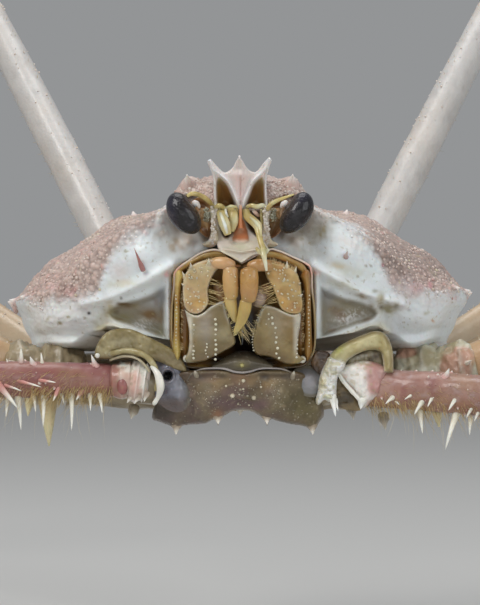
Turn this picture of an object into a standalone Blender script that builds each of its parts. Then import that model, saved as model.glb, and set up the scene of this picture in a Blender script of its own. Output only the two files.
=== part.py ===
"""A deep-sea spider crab, life size, standing on the tips of its eight walking legs.

Lengths in the design are millimetres in the body's own frame: X across (the animal's left is +X),
Y from the face towards the tail, Z up. Every mesh is scaled to metres, and moved so that the
middle of the bounding box's floor is the origin, as it is made.
"""

import math
import bmesh
import bpy
from mathutils import Matrix, Vector

# ---------------------------------------------------------------- driving dimensions (mm, degrees)
MM = 0.001
FLOOR = -45.0               # level of the floor under the body's frame
SHELL_CENTRE = (0.0, 26.0)  # middle of the round carapace, seen from above
DOME_TOP = 15.0
SHELL_SEGMENTS, SHELL_RINGS = 32, 16
GAP = 0.35

# Stations round the carapace: degrees from the front, and the size there.
MARGIN_RADIUS = ((0, 23.0), (14, 23.3), (25, 26.2), (45, 26.2), (90, 26.7), (125, 25.6), (155, 23.2), (180, 21.4))
MARGIN_HEIGHT = ((0, 11.3), (14, 11.1), (24, 8.6), (38, 5.2), (52, 1.0), (90, -0.3), (180, -0.8))
SKIRT_RADIUS = ((0, 20.3), (15, 20.5), (30, 23.0), (60, 23.6), (90, 24.3), (125, 22.6), (155, 20.4), (180, 18.8))
SKIRT_HEIGHT = ((0, -4.4), (16, -4.4), (32, -3.2), (44, -2.9), (58, -5.4), (90, -5.9), (130, -5.0), (180, -4.0))
DOME_POWER = ((0, 3.0), (30, 2.3), (90, 1.6), (180, 2.0))

LEFT, RIGHT = 1, -1

# Walking legs 1 to 4 (the second to fifth pairs of limbs): hip, azimuth forward of straight
# sideways, elevation of the merus, and the lengths of merus, carpus, propodus and dactylus.
WALKING = (
    dict(hip=(21.0, 15.0, -8.7), azimuth=20.0, rise=16.0, lengths=(68, 26, 66, 42), depth=2.45, dactyl=-62.0, coxa=(8.0, 14.5, -9.6)),
    dict(hip=(21.2, 23.0, -9.3), azimuth=-8.0, rise=20.0, lengths=(68, 26, 66, 42), depth=2.4, dactyl=-62.0, coxa=(9.0, 21.0, -9.6)),
    dict(hip=(20.6, 36.6, -8.6), azimuth=-28.0, rise=24.0, lengths=(66, 25, 62, 40), depth=2.4, dactyl=-66.0, coxa=(9.0, 29.5, -9.6)),
    dict(hip=(9.6, 46.2, -7.2), azimuth=-43.6, rise=53.4, lengths=(64, 22, 60, 36), depth=2.4, dactyl=-78.0, coxa=(6.0, 37.5, -9.4)),
)
FOOT_RADIUS = 0.75

# The pincer legs: hip, then azimuth and elevation of merus, carpus, palm and fingers.
PINCER = {
    LEFT: dict(hip=(12.6, 6.2, -8.8), merus=(16.0, -5.5, 44.0, 2.05), carpus=(48.0, -24.0, 11.0, 2.3), palm=(80.0, -24.0, 30.0, 3.9), finger=(95.0, -15.0, 21.0, 1.5)),
    RIGHT: dict(hip=(12.6, 6.2, -8.4), merus=(11.0, -1.0, 44.0, 2.05), carpus=(46.0, -26.0, 11.0, 2.3), palm=(80.0, -26.0, 30.0, 3.9), finger=(95.0, -15.0, 21.0, 1.5)),
}
PINCER_COXA = (5.0, 11.2, -9.3)


# ---------------------------------------------------------------- small mathematics
def station(angle, table):
    """The size at an angle, eased between the stations of a table."""
    if angle <= table[0][0]:
        return table[0][1]
    for (a0, v0), (a1, v1) in zip(table, table[1:]):
        if angle <= a1:
            t = (angle - a0) / (a1 - a0)
            t = t * t * (3 - 2 * t) * 0.5 + t * 0.5
            return v0 + (v1 - v0) * t
    return table[-1][1]


def wobble(k, seed=0.0):
    """A fixed irregular number between -1 and 1 for the k-th of a set of like pieces."""
    s = math.sin(k * 12.9898 + seed * 78.233) * 43758.5453
    return 2.0 * (s - math.floor(s)) - 1.0


def bump(x, y, cx, cy, rx, ry):
    return math.exp(-(((x - cx) / rx) ** 2 + ((y - cy) / ry) ** 2))


def shell_relief(x, y):
    """Swellings and grooves of the carapace regions, as a change of height."""
    ax = abs(x)
    z = 1.0 * bump(ax, y, 3.4, 10.0, 3.4, 6.0)        # gastric lobes
    z += 0.7 * bump(ax, y, 0.0, 19.0, 3.5, 4.5)
    z += 0.9 * bump(ax, y, 0.0, 33.0, 4.5, 4.5)       # cardiac lobe
    z += 1.3 * bump(ax, y, 14.5, 20.0, 6.5, 7.0)      # branchial lobes
    z += 1.0 * bump(ax, y, 12.5, 34.0, 6.0, 7.0)
    z -= 1.5 * bump(ax, y, 8.6, 14.0, 2.0, 6.5)       # groove beside the stomach
    z -= 1.2 * bump(ax, y, 6.3, 26.0, 2.2, 5.0)
    z -= 0.9 * bump(ax, y, 0.0, 26.5, 3.5, 1.6)
    z -= 0.8 * bump(ax, y, 6.0, 38.0, 2.2, 5.0)
    z -= 0.7 * bump(ax, y, 0.0, 4.5, 1.2, 4.0)        # furrow down the forehead
    return z


def shell_point(azimuth, level):
    """Surface of the carapace: azimuth in degrees from the front, level 0 at the crown, 1 at the
    margin, 2 at the lower edge of the flank, 3 at the middle of the underside."""
    a = abs((azimuth + 180.0) % 360.0 - 180.0)
    turn = math.radians(azimuth)
    dx, dy = math.sin(turn), -math.cos(turn)
    rim, rim_z = station(a, MARGIN_RADIUS), station(a, MARGIN_HEIGHT)
    low, low_z = station(a, SKIRT_RADIUS), station(a, SKIRT_HEIGHT)
    if level <= 1.0:
        s = math.sin(level * math.pi / 2) ** 0.9
        r = rim * s
        z = rim_z + (DOME_TOP - rim_z) * (1.0 - s ** station(a, DOME_POWER))
        fade = max(0.0, 1.0 - s ** 8)
        z += shell_relief(SHELL_CENTRE[0] + dx * r, SHELL_CENTRE[1] + dy * r) * fade
    elif level <= 2.0:
        t = level - 1.0
        r = rim + (low - rim) * (t ** 1.6) + 0.5 * math.sin(math.pi * t)
        z = rim_z + (low_z - rim_z) * t
    else:
        t = level - 2.0
        r = low * (1.0 - t)
        z = low_z + (-5.6 - low_z) * (1.0 - (1.0 - t) ** 2)
    return Vector((SHELL_CENTRE[0] + dx * r, SHELL_CENTRE[1] + dy * r, z))


def shell_top(x, y):
    """Height of the carapace's upper side over a point of its plan."""
    dx, dy = x - SHELL_CENTRE[0], y - SHELL_CENTRE[1]
    azimuth = math.degrees(math.atan2(dx, -dy))
    s = min(1.0, math.hypot(dx, dy) / station(abs(azimuth), MARGIN_RADIUS))
    return shell_point(azimuth, math.asin(s ** (1 / 0.9)) * 2 / math.pi).z


# ---------------------------------------------------------------- limb joints
def heading(side, azimuth, elevation):
    a, e = math.radians(azimuth), math.radians(elevation)
    return Vector((side * math.cos(a) * math.cos(e), -math.sin(a) * math.cos(e), math.sin(e)))


def walking_joints(leg, side):
    """Hip, knee, wrist, ankle and foot of a walking leg whose foot is on the floor."""
    x, y, z = leg["hip"]
    hip = Vector((side * x, y, z))
    merus, carpus, propodus, dactylus = leg["lengths"]
    knee = hip + heading(side, leg["azimuth"], leg["rise"]) * merus
    wrist = knee + heading(side, leg["azimuth"], -5.0) * carpus
    ankle_height = FLOOR + dactylus * math.sin(math.radians(-leg["dactyl"]))
    fall = math.degrees(math.asin((wrist.z - ankle_height) / propodus))
    ankle = wrist + heading(side, leg["azimuth"], -fall) * propodus
    foot = ankle + heading(side, leg["azimuth"], leg["dactyl"]) * dactylus
    foot.z = FLOOR
    return hip, knee, wrist, ankle, foot


def pincer_joints(side):
    arm = PINCER[side]
    x, y, z = arm["hip"]
    points = [Vector((side * x, y, z))]
    for name in ("merus", "carpus", "palm", "finger"):
        azimuth, elevation, length, _ = arm[name]
        points.append(points[-1] + heading(side, azimuth, elevation) * length)
    return points


# ---------------------------------------------------------------- mesh building
def clear_scene():
    for item in list(bpy.data.objects):
        bpy.data.objects.remove(item, do_unlink=True)
    for block in (bpy.data.meshes, bpy.data.curves, bpy.data.materials):
        for item in list(block):
            block.remove(item)


def collection(name, shown=True):
    made = bpy.data.collections.new(name)
    bpy.context.scene.collection.children.link(made)
    made.hide_render = not shown
    return made


def material(name, colour, roughness, metallic=0.0):
    made = bpy.data.materials.new(name)
    made.use_nodes = True
    shader = made.node_tree.nodes["Principled BSDF"]
    shader.inputs["Base Color"].default_value = (*colour, 1.0)
    shader.inputs["Roughness"].default_value = roughness
    shader.inputs["Metallic"].default_value = metallic
    made.diffuse_color = (*colour, 1.0)
    return made


def section(centre, up, across, half_up, half_across, sides, power=2.0):
    """A ring of points: a superellipse about centre in the plane of up and across."""
    ring = []
    for k in range(sides):
        a = 2 * math.pi * (k + 0.5) / sides
        c, s = math.cos(a), math.sin(a)
        e = 2.0 / power
        u = math.copysign(abs(c) ** e, c) * half_up
        v = math.copysign(abs(s) ** e, s) * half_across
        ring.append(centre + up * u + across * v)
    return ring


def loft(bm, rings):
    """A closed skin through rings of equal count, with flat ends."""
    made = [[bm.verts.new(p) for p in ring] for ring in rings]
    n = len(made[0])
    for a, b in zip(made, made[1:]):
        for k in range(n):
            bm.faces.new((a[k], a[(k + 1) % n], b[(k + 1) % n], b[k]))
    bm.faces.new(list(reversed(made[0])))
    bm.faces.new(made[-1])


def limb_rings(start, end, across, bow, heights, widths, stations, sides, trim=(GAP, GAP), power=2.2):
    """Rings of a limb segment from joint to joint, bowed in its own plane."""
    axis = (end - start).normalized()
    up = across.cross(axis).normalized()
    if up.z < 0:
        up = -up
    a, b = start + axis * trim[0], end - axis * trim[1]
    rings = []
    for t in stations:
        centre = a.lerp(b, t) + up * (bow * math.sin(math.pi * t))
        rings.append(section(centre, up, across, heights(t), widths(t), sides, power))
    return rings


def rounded(t, root=0.62, tip=0.62, reach=0.05):
    """Narrowing of a segment where it meets its joints."""
    k = 1.0
    if t < reach:
        k = root + (1 - root) * math.sin(math.pi / 2 * t / reach)
    if t > 1 - reach:
        k = min(k, tip + (1 - tip) * math.sin(math.pi / 2 * (1 - t) / reach))
    return k


def cone(bm, base, tip, radius, sides=4, sink=0.35):
    """A spine: a sharp cone whose root is sunk under the surface that it grows from."""
    way = tip - base
    length = way.length + sink
    turn = way.to_track_quat("Z", "Y").to_matrix().to_4x4()
    middle = base - way.normalized() * sink + way.normalized() * (length / 2)
    bmesh.ops.create_cone(bm, cap_ends=True, segments=sides, radius1=radius, radius2=radius * 0.06,
                          depth=length, matrix=Matrix.Translation(middle) @ turn)


class Crab:
    """Collects the pieces, so that one shift can centre them on the floor."""

    def __init__(self):
        self.parts = collection("spider_crab")
        self.tools = collection("spine_tools", shown=False)
        self.pieces = []

    def add(self, name, bm, colour, spines=None, smooth=50.0):
        bmesh.ops.recalc_face_normals(bm, faces=bm.faces[:])
        mesh = bpy.data.meshes.new(name)
        bm.to_mesh(mesh)
        bm.free()
        item = bpy.data.objects.new(name, mesh)
        mesh.materials.append(colour)
        mesh.shade_smooth()
        mesh.set_sharp_from_angle(angle=math.radians(smooth))
        self.parts.objects.link(item)
        self.pieces.append(item)
        if spines is not None:
            bmesh.ops.recalc_face_normals(spines, faces=spines.faces[:])
            thorns = bpy.data.meshes.new(name + "_spines")
            spines.to_mesh(thorns)
            spines.free()
            thorns.materials.append(colour)
            helper = bpy.data.objects.new(name + "_spines", thorns)
            helper.display_type = "WIRE"
            helper.hide_render = True
            self.tools.objects.link(helper)
            self.pieces.append(helper)
            join = item.modifiers.new("spines", "BOOLEAN")
            join.operation = "UNION"
            join.solver = "EXACT"
            join.use_self = True
            join.object = helper
        return item

    def settle(self):
        """Scales to metres and puts the middle of the box's floor at the origin."""
        low, high = Vector((1e9,) * 3), Vector((-1e9,) * 3)
        for item in self.pieces:
            for vertex in item.data.vertices:
                for k in range(3):
                    low[k] = min(low[k], vertex.co[k])
                    high[k] = max(high[k], vertex.co[k])
        shift = Matrix.Translation(-Vector(((low.x + high.x) / 2, (low.y + high.y) / 2, FLOOR)))
        for item in self.pieces:
            item.data.transform(Matrix.Scale(MM, 4) @ shift)
            item.data.update()
            item.update_tag()


# ---------------------------------------------------------------- spines in rows
def limb_spines(start, end, across, bow, heights, widths, rows, trim=GAP):
    """Rows of spines on a segment: each row is (first, last, count, turn, length, lean, radius),
    where turn is degrees from the upper edge towards the front, and lean is towards the tip."""
    axis = (end - start).normalized()
    up = across.cross(axis).normalized()
    if up.z < 0:
        up = -up
    front = across if across.y < 0 else -across
    a, b = start + axis * trim, end - axis * trim
    found = []
    for number, (first, last, count, turn, length, lean, radius) in enumerate(rows):
        for k in range(count):
            t = first + (last - first) * (k + 0.25 * wobble(k, number + 1.0)) / max(1, count - 1)
            t = min(max(t, 0.03), 0.97)
            w = math.radians(turn + 9.0 * wobble(k, number + 3.0))
            out = up * math.cos(w) + front * math.sin(w)
            centre = a.lerp(b, t) + up * (bow * math.sin(math.pi * t))
            h, v = heights(t), widths(t)
            reach = 1.0 / math.sqrt((math.cos(w) / h) ** 2 + (math.sin(w) / v) ** 2)
            base = centre + out * (reach * 0.93)
            size = length * (1.0 + 0.22 * wobble(k, number + 7.0))
            tip = base + (out + axis * lean).normalized() * size
            found.append((base, tip, radius * (1.0 + 0.12 * wobble(k, number + 11.0))))
    return found


PINCER_ROWS = {
    "merus": ((0.10, 0.93, 9, 182, 3.7, 0.10, 0.62), (0.06, 0.95, 8, 128, 2.0, 0.10, 0.5), (0.08, 0.94, 7, 35, 1.3, 0.35, 0.42)),
    "carpus": ((0.2, 0.85, 3, 100, 2.0, 0.15, 0.5), (0.2, 0.85, 3, 10, 2.0, 0.2, 0.5), (0.3, 0.8, 2, 175, 2.2, 0.1, 0.5)),
    "palm": ((0.08, 0.85, 7, 0, 2.2, 0.2, 0.5), (0.08, 0.9, 6, 178, 1.8, 0.15, 0.5), (0.1, 0.8, 4, 75, 1.4, 0.15, 0.42)),
}
LONG_LEG_ROWS = {
    "merus": ((0.08, 0.96, 9, 178, 4.6, 0.45, 0.5), (0.10, 0.97, 8, 92, 3.4, 0.45, 0.45), (0.3, 0.97, 5, 5, 2.0, 0.5, 0.42)),
    "carpus": ((0.2, 0.9, 4, 165, 3.4, 0.4, 0.45), (0.3, 0.9, 2, 60, 2.6, 0.4, 0.42)),
    "propodus": ((0.05, 0.95, 10, 172, 5.2, 0.5, 0.48), (0.1, 0.93, 7, 120, 3.6, 0.5, 0.45)),
    "dactylus": ((0.08, 0.62, 5, 172, 2.6, 0.5, 0.42),),
}


# ---------------------------------------------------------------- the pieces
def build_carapace(crab, colour):
    bm = bmesh.new()
    bmesh.ops.create_uvsphere(bm, u_segments=SHELL_SEGMENTS, v_segments=SHELL_RINGS, radius=1.0)
    crown, wall = 9, 4  # rings on the dome and on the flank; the rest close the underside
    for vertex in bm.verts:
        x, y, z = vertex.co
        ring = round(math.acos(max(-1.0, min(1.0, z))) * SHELL_RINGS / math.pi)
        azimuth = math.degrees(math.atan2(x, -y))
        if ring <= crown:
            level = ring / crown
        elif ring <= crown + wall:
            level = 1.0 + (ring - crown) / wall
        else:
            level = 2.0 + (ring - crown - wall) / (SHELL_RINGS - crown - wall)
        vertex.co = shell_point(azimuth, level)
    thorns = bmesh.new()
    # Spines of the front: the middle one, the two horns and one over each eye.
    for base, tip, radius in front_spines():
        cone(thorns, base, tip, radius, sides=6, sink=1.5)
    for base, tip, radius in shell_spines():
        cone(thorns, base, tip, radius, sides=3, sink=0.4)
    crab.add("carapace", bm, colour, thorns, smooth=70)


def front_spines():
    found = [(Vector((0.0, 1.4, 11.2)), Vector((0.0, -3.6, 15.0)), 1.25)]
    for s in (LEFT, RIGHT):
        found.append((Vector((s * 1.9, 1.6, 11.0)), Vector((s * 3.15, -4.2, 14.9)), 1.35))
        found.append((Vector((s * 5.3, 3.4, 11.6)), Vector((s * 5.7, 1.0, 13.7)), 0.8))
    return found


def shell_spines():
    """Larger spines of the carapace, in pairs: on the margin, the cheeks and the back."""
    found = []
    for s in (LEFT, RIGHT):
        for azimuth, length in ((48, 0.9), (58, 1.0), (68, 1.1), (79, 1.2), (90, 1.5), (103, 1.1), (117, 1.0), (132, 1.0), (148, 0.9)):
            base = shell_point(s * azimuth, 1.0)
            out = Vector((base.x, base.y - SHELL_CENTRE[1], 0)).normalized()
            found.append((base - out * 0.25, base + (out + Vector((0, 0, 0.35))).normalized() * length, 0.55))
        found.append((Vector((s * 10.2, 3.2, 3.6)), Vector((s * 11.4, -0.6, 5.5)), 0.9))   # cheek spine
        for x, y, length in ((4.2, 9.5, 1.0), (6.6, 18.5, 1.0), (12.2, 16.5, 1.1), (17.5, 19.5, 1.0), (15.2, 26.5, 1.2),
                             (20.4, 26.0, 0.9), (11.8, 33.5, 1.2), (17.2, 34.5, 1.0), (6.4, 41.5, 0.9)):
            foot = Vector((s * x, y, shell_top(s * x, y) - 0.2))
            found.append((foot, foot + Vector((s * 0.25, -0.15, 1.0)).normalized() * (length + 0.3), 0.6))
    for y, length in ((13.0, 1.3), (22.0, 1.2), (33.5, 1.5), (43.0, 1.0)):
        foot = Vector((0.0, y, shell_top(0.0, y) - 0.2))
        found.append((foot, foot + Vector((0, -0.12, 1.0)).normalized() * (length + 0.3), 0.65))
    return found


def build_thorax(crab, colour):
    """The breastplate with the ten hip pieces that the limbs turn on."""
    bm = bmesh.new()
    bmesh.ops.create_uvsphere(bm, u_segments=18, v_segments=8, radius=1.0)
    for vertex in bm.verts:
        x, y, z = vertex.co
        flat = math.copysign(abs(z) ** 0.6, z)
        width = 9.3 + 1.9 * y
        vertex.co = Vector((x * width, 23.6 + y * 18.4, -10.05 + flat * 3.55))
    hips = bmesh.new()
    for s in (LEFT, RIGHT):
        rows = [(PINCER_COXA, PINCER[s]["hip"], 3.2, 2.5)]
        rows += [(leg["coxa"], leg["hip"], 3.0, 2.15) for leg in WALKING]
        for root, end, r0, r1 in rows:
            a, b = Vector((s * root[0], root[1], root[2])), Vector((s * end[0], end[1], end[2]))
            way = (b - a).normalized()
            b = b - way * 0.4
            turn = way.to_track_quat("Z", "Y").to_matrix().to_4x4()
            bmesh.ops.create_cone(hips, cap_ends=True, segments=8, radius1=r0, radius2=r1, depth=(b - a).length,
                                  matrix=Matrix.Translation((a + b) / 2) @ turn)
        # Spines on the front of the breastplate and on the hip pieces of the pincer legs.
        for base, tip, r in breast_spines(s):
            cone(hips, base, tip, r, sides=4, sink=0.6)
    crab.add("thorax", bm, colour, hips, smooth=50)


def breast_spines(s):
    return [
        (Vector((s * 2.5, 8.4, -11.4)), Vector((s * 2.7, 5.4, -13.9)), 0.8),
        (Vector((s * 4.2, 12.0, -10.8)), Vector((s * 6.6, 6.4, -14.4)), 1.2),
        (Vector((s * 9.6, 7.6, -9.6)), Vector((s * 10.6, 4.6, -13.2)), 0.9),
    ]


def build_abdomen(crab, colour):
    """The tail plate folded under the breastplate."""
    bm = bmesh.new()
    rings = []
    for t in (0.0, 0.12, 0.35, 0.6, 0.82, 1.0):
        y = 41.0 - 27.0 * t
        half = 5.4 - 2.6 * t - 1.6 * t ** 6
        rings.append(section(Vector((0, y, -14.75 + 0.35 * math.sin(math.pi * t))), Vector((0, 0, 1)), Vector((1, 0, 0)),
                             0.75, half, 8, 3.0))
    loft(bm, rings)
    crab.add("abdomen", bm, colour)


def build_face(crab, colours):
    # Epistome: the plate between the eyes and the mouth, under the feelers.
    bm = bmesh.new()
    rings = []
    for t in (0.0, 0.25, 0.6, 1.0):
        z = 8.7 - 3.1 * t
        rings.append(section(Vector((0, 0.9 - 0.3 * t, z)), Vector((0, 1, 0)), Vector((1, 0, 0)), 0.9, 2.2 + 2.2 * t, 12, 3.0))
    loft(bm, rings)
    crab.add("epistome", bm, colours["bone"])

    # Mouth frame: a raised rim round the mouthparts, with the outer strips beside them.
    bm = bmesh.new()
    outer, inner = [], []
    for k in range(28):
        a = 2 * math.pi * k / 28
        c, s = math.cos(a), math.sin(a)
        e = 2.0 / 5.0
        px = math.copysign(abs(s) ** e, s)
        pz = math.copysign(abs(c) ** e, c)
        notch = 0.55 * math.exp(-(px * 7.2 / 1.6) ** 2) * (pz > 0)
        outer.append((px * 7.2, pz * (5.75 if pz > 0 else 5.9) - notch))
        inner.append((px * 6.25, pz * (5.0 if pz > 0 else 5.2) - notch))
    slope = 0.42   # how far the mouth leans back for each millimetre down

    def on_face(px, pz, out):
        return Vector((px, 1.9 - out - slope * (pz - 0.0), -0.4 + pz))

    loops = [[on_face(x, z, 0.0) for x, z in outer], [on_face(x, z, 1.5) for x, z in outer],
             [on_face(x, z, 1.5) for x, z in inner], [on_face(x, z, 0.0) for x, z in inner]]
    made = [[bm.verts.new(p) for p in loop] for loop in loops]
    for i in range(4):
        a, b = made[i], made[(i + 1) % 4]
        for k in range(28):
            bm.faces.new((a[k], a[(k + 1) % 28], b[(k + 1) % 28], b[k]))
    crab.add("mouth_frame", bm, colours["olive"], smooth=40)

    for side, name in ((LEFT, "left"), (RIGHT, "right")):
        # Outer jaw foot: a broad upper plate and a longer lower plate in one piece.
        bm = bmesh.new()
        rings = []
        for pz, inside, outside, out in ((4.55, 2.6, 4.9, 1.2), (3.6, 2.1, 5.9, 1.9), (0.2, 2.2, 5.9, 2.1), (-0.5, 1.6, 5.9, 2.2),
                                         (-2.4, 1.5, 5.9, 2.2), (-3.7, 1.9, 5.6, 2.0), (-4.3, 3.0, 5.1, 1.9)):
            mid, half = (inside + outside) / 2, (outside - inside) / 2
            front = on_face(side * mid, pz, out)
            up = (on_face(0, 0, 1) - on_face(0, 0, 0)).normalized()
            rings.append(section(front - up * 0.75, up, Vector((1, 0, 0)), 0.7, half, 8, 3.2))
        loft(bm, rings)
        crab.add("maxilliped_" + name, bm, colours["ochre"], smooth=45)

        # Palp: the three-jointed feeler of the jaw foot, folded down over the mouth.
        bm = bmesh.new()
        rings = []
        for px, pz, out, r in ((1.35, 3.9, 1.9, 0.45), (1.2, 3.2, 2.5, 0.72), (1.0, 1.2, 2.9, 0.75), (0.95, -0.6, 2.9, 0.6), (0.85, -2.6, 2.7, 0.3)):
            rings.append(section(on_face(side * px, pz, out), Vector((0, 1, 0)), Vector((1, 0, 0)), r, min(r, 0.62), 8))
        loft(bm, rings)
        crab.add("palp_" + name, bm, colours["orange"])

        # Eye: an egg-shaped cornea that leans outwards, on a short stalk.
        bm = bmesh.new()
        bmesh.ops.create_uvsphere(bm, u_segments=14, v_segments=8, radius=1.0)
        lean = Matrix.Rotation(math.radians(side * 28.0), 4, "Y")
        bm.transform(Matrix.Translation((side * 5.9, -1.1, 9.35)) @ lean @ Matrix.Diagonal((1.42, 1.5, 2.2, 1.0)))
        crab.add("eye_" + name, bm, colours["cornea"], smooth=180)

        bm = bmesh.new()
        rings = []
        for t, r in ((0.0, 0.75), (0.5, 0.62), (1.0, 0.85)):
            centre = Vector((side * (2.6 + 1.75 * t), 0.2 - 0.9 * t, 9.75 - 0.35 * t))
            rings.append(section(centre, Vector((0, 0, 1)), Vector((0, 1, 0)), r, r, 10))
        loft(bm, rings)
        crab.add("eyestalk_" + name, bm, colours["yellow"])

    # Feelers are thin tubes along short curves.
    antenna = ((3.3, -1.2, 10.6), (3.7, -2.2, 11.1), (4.7, -2.7, 11.4), (6.0, -3.1, 11.4))
    small = {LEFT: ((0.9, -0.75, 8.9), (1.5, -1.9, 7.9), (2.2, -2.6, 5.9), (2.9, -2.9, 3.4)),
             RIGHT: ((2.2, -0.7, 8.9), (1.9, -1.7, 8.7), (1.6, -2.2, 7.8), (1.35, -1.9, 6.9))}
    for side, name in ((LEFT, "left"), (RIGHT, "right")):
        feeler(crab, "antenna_" + name, [Vector((side * x, y, z)) for x, y, z in antenna], 0.3, colours["yellow"])
        feeler(crab, "antennule_" + name, [Vector((side * x, y, z)) for x, y, z in small[side]], 0.33, colours["yellow"])


def smooth_path(points, count):
    """Points along a smooth curve through the given ones."""
    found = []
    last = len(points) - 1
    for k in range(count):
        u = k / (count - 1) * last
        i = min(int(u), last - 1)
        t = u - i
        p0, p1, p2, p3 = (points[max(0, min(last, j))] for j in (i - 1, i, i + 1, i + 2))
        found.append(0.5 * ((2 * p1) + (p2 - p0) * t + (2 * p0 - 5 * p1 + 4 * p2 - p3) * t * t + (3 * p1 - p0 - 3 * p2 + p3) * t ** 3))
    return found


def feeler(crab, name, points, radius, colour):
    """A thin tube: a bevelled curve turned into a mesh with welded caps."""
    curve = bpy.data.curves.new(name + "_path", "CURVE")
    curve.dimensions = "3D"
    spline = curve.splines.new("POLY")
    path = smooth_path(points, 7)
    spline.points.add(len(path) - 1)
    for k, p in enumerate(path):
        spline.points[k].co = (*p, 1.0)
        spline.points[k].radius = 1.0 - 0.15 * k / (len(path) - 1)
    curve.bevel_depth = radius
    curve.bevel_resolution = 1
    curve.use_fill_caps = True
    guide = bpy.data.objects.new(name + "_path", curve)
    bpy.context.scene.collection.objects.link(guide)
    graph = bpy.context.evaluated_depsgraph_get()
    mesh = bpy.data.meshes.new_from_object(guide.evaluated_get(graph))
    bm = bmesh.new()
    bm.from_mesh(mesh)
    bmesh.ops.remove_doubles(bm, verts=bm.verts[:], dist=0.001)
    bpy.data.objects.remove(guide, do_unlink=True)
    crab.add(name, bm, colour)


SEGMENT_STATIONS = (0.0, 0.03, 0.25, 0.55, 0.8, 0.97, 1.0)


def build_walking_leg(crab, number, leg, side, side_name, colours):
    hip, knee, wrist, ankle, foot = walking_joints(leg, side)
    away = heading(side, leg["azimuth"], 0.0)
    across = Vector((0, 0, 1)).cross(away).normalized()
    d = leg["depth"]
    spiny = number == 1
    shapes = {
        "merus": (hip, knee, 1.4, lambda t: d * (0.86 + 0.16 * math.sin(math.pi * t)) * rounded(t, 0.66, 0.6), 0.62, (0.6 if number < 4 else 1.3, 0.9)),
        "carpus": (knee, wrist, 0.5, lambda t: d * (0.74 + 0.22 * t) * rounded(t, 0.6, 0.6, 0.1), 0.66, (0.9, 0.8)),
        "propodus": (wrist, ankle, 0.8, lambda t: d * (0.82 - 0.2 * t) * rounded(t, 0.6, 0.6), 0.58, (0.8, 0.7)),
    }
    for part, (a, b, bow, height, flat, trim) in shapes.items():
        bm = bmesh.new()
        if part == "merus":
            bow = 1.4 if number < 4 else 0.0
        stations = SEGMENT_STATIONS if part != "carpus" else (0.0, 0.06, 0.5, 0.94, 1.0)
        width = lambda t: height(t) * flat
        loft(bm, limb_rings(a, b, across, bow, height, width, stations, 8, trim))
        thorns = None
        if spiny:
            thorns = bmesh.new()
            for base, tip, r in limb_spines(a, b, across, bow, height, width, LONG_LEG_ROWS[part], trim[0]):
                cone(thorns, base, tip, r, sides=3, sink=0.4)
        crab.add("leg%d_%s_%s" % (number, side_name, part), bm, colours["leg"], thorns)

    # Dactylus: a curved claw that stands on a small flat.
    bm = bmesh.new()
    way = (foot - ankle).normalized()
    up = across.cross(way).normalized()
    if up.dot(away) < 0:
        up = -up
    rings = []
    start = ankle + way * 0.7
    for t in (0.0, 0.05, 0.3, 0.6, 0.85):
        centre = start.lerp(foot, t) + up * (2.2 * math.sin(math.pi * t))
        r = 1.35 * (1.0 - 0.42 * t) * rounded(t, 0.6, 1.0, 0.08)
        rings.append(section(centre, up, across, r, r * 0.72, 8))
    flat = Vector((away.x, away.y, 0)).normalized()
    rings.append(section(foot, flat, across, FOOT_RADIUS, FOOT_RADIUS * 0.8, 8))
    loft(bm, rings)
    crab.add("leg%d_%s_dactylus" % (number, side_name), bm, colours["leg"])


def arm_shapes(side):
    """The pincer leg's segments: joints, half height along the segment, flatness, bow and trims."""
    hip, elbow, wrist, knuckle, tip = pincer_joints(side)
    arm = PINCER[side]
    m, c, p, f = (arm[k][3] for k in ("merus", "carpus", "palm", "finger"))
    return {
        "merus": (hip, elbow, lambda t: m * (0.86 + 0.22 * t) * rounded(t, 0.8, 0.6), 0.95, 0.5, (0.4, 0.9)),
        "carpus": (elbow, wrist, lambda t: c * (0.8 + 0.3 * math.sin(math.pi * t)) * rounded(t, 0.6, 0.6, 0.15), 0.95, 0.4, (0.9, 0.8)),
        "palm": (wrist, knuckle, lambda t: (1.9 + (p - 1.9) * math.sin(math.pi * min(1.0, 0.12 + 0.62 * t)) ** 1.5) * rounded(t, 0.7, 0.9), 0.74, 0.3, (0.8, 0.0)),
    }


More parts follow.
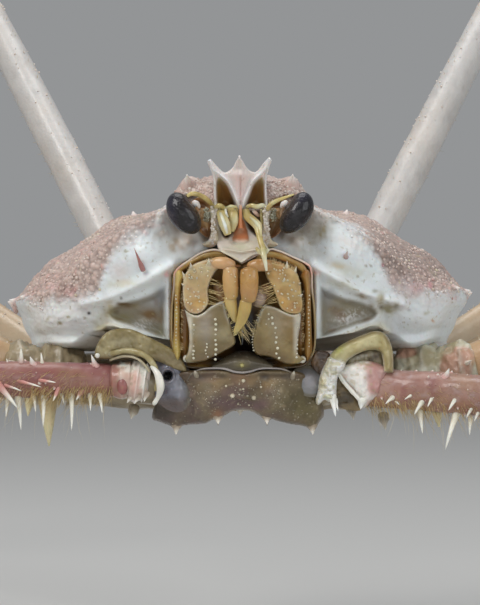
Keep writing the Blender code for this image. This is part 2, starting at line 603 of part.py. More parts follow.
def build_pincer(crab, side, side_name, colours):
    shapes = arm_shapes(side)
    hip, elbow, wrist, knuckle, tip = pincer_joints(side)
    for part in ("merus", "carpus"):
        a, b, height, flat, bow, trim = shapes[part]
        across = Vector((0, 0, 1)).cross((b - a)).normalized()
        width = lambda t: height(t) * flat
        stations = (0.0, 0.03, 0.3, 0.65, 0.97, 1.0) if part == "merus" else (0.0, 0.15, 0.5, 0.85, 1.0)
        bm = bmesh.new()
        loft(bm, limb_rings(a, b, across, bow, height, width, stations, 10, trim))
        thorns = bmesh.new()
        for base, point, r in limb_spines(a, b, across, bow, height, width, PINCER_ROWS[part], trim[0]):
            cone(thorns, base, point, r, sides=3, sink=0.4)
        crab.add("pincer_%s_%s" % (side_name, part), bm, colours["pink"], thorns)

    # Palm: a swollen hand that runs on into the fixed lower finger.
    a, b, height, flat, bow, trim = shapes["palm"]
    across = Vector((0, 0, 1)).cross((b - a)).normalized()
    axis = (b - a).normalized()
    up = across.cross(axis).normalized()
    if up.z < 0:
        up = -up
    width = lambda t: height(t) * flat
    bm = bmesh.new()
    rings = limb_rings(a, b, across, bow, height, width, (0.0, 0.05, 0.3, 0.6, 0.85, 0.97), 10, trim)
    reach = tip - knuckle
    for t, r in ((0.02, 1.7), (0.3, 1.25), (0.65, 0.9), (1.0, 0.3)):
        centre = knuckle + reach * t - up * (1.9 - 1.25 * t ** 1.3)
        rings.append(section(centre, up, across, r, r * 0.85, 10))
    loft(bm, rings)
    thorns = bmesh.new()
    for base, point, r in limb_spines(a, b, across, bow, height, width, PINCER_ROWS["palm"], trim[0]):
        cone(thorns, base, point, r, sides=3, sink=0.4)
    crab.add("pincer_%s_palm" % side_name, bm, colours["pink"], thorns)

    # The moving finger, over the fixed one.
    bm = bmesh.new()
    rings = []
    for t, r in ((0.03, 0.9), (0.1, 1.35), (0.35, 1.1), (0.7, 0.8), (0.98, 0.3)):
        centre = knuckle + reach * t + up * (1.75 + 0.9 * math.sin(math.pi * t * 0.8) - 1.0 * t ** 1.5)
        rings.append(section(centre, up, across, r, r * 0.8, 8))
    loft(bm, rings)
    crab.add("pincer_%s_finger" % side_name, bm, colours["pink"])


def main():
    clear_scene()
    crab = Crab()
    colours = {
        "shell": material("shell", (0.60, 0.44, 0.39), 0.5),
        "breast": material("breast", (0.30, 0.24, 0.16), 0.4),
        "bone": material("bone", (0.62, 0.56, 0.43), 0.35),
        "olive": material("olive", (0.36, 0.26, 0.12), 0.35),
        "ochre": material("ochre", (0.55, 0.42, 0.22), 0.35),
        "orange": material("orange", (0.60, 0.34, 0.10), 0.35),
        "yellow": material("yellow", (0.62, 0.50, 0.26), 0.4),
        "cornea": material("cornea", (0.02, 0.015, 0.015), 0.12),
        "pink": material("pink", (0.55, 0.26, 0.20), 0.35),
        "leg": material("leg", (0.62, 0.58, 0.53), 0.45),
    }
    build_carapace(crab, colours["shell"])
    build_thorax(crab, colours["breast"])
    build_abdomen(crab, colours["bone"])
    build_face(crab, colours)
    for side, name in ((LEFT, "left"), (RIGHT, "right")):
        build_pincer(crab, side, name, colours)
        for number, leg in enumerate(WALKING, 1):
            build_walking_leg(crab, number, leg, side, name, colours)
    crab.settle()


main()
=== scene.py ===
"""Looks of a life-size deep-sea spider crab: finished surfaces, camera, floor and light.

Shapes are worked out in the body's own frame in millimetres (X across, Y from the face to the
tail, Z up) and moved into the row frame as they are made. A place given as a pair (x, y) with a
depth is a pixel of the 480 x 605 frame, carried back along its line of sight to that depth.
"""
import math

import bpy
import numpy as np
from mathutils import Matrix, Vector


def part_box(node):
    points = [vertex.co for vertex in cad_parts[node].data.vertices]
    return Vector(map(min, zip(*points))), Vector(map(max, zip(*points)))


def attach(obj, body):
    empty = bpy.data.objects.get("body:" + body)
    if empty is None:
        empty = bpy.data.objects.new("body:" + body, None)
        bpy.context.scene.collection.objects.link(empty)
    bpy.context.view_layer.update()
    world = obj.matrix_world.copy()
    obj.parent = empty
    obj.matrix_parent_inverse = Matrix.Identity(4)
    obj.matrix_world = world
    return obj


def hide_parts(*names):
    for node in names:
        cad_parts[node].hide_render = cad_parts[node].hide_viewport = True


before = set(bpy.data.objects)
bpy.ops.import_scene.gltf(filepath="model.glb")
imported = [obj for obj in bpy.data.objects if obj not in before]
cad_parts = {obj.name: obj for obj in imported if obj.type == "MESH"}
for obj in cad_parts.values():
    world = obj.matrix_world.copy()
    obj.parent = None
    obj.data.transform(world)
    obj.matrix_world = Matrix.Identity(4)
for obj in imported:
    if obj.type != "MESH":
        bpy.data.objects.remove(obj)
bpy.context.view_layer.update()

_lo, _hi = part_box("eye_left")
SHIFT = np.array([(a + b) / 2 for a, b in zip(_lo, _hi)]) - np.array([5.9, -1.1, 9.35]) * 0.001

VIEW_BACK = 200.0     # camera to the face plane, mm
FOCAL = 1903.0        # focal length in pixels of the frame
FLOOR = -45.0
RNG = np.random.default_rng(7)


# ------------------------------------------------------------------ numbers
def A(*v):
    return np.array(v, float)


def unit(v):
    return v / np.maximum(np.linalg.norm(v, axis=-1, keepdims=True), 1e-9)


def smooth(e0, e1, x):
    t = np.clip((x - e0) / (e1 - e0), 0, 1)
    return t * t * (3 - 2 * t)


def mix(a, b, t):
    t = np.asarray(t, float)
    if t.ndim and np.ndim(a) <= 1:
        t = t[..., None]
    return a + (b - a) * t


def blend(base, colour, t):
    return base + (np.asarray(colour, float) - base) * np.asarray(t)[..., None]


def at(x, y, depth):
    """Body point that shows at pixel (x, y) when it lies at this depth."""
    k = (VIEW_BACK + depth) / FOCAL
    return np.stack(np.broadcast_arrays((np.asarray(x, float) - 240.0) * k, np.asarray(depth, float), (302.5 - np.asarray(y, float)) * k), -1)


def seen(P):
    k = FOCAL / (VIEW_BACK + P[..., 1])
    return 240.0 + P[..., 0] * k, 302.5 - P[..., 2] * k


def hashed(i, j, k, seed):
    h = (i * 374761393 + j * 668265263 + k * 1274126177 + seed * 144665) & 0xFFFFFFFF
    h = ((h ^ (h >> 13)) * 1103515245) & 0xFFFFFFFF
    return ((h ^ (h >> 16)) & 0xFFFF) / 65535.0


def noise(P, size, seed=0):
    """Smooth value noise between -1 and 1; size is the lump size in mm."""
    q = P / size
    i = np.floor(q).astype(np.int64)
    f = q - i
    f = f * f * (3 - 2 * f)
    out = 0.0
    for a in (0, 1):
        for b in (0, 1):
            for c in (0, 1):
                w = (f[..., 0] if a else 1 - f[..., 0]) * (f[..., 1] if b else 1 - f[..., 1]) * (f[..., 2] if c else 1 - f[..., 2])
                out = out + w * hashed(i[..., 0] + a, i[..., 1] + b, i[..., 2] + c, seed)
    return 2 * out - 1


def cells(P, size, seed):
    """Distance, in cell sizes, to the nearest of evenly scattered points, and a number of its own for that point."""
    q = P / size
    i = np.floor(q).astype(np.int64)
    best, tag = np.full(q.shape[:-1], 9.0), np.zeros(q.shape[:-1])
    for a in (-1, 0, 1):
        for b in (-1, 0, 1):
            for c in (-1, 0, 1):
                j = (i[..., 0] + a, i[..., 1] + b, i[..., 2] + c)
                d = sum((q[..., n] - j[n] - 0.15 - 0.7 * hashed(*j, seed + n)) ** 2 for n in range(3))
                near = d < best
                best, tag = np.where(near, d, best), np.where(near, hashed(*j, seed + 9), tag)
    return np.sqrt(best), tag


def fbm(P, size, seed=0, octaves=3):
    return sum(noise(P, size / 2 ** o, seed + 17 * o) / 2 ** o for o in range(octaves)) / 1.6


def wobble(k, seed=0.0):
    s = math.sin(k * 12.9898 + seed * 78.233) * 43758.5453
    return 2.0 * (s - math.floor(s)) - 1.0


def path(points, count):
    """Points along a smooth curve through the given ones."""
    pts = np.array(points, float)
    last = len(pts) - 1
    u = np.linspace(0, last, count)
    i = np.minimum(u.astype(int), last - 1)
    t = (u - i)[:, None]
    g = lambda j: pts[np.clip(j, 0, last)]
    p0, p1, p2, p3 = g(i - 1), g(i), g(i + 1), g(i + 2)
    return 0.5 * (2 * p1 + (p2 - p0) * t + (2 * p0 - 5 * p1 + 4 * p2 - p3) * t ** 2 + (3 * p1 - p0 - 3 * p2 + p3) * t ** 3)


def outline(points, sharp=(), steps=8):
    """A closed rounded outline through picture points; those numbered in sharp stay corners."""
    pts = np.array(points, float)
    n = len(pts)
    tan = np.array([0.5 * (pts[(k + 1) % n] - pts[k - 1]) * (0.0 if k in sharp else 1.0) for k in range(n)])
    out = []
    for k in range(n):
        p, q, a, b = pts[k], pts[(k + 1) % n], tan[k], tan[(k + 1) % n]
        for s in range(steps):
            t = s / steps
            out.append((2 * t ** 3 - 3 * t ** 2 + 1) * p + (t ** 3 - 2 * t ** 2 + t) * a + (-2 * t ** 3 + 3 * t ** 2) * q + (t ** 3 - t ** 2) * b)
    return np.array(out)


def line_distance(x, y, pts, closed=False):
    """Distance from picture places to a line of points, and how far along it the nearest place is."""
    pts = np.asarray(pts, float)
    q = np.roll(pts, -1, 0) if closed else pts[1:]
    p = pts if closed else pts[:-1]
    best = np.full(np.shape(x), 1e9)
    along = np.zeros(np.shape(x))
    bx, by = np.array(x, float), np.array(y, float)
    for k, (a, b) in enumerate(zip(p, q)):
        d = b - a
        L = max(float(d @ d), 1e-12)
        t = np.clip(((x - a[0]) * d[0] + (y - a[1]) * d[1]) / L, 0, 1)
        cx, cy = a[0] + t * d[0], a[1] + t * d[1]
        r = np.hypot(x - cx, y - cy)
        near = r < best
        best = np.where(near, r, best)
        along = np.where(near, (k + t) / len(p), along)
        bx, by = np.where(near, cx, bx), np.where(near, cy, by)
    return best, along, bx, by


def inside(x, y, poly):
    hit = np.zeros(np.shape(x), bool)
    q = np.roll(poly, -1, 0)
    for a, b in zip(poly, q):
        if a[1] == b[1]:
            continue
        cross = ((a[1] > y) != (b[1] > y)) & (x < (b[0] - a[0]) * (y - a[1]) / (b[1] - a[1]) + a[0])
        hit ^= cross
    return hit


# ------------------------------------------------------------------ mesh collector
class Bag:
    """Gathers closed shapes with their colours, and makes one piece of them."""

    def __init__(self):
        self.points, self.quads, self.tris, self.colours, self.places, self.count = [], [], [], [], [], 0
        self.limbs = []

    def add(self, P, F, C, place=None):
        P = np.asarray(P, float).reshape(-1, 3)
        C = np.broadcast_to(np.asarray(C, float), (len(P), 3)) if np.ndim(C) == 1 else np.asarray(C, float).reshape(-1, 3)
        F = np.asarray(F, np.int64) + self.count
        (self.quads if F.shape[1] == 4 else self.tris).append(F)
        self.points.append(P)
        self.colours.append(C)
        self.places.append(np.zeros((len(P), 2)) if place is None else np.broadcast_to(place, (len(P), 2)))
        self.count += len(P)

    def grid(self, P, C, wrap=True, caps=False):
        """A skin over rows x columns of points, closed round each row if wrap."""
        r, c = P.shape[:2]
        k = np.arange(r * c).reshape(r, c)
        nxt = np.roll(k, -1, 1)
        a, b = (k, nxt) if wrap else (k[:, :-1], k[:, 1:])
        F = np.stack([a[:-1], b[:-1], b[1:], a[1:]], -1).reshape(-1, 4)
        C = np.asarray(C, float)
        C = np.broadcast_to(C, (r * c, 3)) if C.ndim == 1 else C.reshape(-1, 3)
        pts = P.reshape(-1, 3)
        start = self.count
        self.add(pts, F, C)
        if caps:
            for row, flip in ((0, True), (r - 1, False)):
                mid = pts[k[row]].mean(0)
                ring = k[row]
                T = np.stack([ring, np.roll(ring, -1), np.full(c, r * c)], -1)
                if flip:
                    T = T[:, ::-1]
                # the hub of the cap is its own point
                self.points.append(mid[None])
                self.colours.append(C[k[row]].mean(0)[None])
                self.places.append(np.zeros((1, 2)))
                T = np.where(T == r * c, self.count, T + start)
                self.tris.append(T)
                self.count += 1

    def stamp(self, template, faces, centres, frames, scales, colours, places=None):
        """Copies of a small shape: template n x 3, at each centre, turned and sized."""
        m, n = len(centres), len(template)
        if m == 0:
            return
        T = template[None] * scales[:, None, :]
        P = np.einsum("mnk,mkj->mnj", T, frames) + centres[:, None]
        F = (faces[None] + (np.arange(m) * n)[:, None, None]).reshape(-1, faces.shape[1])
        C = colours if colours.ndim == 3 else np.repeat(colours[:, None], n, 1)
        pl = np.zeros((m, n, 2)) if places is None else np.repeat(places[:, None], n, 1)
        self.add(P.reshape(-1, 3), F, C.reshape(-1, 3))
        self.places[-1] = pl.reshape(-1, 2)

    def build(self, name, finish, replaces=(), hair=False, slot=None):
        P = np.concatenate(self.points) * 0.001 + SHIFT
        quads = np.concatenate(self.quads) if self.quads else np.zeros((0, 4), np.int64)
        tris = np.concatenate(self.tris) if self.tris else np.zeros((0, 3), np.int64)
        me = bpy.data.meshes.new(name)
        me.vertices.add(len(P))
        me.vertices.foreach_set("co", P.astype(np.float32).ravel())
        corners = np.concatenate([quads.ravel(), tris.ravel()]).astype(np.int32)
        me.loops.add(len(corners))
        me.loops.foreach_set("vertex_index", corners)
        starts = np.concatenate([np.arange(len(quads)) * 4, len(quads) * 4 + np.arange(len(tris)) * 3]).astype(np.int32)
        me.polygons.add(len(starts))
        me.polygons.foreach_set("loop_start", starts)
        me.update(calc_edges=True)
        me.validate()
        tint = me.color_attributes.new("paint", "FLOAT_COLOR", "POINT")
        C = np.concatenate(self.colours)
        tint.data.foreach_set("color", np.concatenate([np.clip(C, 0, 1), np.ones((len(C), 1))], 1).astype(np.float32).ravel())
        if hair:
            uv = me.uv_layers.new(name="OFBake")
            place = np.concatenate(self.places)
            # each tuft is a patch 0.003 across at its root's place on the skin's own unwrap
            side = np.concatenate([[(0, 0), (0.003, 0), (0.003, 0.003), (0, 0.003)] * len(quads), [(0, 0), (0.003, 0), (0.0015, 0.003)] * len(tris)]).reshape(-1, 2) if len(quads) and len(tris) else (
                np.tile(A([0, 0], [0.003, 0], [0.003, 0.003], [0, 0.003]), (len(quads), 1)) if len(quads) else np.tile(A([0, 0], [0.003, 0], [0.0015, 0.003]), (len(tris), 1)))
            uv.data.foreach_set("uv", (np.clip(place[corners], 0.002, 0.994) + side).astype(np.float32).ravel())
        me.shade_smooth()
        item = bpy.data.objects.new(name, me)
        bpy.context.scene.collection.objects.link(item)
        me.materials.append(finish)
        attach(item, "root")
        if replaces:
            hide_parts(*replaces)
        return item


def ring_frames(axis, hint):
    z = unit(axis)
    x = unit(np.cross(np.broadcast_to(hint, z.shape), z))
    y = np.cross(z, x)
    return np.stack([x, y, z], -2)


def dome_shape(sides=8, rings=3, point=0.0):
    """A unit bump: round, or drawn up to a point."""
    P = []
    for r in range(rings):
        a = (r / rings) * math.pi / 2
        for k in range(sides):
            t = 2 * math.pi * k / sides
            P.append((math.cos(t) * math.cos(a) ** (1 + point), math.sin(t) * math.cos(a) ** (1 + point), math.sin(a) - (0.25 if r == 0 else 0)))
    P.append((0, 0, 1))
    F = []
    for r in range(rings - 1):
        for k in range(sides):
            a, b = r * sides + k, r * sides + (k + 1) % sides
            F += [(a, b, b + sides), (a, b + sides, a + sides)]
    top = rings * sides
    F += [((rings - 1) * sides + k, (rings - 1) * sides + (k + 1) % sides, top) for k in range(sides)]
    P.append((0, 0, -0.3))
    F += [((k + 1) % sides, k, top + 1) for k in range(sides)]
    return np.array(P, float), np.array(F, np.int64)


DOME = dome_shape(8, 3)
DOME_SMALL = dome_shape(6, 2, 0.3)
BEAD = dome_shape(10, 4)


def bumps(bag, P, N, size, height, colour, shape=DOME, places=None):
    F = ring_frames(N, A(0.3, 0.2, 0.9))
    size = np.broadcast_to(size, (len(P),))
    height = np.broadcast_to(height, (len(P),))
    bag.stamp(shape[0], shape[1], P, F, np.stack([size, size, height], -1), np.broadcast_to(colour, (len(P), 3)) if np.ndim(colour) == 1 else colour, places)


def spine(bag, base, tip, radius, c0, c1, sides=10, rings=7, bend=0.0, sink=0.35, bend_dir=None, power=0.85, seed=0):
    """A gently curved thorn, coloured from root to tip."""
    base, tip = np.array(base, float), np.array(tip, float)
    way = tip - base
    L = np.linalg.norm(way)
    axis = way / max(L, 1e-9)
    side = unit(np.cross(axis, A(0.31, 0.87, 0.17)))
    if bend_dir is None:
        bend_dir = side
    else:
        bend_dir = unit(np.array(bend_dir, float) - axis * float(np.dot(bend_dir, axis)))
    t = np.linspace(-sink / max(L, 1e-6), 1, rings)
    c = base + way * t[:, None] + bend_dir * (bend * L * np.sin(np.pi * np.clip(t, 0, 1)))[:, None]
    r = radius * np.maximum(0.0, 1 - np.clip(t, 0, 1)) ** power
    r = np.maximum(r, radius * 0.07)
    flare = radius * 0.35 * np.exp(-np.clip(t, 0, 1) * 9)
    a = np.linspace(0, 2 * np.pi, sides, endpoint=False)
    x, y = side, np.cross(axis, side)
    ring = np.cos(a)[:, None] * x + np.sin(a)[:, None] * y
    P = c[:, None] + ring[None] * (r + flare)[:, None, None]
    k = smooth(0.05, 0.75, np.clip(t, 0, 1))
    C = np.asarray(c0)[None] + (np.asarray(c1) - np.asarray(c0))[None] * k[:, None]
    bag.grid(P, np.repeat(C[:, None], sides, 1), caps=True)


def tube(bag, pts, radii, colour, sides=12, flat=1.0, hint=A(0, 0, 1), caps=True):
    """A round or flattened rod along points."""
    pts = np.asarray(pts, float)
    radii = np.broadcast_to(radii, (len(pts),))
    tan = unit(np.gradient(pts, axis=0))
    x = unit(np.cross(tan, hint))
    y = np.cross(x, tan)
    a = np.linspace(0, 2 * np.pi, sides, endpoint=False)
    P = pts[:, None] + (np.cos(a)[None, :, None] * x[:, None] + np.sin(a)[None, :, None] * y[:, None] * flat) * radii[:, None, None]
    C = np.asarray(colour, float)
    if C.ndim == 2:
        C = np.repeat(C[:, None], sides, 1)
    bag.grid(P, C, caps=caps)


def hairs(bag, roots, ways, lengths, radius, colour, droop=0.15, sides=3, rings=4, places=None, seed=1):
    """Fine bristles: thin three-sided shafts that taper and bend a little."""
    m = len(roots)
    if m == 0:
        return
    rng = np.random.default_rng(seed)
    ways = unit(ways)
    side = unit(np.cross(ways, A(0.2, 0.5, 0.8)))
    up = np.cross(ways, side)
    t = np.linspace(0, 1, rings)
    swing = rng.uniform(0, 2 * np.pi, m)
    bend = side * np.cos(swing)[:, None] + up * np.sin(swing)[:, None]
    c = roots[:, None] + ways[:, None] * (t * 1.0)[None, :, None] * lengths[:, None, None]
    c = c + bend[:, None] * ((t ** 2)[None, :] * (lengths * droop * rng.uniform(0.2, 1.0, m))[:, None])[..., None]
    r = radius * (1 - t) ** 0.8 + radius * 0.12
    a = np.linspace(0, 2 * np.pi, sides, endpoint=False)
    ring = np.cos(a)[None, :, None] * side[:, None] + np.sin(a)[None, :, None] * up[:, None]
    P = c[:, :, None] + ring[:, None] * r[None, :, None, None]
    n = rings * sides
    k = np.arange(n).reshape(rings, sides)
    nx = np.roll(k, -1, 1)
    F = np.stack([k[:-1], nx[:-1], nx[1:], k[1:]], -1).reshape(-1, 4)
    F = (F[None] + (np.arange(m) * n)[:, None, None]).reshape(-1, 4)
    C = np.broadcast_to(colour, (m, 3)) if np.ndim(colour) == 1 else colour
    C = np.clip(C * rng.uniform(0.8, 1.15, (m, 1)), 0, 1)
    bag.add(P.reshape(-1, 3), F, np.repeat(C[:, None], n, 1).reshape(-1, 3))
    if places is not None:
        bag.places[-1] = np.repeat(places[:, None], n, 1).reshape(-1, 2)
    for row, flip in ((0, True), (rings - 1, False)):
        T = (k[row][None] + (np.arange(m) * n)[:, None])
        T = T[:, ::-1] if flip else T
        bag.tris.append(T + bag.count - m * n)


def relief(bag, poly, depth, colour, step=0.5, thick=0.6, back=None):
    """A plate whose outline is given in the picture: depth(x, y, d) is its front, d the distance in
    pixels from its edge. It is a closed solid, thick mm from front to back."""
    step = step * 1.25
    x0, y0 = poly.min(0) - step
    x1, y1 = poly.max(0) + step
    xs, ys = np.arange(x0, x1 + step, step), np.arange(y0, y1 + step, step)
    x, y = np.meshgrid(xs, ys)
    hit = inside(x, y, poly)
    d, _, bx, by = line_distance(x, y, poly, closed=True)
    near = ~hit | (d < step * 0.35)
    quad_any = hit[:-1, :-1] | hit[1:, :-1] | hit[:-1, 1:] | hit[1:, 1:]
    x, y = np.where(near, bx, x), np.where(near, by, y)
    d = np.where(near, 0.0, d)
    Y = depth(x, y, d)
    P = at(x, y, Y)
    C = colour(P, x, y, d)
    Q = P.copy()
    if back is None:
        Q = at(x, y, Y + thick)
    else:
        Q = at(x, y, np.maximum(back(x, y, d), Y + 0.15))
    r, c = x.shape
    k = np.arange(r * c).reshape(r, c)
    a, b, e, f = k[:-1, :-1], k[:-1, 1:], k[1:, 1:], k[1:, :-1]
    F = np.stack([a, f, e, b], -1)[quad_any]
    used = np.unique(F)
    index = np.full(r * c, -1)
    index[used] = np.arange(len(used))
    F = index[F]
    n = len(used)
    front, rear = P.reshape(-1, 3)[used], Q.reshape(-1, 3)[used]
    colours = C.reshape(-1, 3)[used]
    edges = np.concatenate([F[:, [0, 1]], F[:, [1, 2]], F[:, [2, 3]], F[:, [3, 0]]])
    key = np.sort(edges, 1)
    _, inv, cnt = np.unique(key, axis=0, return_inverse=True, return_counts=True)
    rim = edges[cnt[inv.reshape(-1)] == 1]
    W = np.stack([rim[:, 1], rim[:, 0], rim[:, 0] + n, rim[:, 1] + n], -1)
    bag.add(np.concatenate([front, rear]), np.concatenate([F, F[:, ::-1] + n, W]), np.concatenate([colours, colours * 0.8]))


# ------------------------------------------------------------------ finishes
def finish(name, rough=0.35, coat=0.3, coat_rough=0.12, under=0.08, grain=0.0, grain_size=900.0, speck=0.0, speck_colour=(0.2, 0.13, 0.06), bump=0.15, bump_size=1400.0, sheen=0.0, tint=0.10, pore=0.0, pore_size=2600.0, ior=1.5, radius=(0.0016, 0.0009, 0.0006)):
    """Shell material: painted colour, varied by noise, with fine relief and a wet gloss."""
    m = bpy.data.materials.new(name)
    m.use_nodes = True
    t = m.node_tree
    N, L = t.nodes, t.links
    s = N["Principled BSDF"]
    paint = N.new("ShaderNodeAttribute")
    paint.attribute_name = "paint"
    co = N.new("ShaderNodeTexCoord")
    # cloudy variation of the colour
    n1 = N.new("ShaderNodeTexNoise")
    n1.inputs["Scale"].default_value = 260.0
    n1.inputs["Detail"].default_value = 6.0
    n1.inputs["Roughness"].default_value = 0.62
    L.new(co.outputs["Object"], n1.inputs["Vector"])
    r1 = N.new("ShaderNodeMapRange")
    r1.inputs["From Min"].default_value = 0.3
    r1.inputs["From Max"].default_value = 0.7
    r1.inputs["To Min"].default_value = 1.0 - tint
    r1.inputs["To Max"].default_value = 1.0 + tint
    L.new(n1.outputs["Fac"], r1.inputs["Value"])
    mul = N.new("ShaderNodeVectorMath")
    mul.operation = "SCALE"
    L.new(paint.outputs["Color"], mul.inputs[0])
    L.new(r1.outputs["Result"], mul.inputs["Scale"])
    last = mul.outputs["Vector"]
    if speck > 0:
        n2 = N.new("ShaderNodeTexNoise")
        n2.inputs["Scale"].default_value = 1700.0
        n2.inputs["Detail"].default_value = 3.0
        L.new(co.outputs["Object"], n2.inputs["Vector"])
        r2 = N.new("ShaderNodeMapRange")
        r2.inputs["From Min"].default_value = 0.62
        r2.inputs["From Max"].default_value = 0.74
        r2.inputs["To Max"].default_value = speck
        L.new(n2.outputs["Fac"], r2.inputs["Value"])
        mx = N.new("ShaderNodeMix")
        mx.data_type = "RGBA"
        L.new(r2.outputs["Result"], mx.inputs["Factor"])
        L.new(last, mx.inputs["A"])
        mx.inputs["B"].default_value = (*speck_colour, 1)
        last = mx.outputs["Result"]
    L.new(last, s.inputs["Base Color"])
    # roughness that varies as wet shell does
    n3 = N.new("ShaderNodeTexNoise")
    n3.inputs["Scale"].default_value = 420.0
    n3.inputs["Detail"].default_value = 4.0
    L.new(co.outputs["Object"], n3.inputs["Vector"])
    r3 = N.new("ShaderNodeMapRange")
    r3.inputs["To Min"].default_value = max(0.03, rough - 0.12)
    r3.inputs["To Max"].default_value = min(1.0, rough + 0.14)
    L.new(n3.outputs["Fac"], r3.inputs["Value"])
    L.new(r3.outputs["Result"], s.inputs["Roughness"])
    # fine relief
    n4 = N.new("ShaderNodeTexNoise")
    n4.inputs["Scale"].default_value = bump_size
    n4.inputs["Detail"].default_value = 5.0
    L.new(co.outputs["Object"], n4.inputs["Vector"])
    b1 = N.new("ShaderNodeBump")
    b1.inputs["Strength"].default_value = bump
    b1.inputs["Distance"].default_value = 0.0003
    L.new(n4.outputs["Fac"], b1.inputs["Height"])
    normal = b1.outputs["Normal"]
    if grain > 0:
        v = N.new("ShaderNodeTexVoronoi")
        v.inputs["Scale"].default_value = grain_size
        L.new(co.outputs["Object"], v.inputs["Vector"])
        r4 = N.new("ShaderNodeMapRange")
        r4.inputs["From Min"].default_value = 0.0
        r4.inputs["From Max"].default_value = 0.55
        r4.inputs["To Min"].default_value = 1.0
        r4.inputs["To Max"].default_value = 0.0
        L.new(v.outputs["Distance"], r4.inputs["Value"])
        b2 = N.new("ShaderNodeBump")
        b2.inputs["Strength"].default_value = grain
        b2.inputs["Distance"].default_value = 0.0004
        L.new(r4.outputs["Result"], b2.inputs["Height"])
        L.new(normal, b2.inputs["Normal"])
        normal = b2.outputs["Normal"]
    if pore > 0:
        v = N.new("ShaderNodeTexVoronoi")
        v.inputs["Scale"].default_value = pore_size
        L.new(co.outputs["Object"], v.inputs["Vector"])
        b3 = N.new("ShaderNodeBump")
        b3.inputs["Strength"].default_value = pore
        b3.inputs["Distance"].default_value = 0.0002
        L.new(v.outputs["Distance"], b3.inputs["Height"])
        L.new(normal, b3.inputs["Normal"])
        normal = b3.outputs["Normal"]
    L.new(normal, s.inputs["Normal"])
    s.inputs["Coat Weight"].default_value = coat
    s.inputs["Coat Roughness"].default_value = coat_rough
    s.inputs["IOR"].default_value = ior
    if under > 0:
        s.inputs["Subsurface Weight"].default_value = under
        s.inputs["Subsurface Radius"].default_value = radius
        s.inputs["Subsurface Scale"].default_value = 1.0
    return m


GRANULAR = finish("shell_granular", rough=0.5, coat=0.18, coat_rough=0.2, under=0.1, grain=0.35, grain_size=1500, bump=0.3, tint=0.12, speck=0.35, speck_colour=(0.34, 0.22, 0.17))
PORCELAIN = finish("shell_white", rough=0.42, coat=0.24, coat_rough=0.15, under=0.2, bump=0.28, tint=0.05, speck=0.5, speck_colour=(0.36, 0.29, 0.15))
GLOSSY = finish("shell_glossy", rough=0.38, coat=0.3, coat_rough=0.12, under=0.15, bump=0.12, tint=0.14, pore=0.12)
AMBER = finish("mouth_amber", rough=0.3, coat=0.5, coat_rough=0.1, under=0.25, bump=0.16, tint=0.16, pore=0.1, radius=(0.0022, 0.0011, 0.0005))
MOTTLED = finish("breast_mottled", rough=0.4, coat=0.35, coat_rough=0.15, under=0.1, bump=0.35, tint=0.3, speck=0.3, speck_colour=(0.62, 0.56, 0.44), pore=0.2)
LEG = finish("leg_shell", rough=0.38, coat=0.3, coat_rough=0.15, under=0.15, bump=0.14, tint=0.08, pore=0.15)
HAIR = finish("bristle", rough=0.35, coat=0.2, under=0.0, bump=0.05, tint=0.1)
CRAGGY = finish("shell_craggy", rough=0.38, coat=0.4, coat_rough=0.12, under=0.15, bump=0.35, tint=0.16, speck=0.4, speck_colour=(0.26, 0.20, 0.09), pore=0.15)
MEMBRANE = finish("joint_skin", rough=0.25, coat=0.6, coat_rough=0.06, under=0.3, bump=0.2, tint=0.15)

CORNEA = finish("cornea", rough=0.30, coat=0.55, coat_rough=0.10, under=0.0, bump=0.2, bump_size=1500, tint=0.3, pore=0.35, pore_size=4200, ior=1.32)


# ------------------------------------------------------------------ the carapace's form
MARGIN_RADIUS = ((0, 23.0), (14, 23.3), (25, 26.2), (45, 26.2), (90, 26.7), (125, 25.6), (155, 23.2), (180, 21.4))
MARGIN_HEIGHT = ((0, 11.3), (14, 11.1), (24, 8.6), (38, 5.2), (52, 1.0), (90, -0.3), (180, -0.8))
SKIRT_RADIUS = ((0, 20.3), (15, 20.5), (30, 23.0), (60, 23.6), (90, 24.3), (125, 22.6), (155, 20.4), (180, 18.8))
SKIRT_HEIGHT = ((0, -4.4), (16, -4.4), (32, -3.2), (44, -2.9), (58, -5.4), (90, -5.9), (130, -5.0), (180, -4.0))
DOME_POWER = ((0, 3.0), (30, 2.3), (90, 1.6), (180, 2.0))
CENTRE = A(0.0, 26.0)
DOME_TOP = 14.5
GASTRIC = 0.3


def station(angle, table):
    """A value by the angle from the front, eased from station to station and softened over ten degrees."""
    angle = np.asarray(angle, float)
    total = 0.0
    for shift, share in ((-5.0, 1 / 9), (-2.5, 2 / 9), (0.0, 3 / 9), (2.5, 2 / 9), (5.0, 1 / 9)):
        total = total + share * read_station(180.0 - np.abs(180.0 - np.abs(angle + shift)), table)
    return total


def read_station(angle, table):
    out = np.full(np.shape(angle), float(table[-1][1]))
    done = np.zeros(np.shape(angle), bool)
    for (a0, v0), (a1, v1) in zip(table, table[1:]):
        here = (angle <= a1) & ~done
        t = np.clip((angle - a0) / (a1 - a0), 0, 1)
        t = t * t * (3 - 2 * t) * 0.5 + t * 0.5
        out = np.where(here, v0 + (v1 - v0) * t, out)
        done |= here
    return out


def hump(x, y, cx, cy, rx, ry):
    return np.exp(-(((x - cx) / rx) ** 2 + ((y - cy) / ry) ** 2))


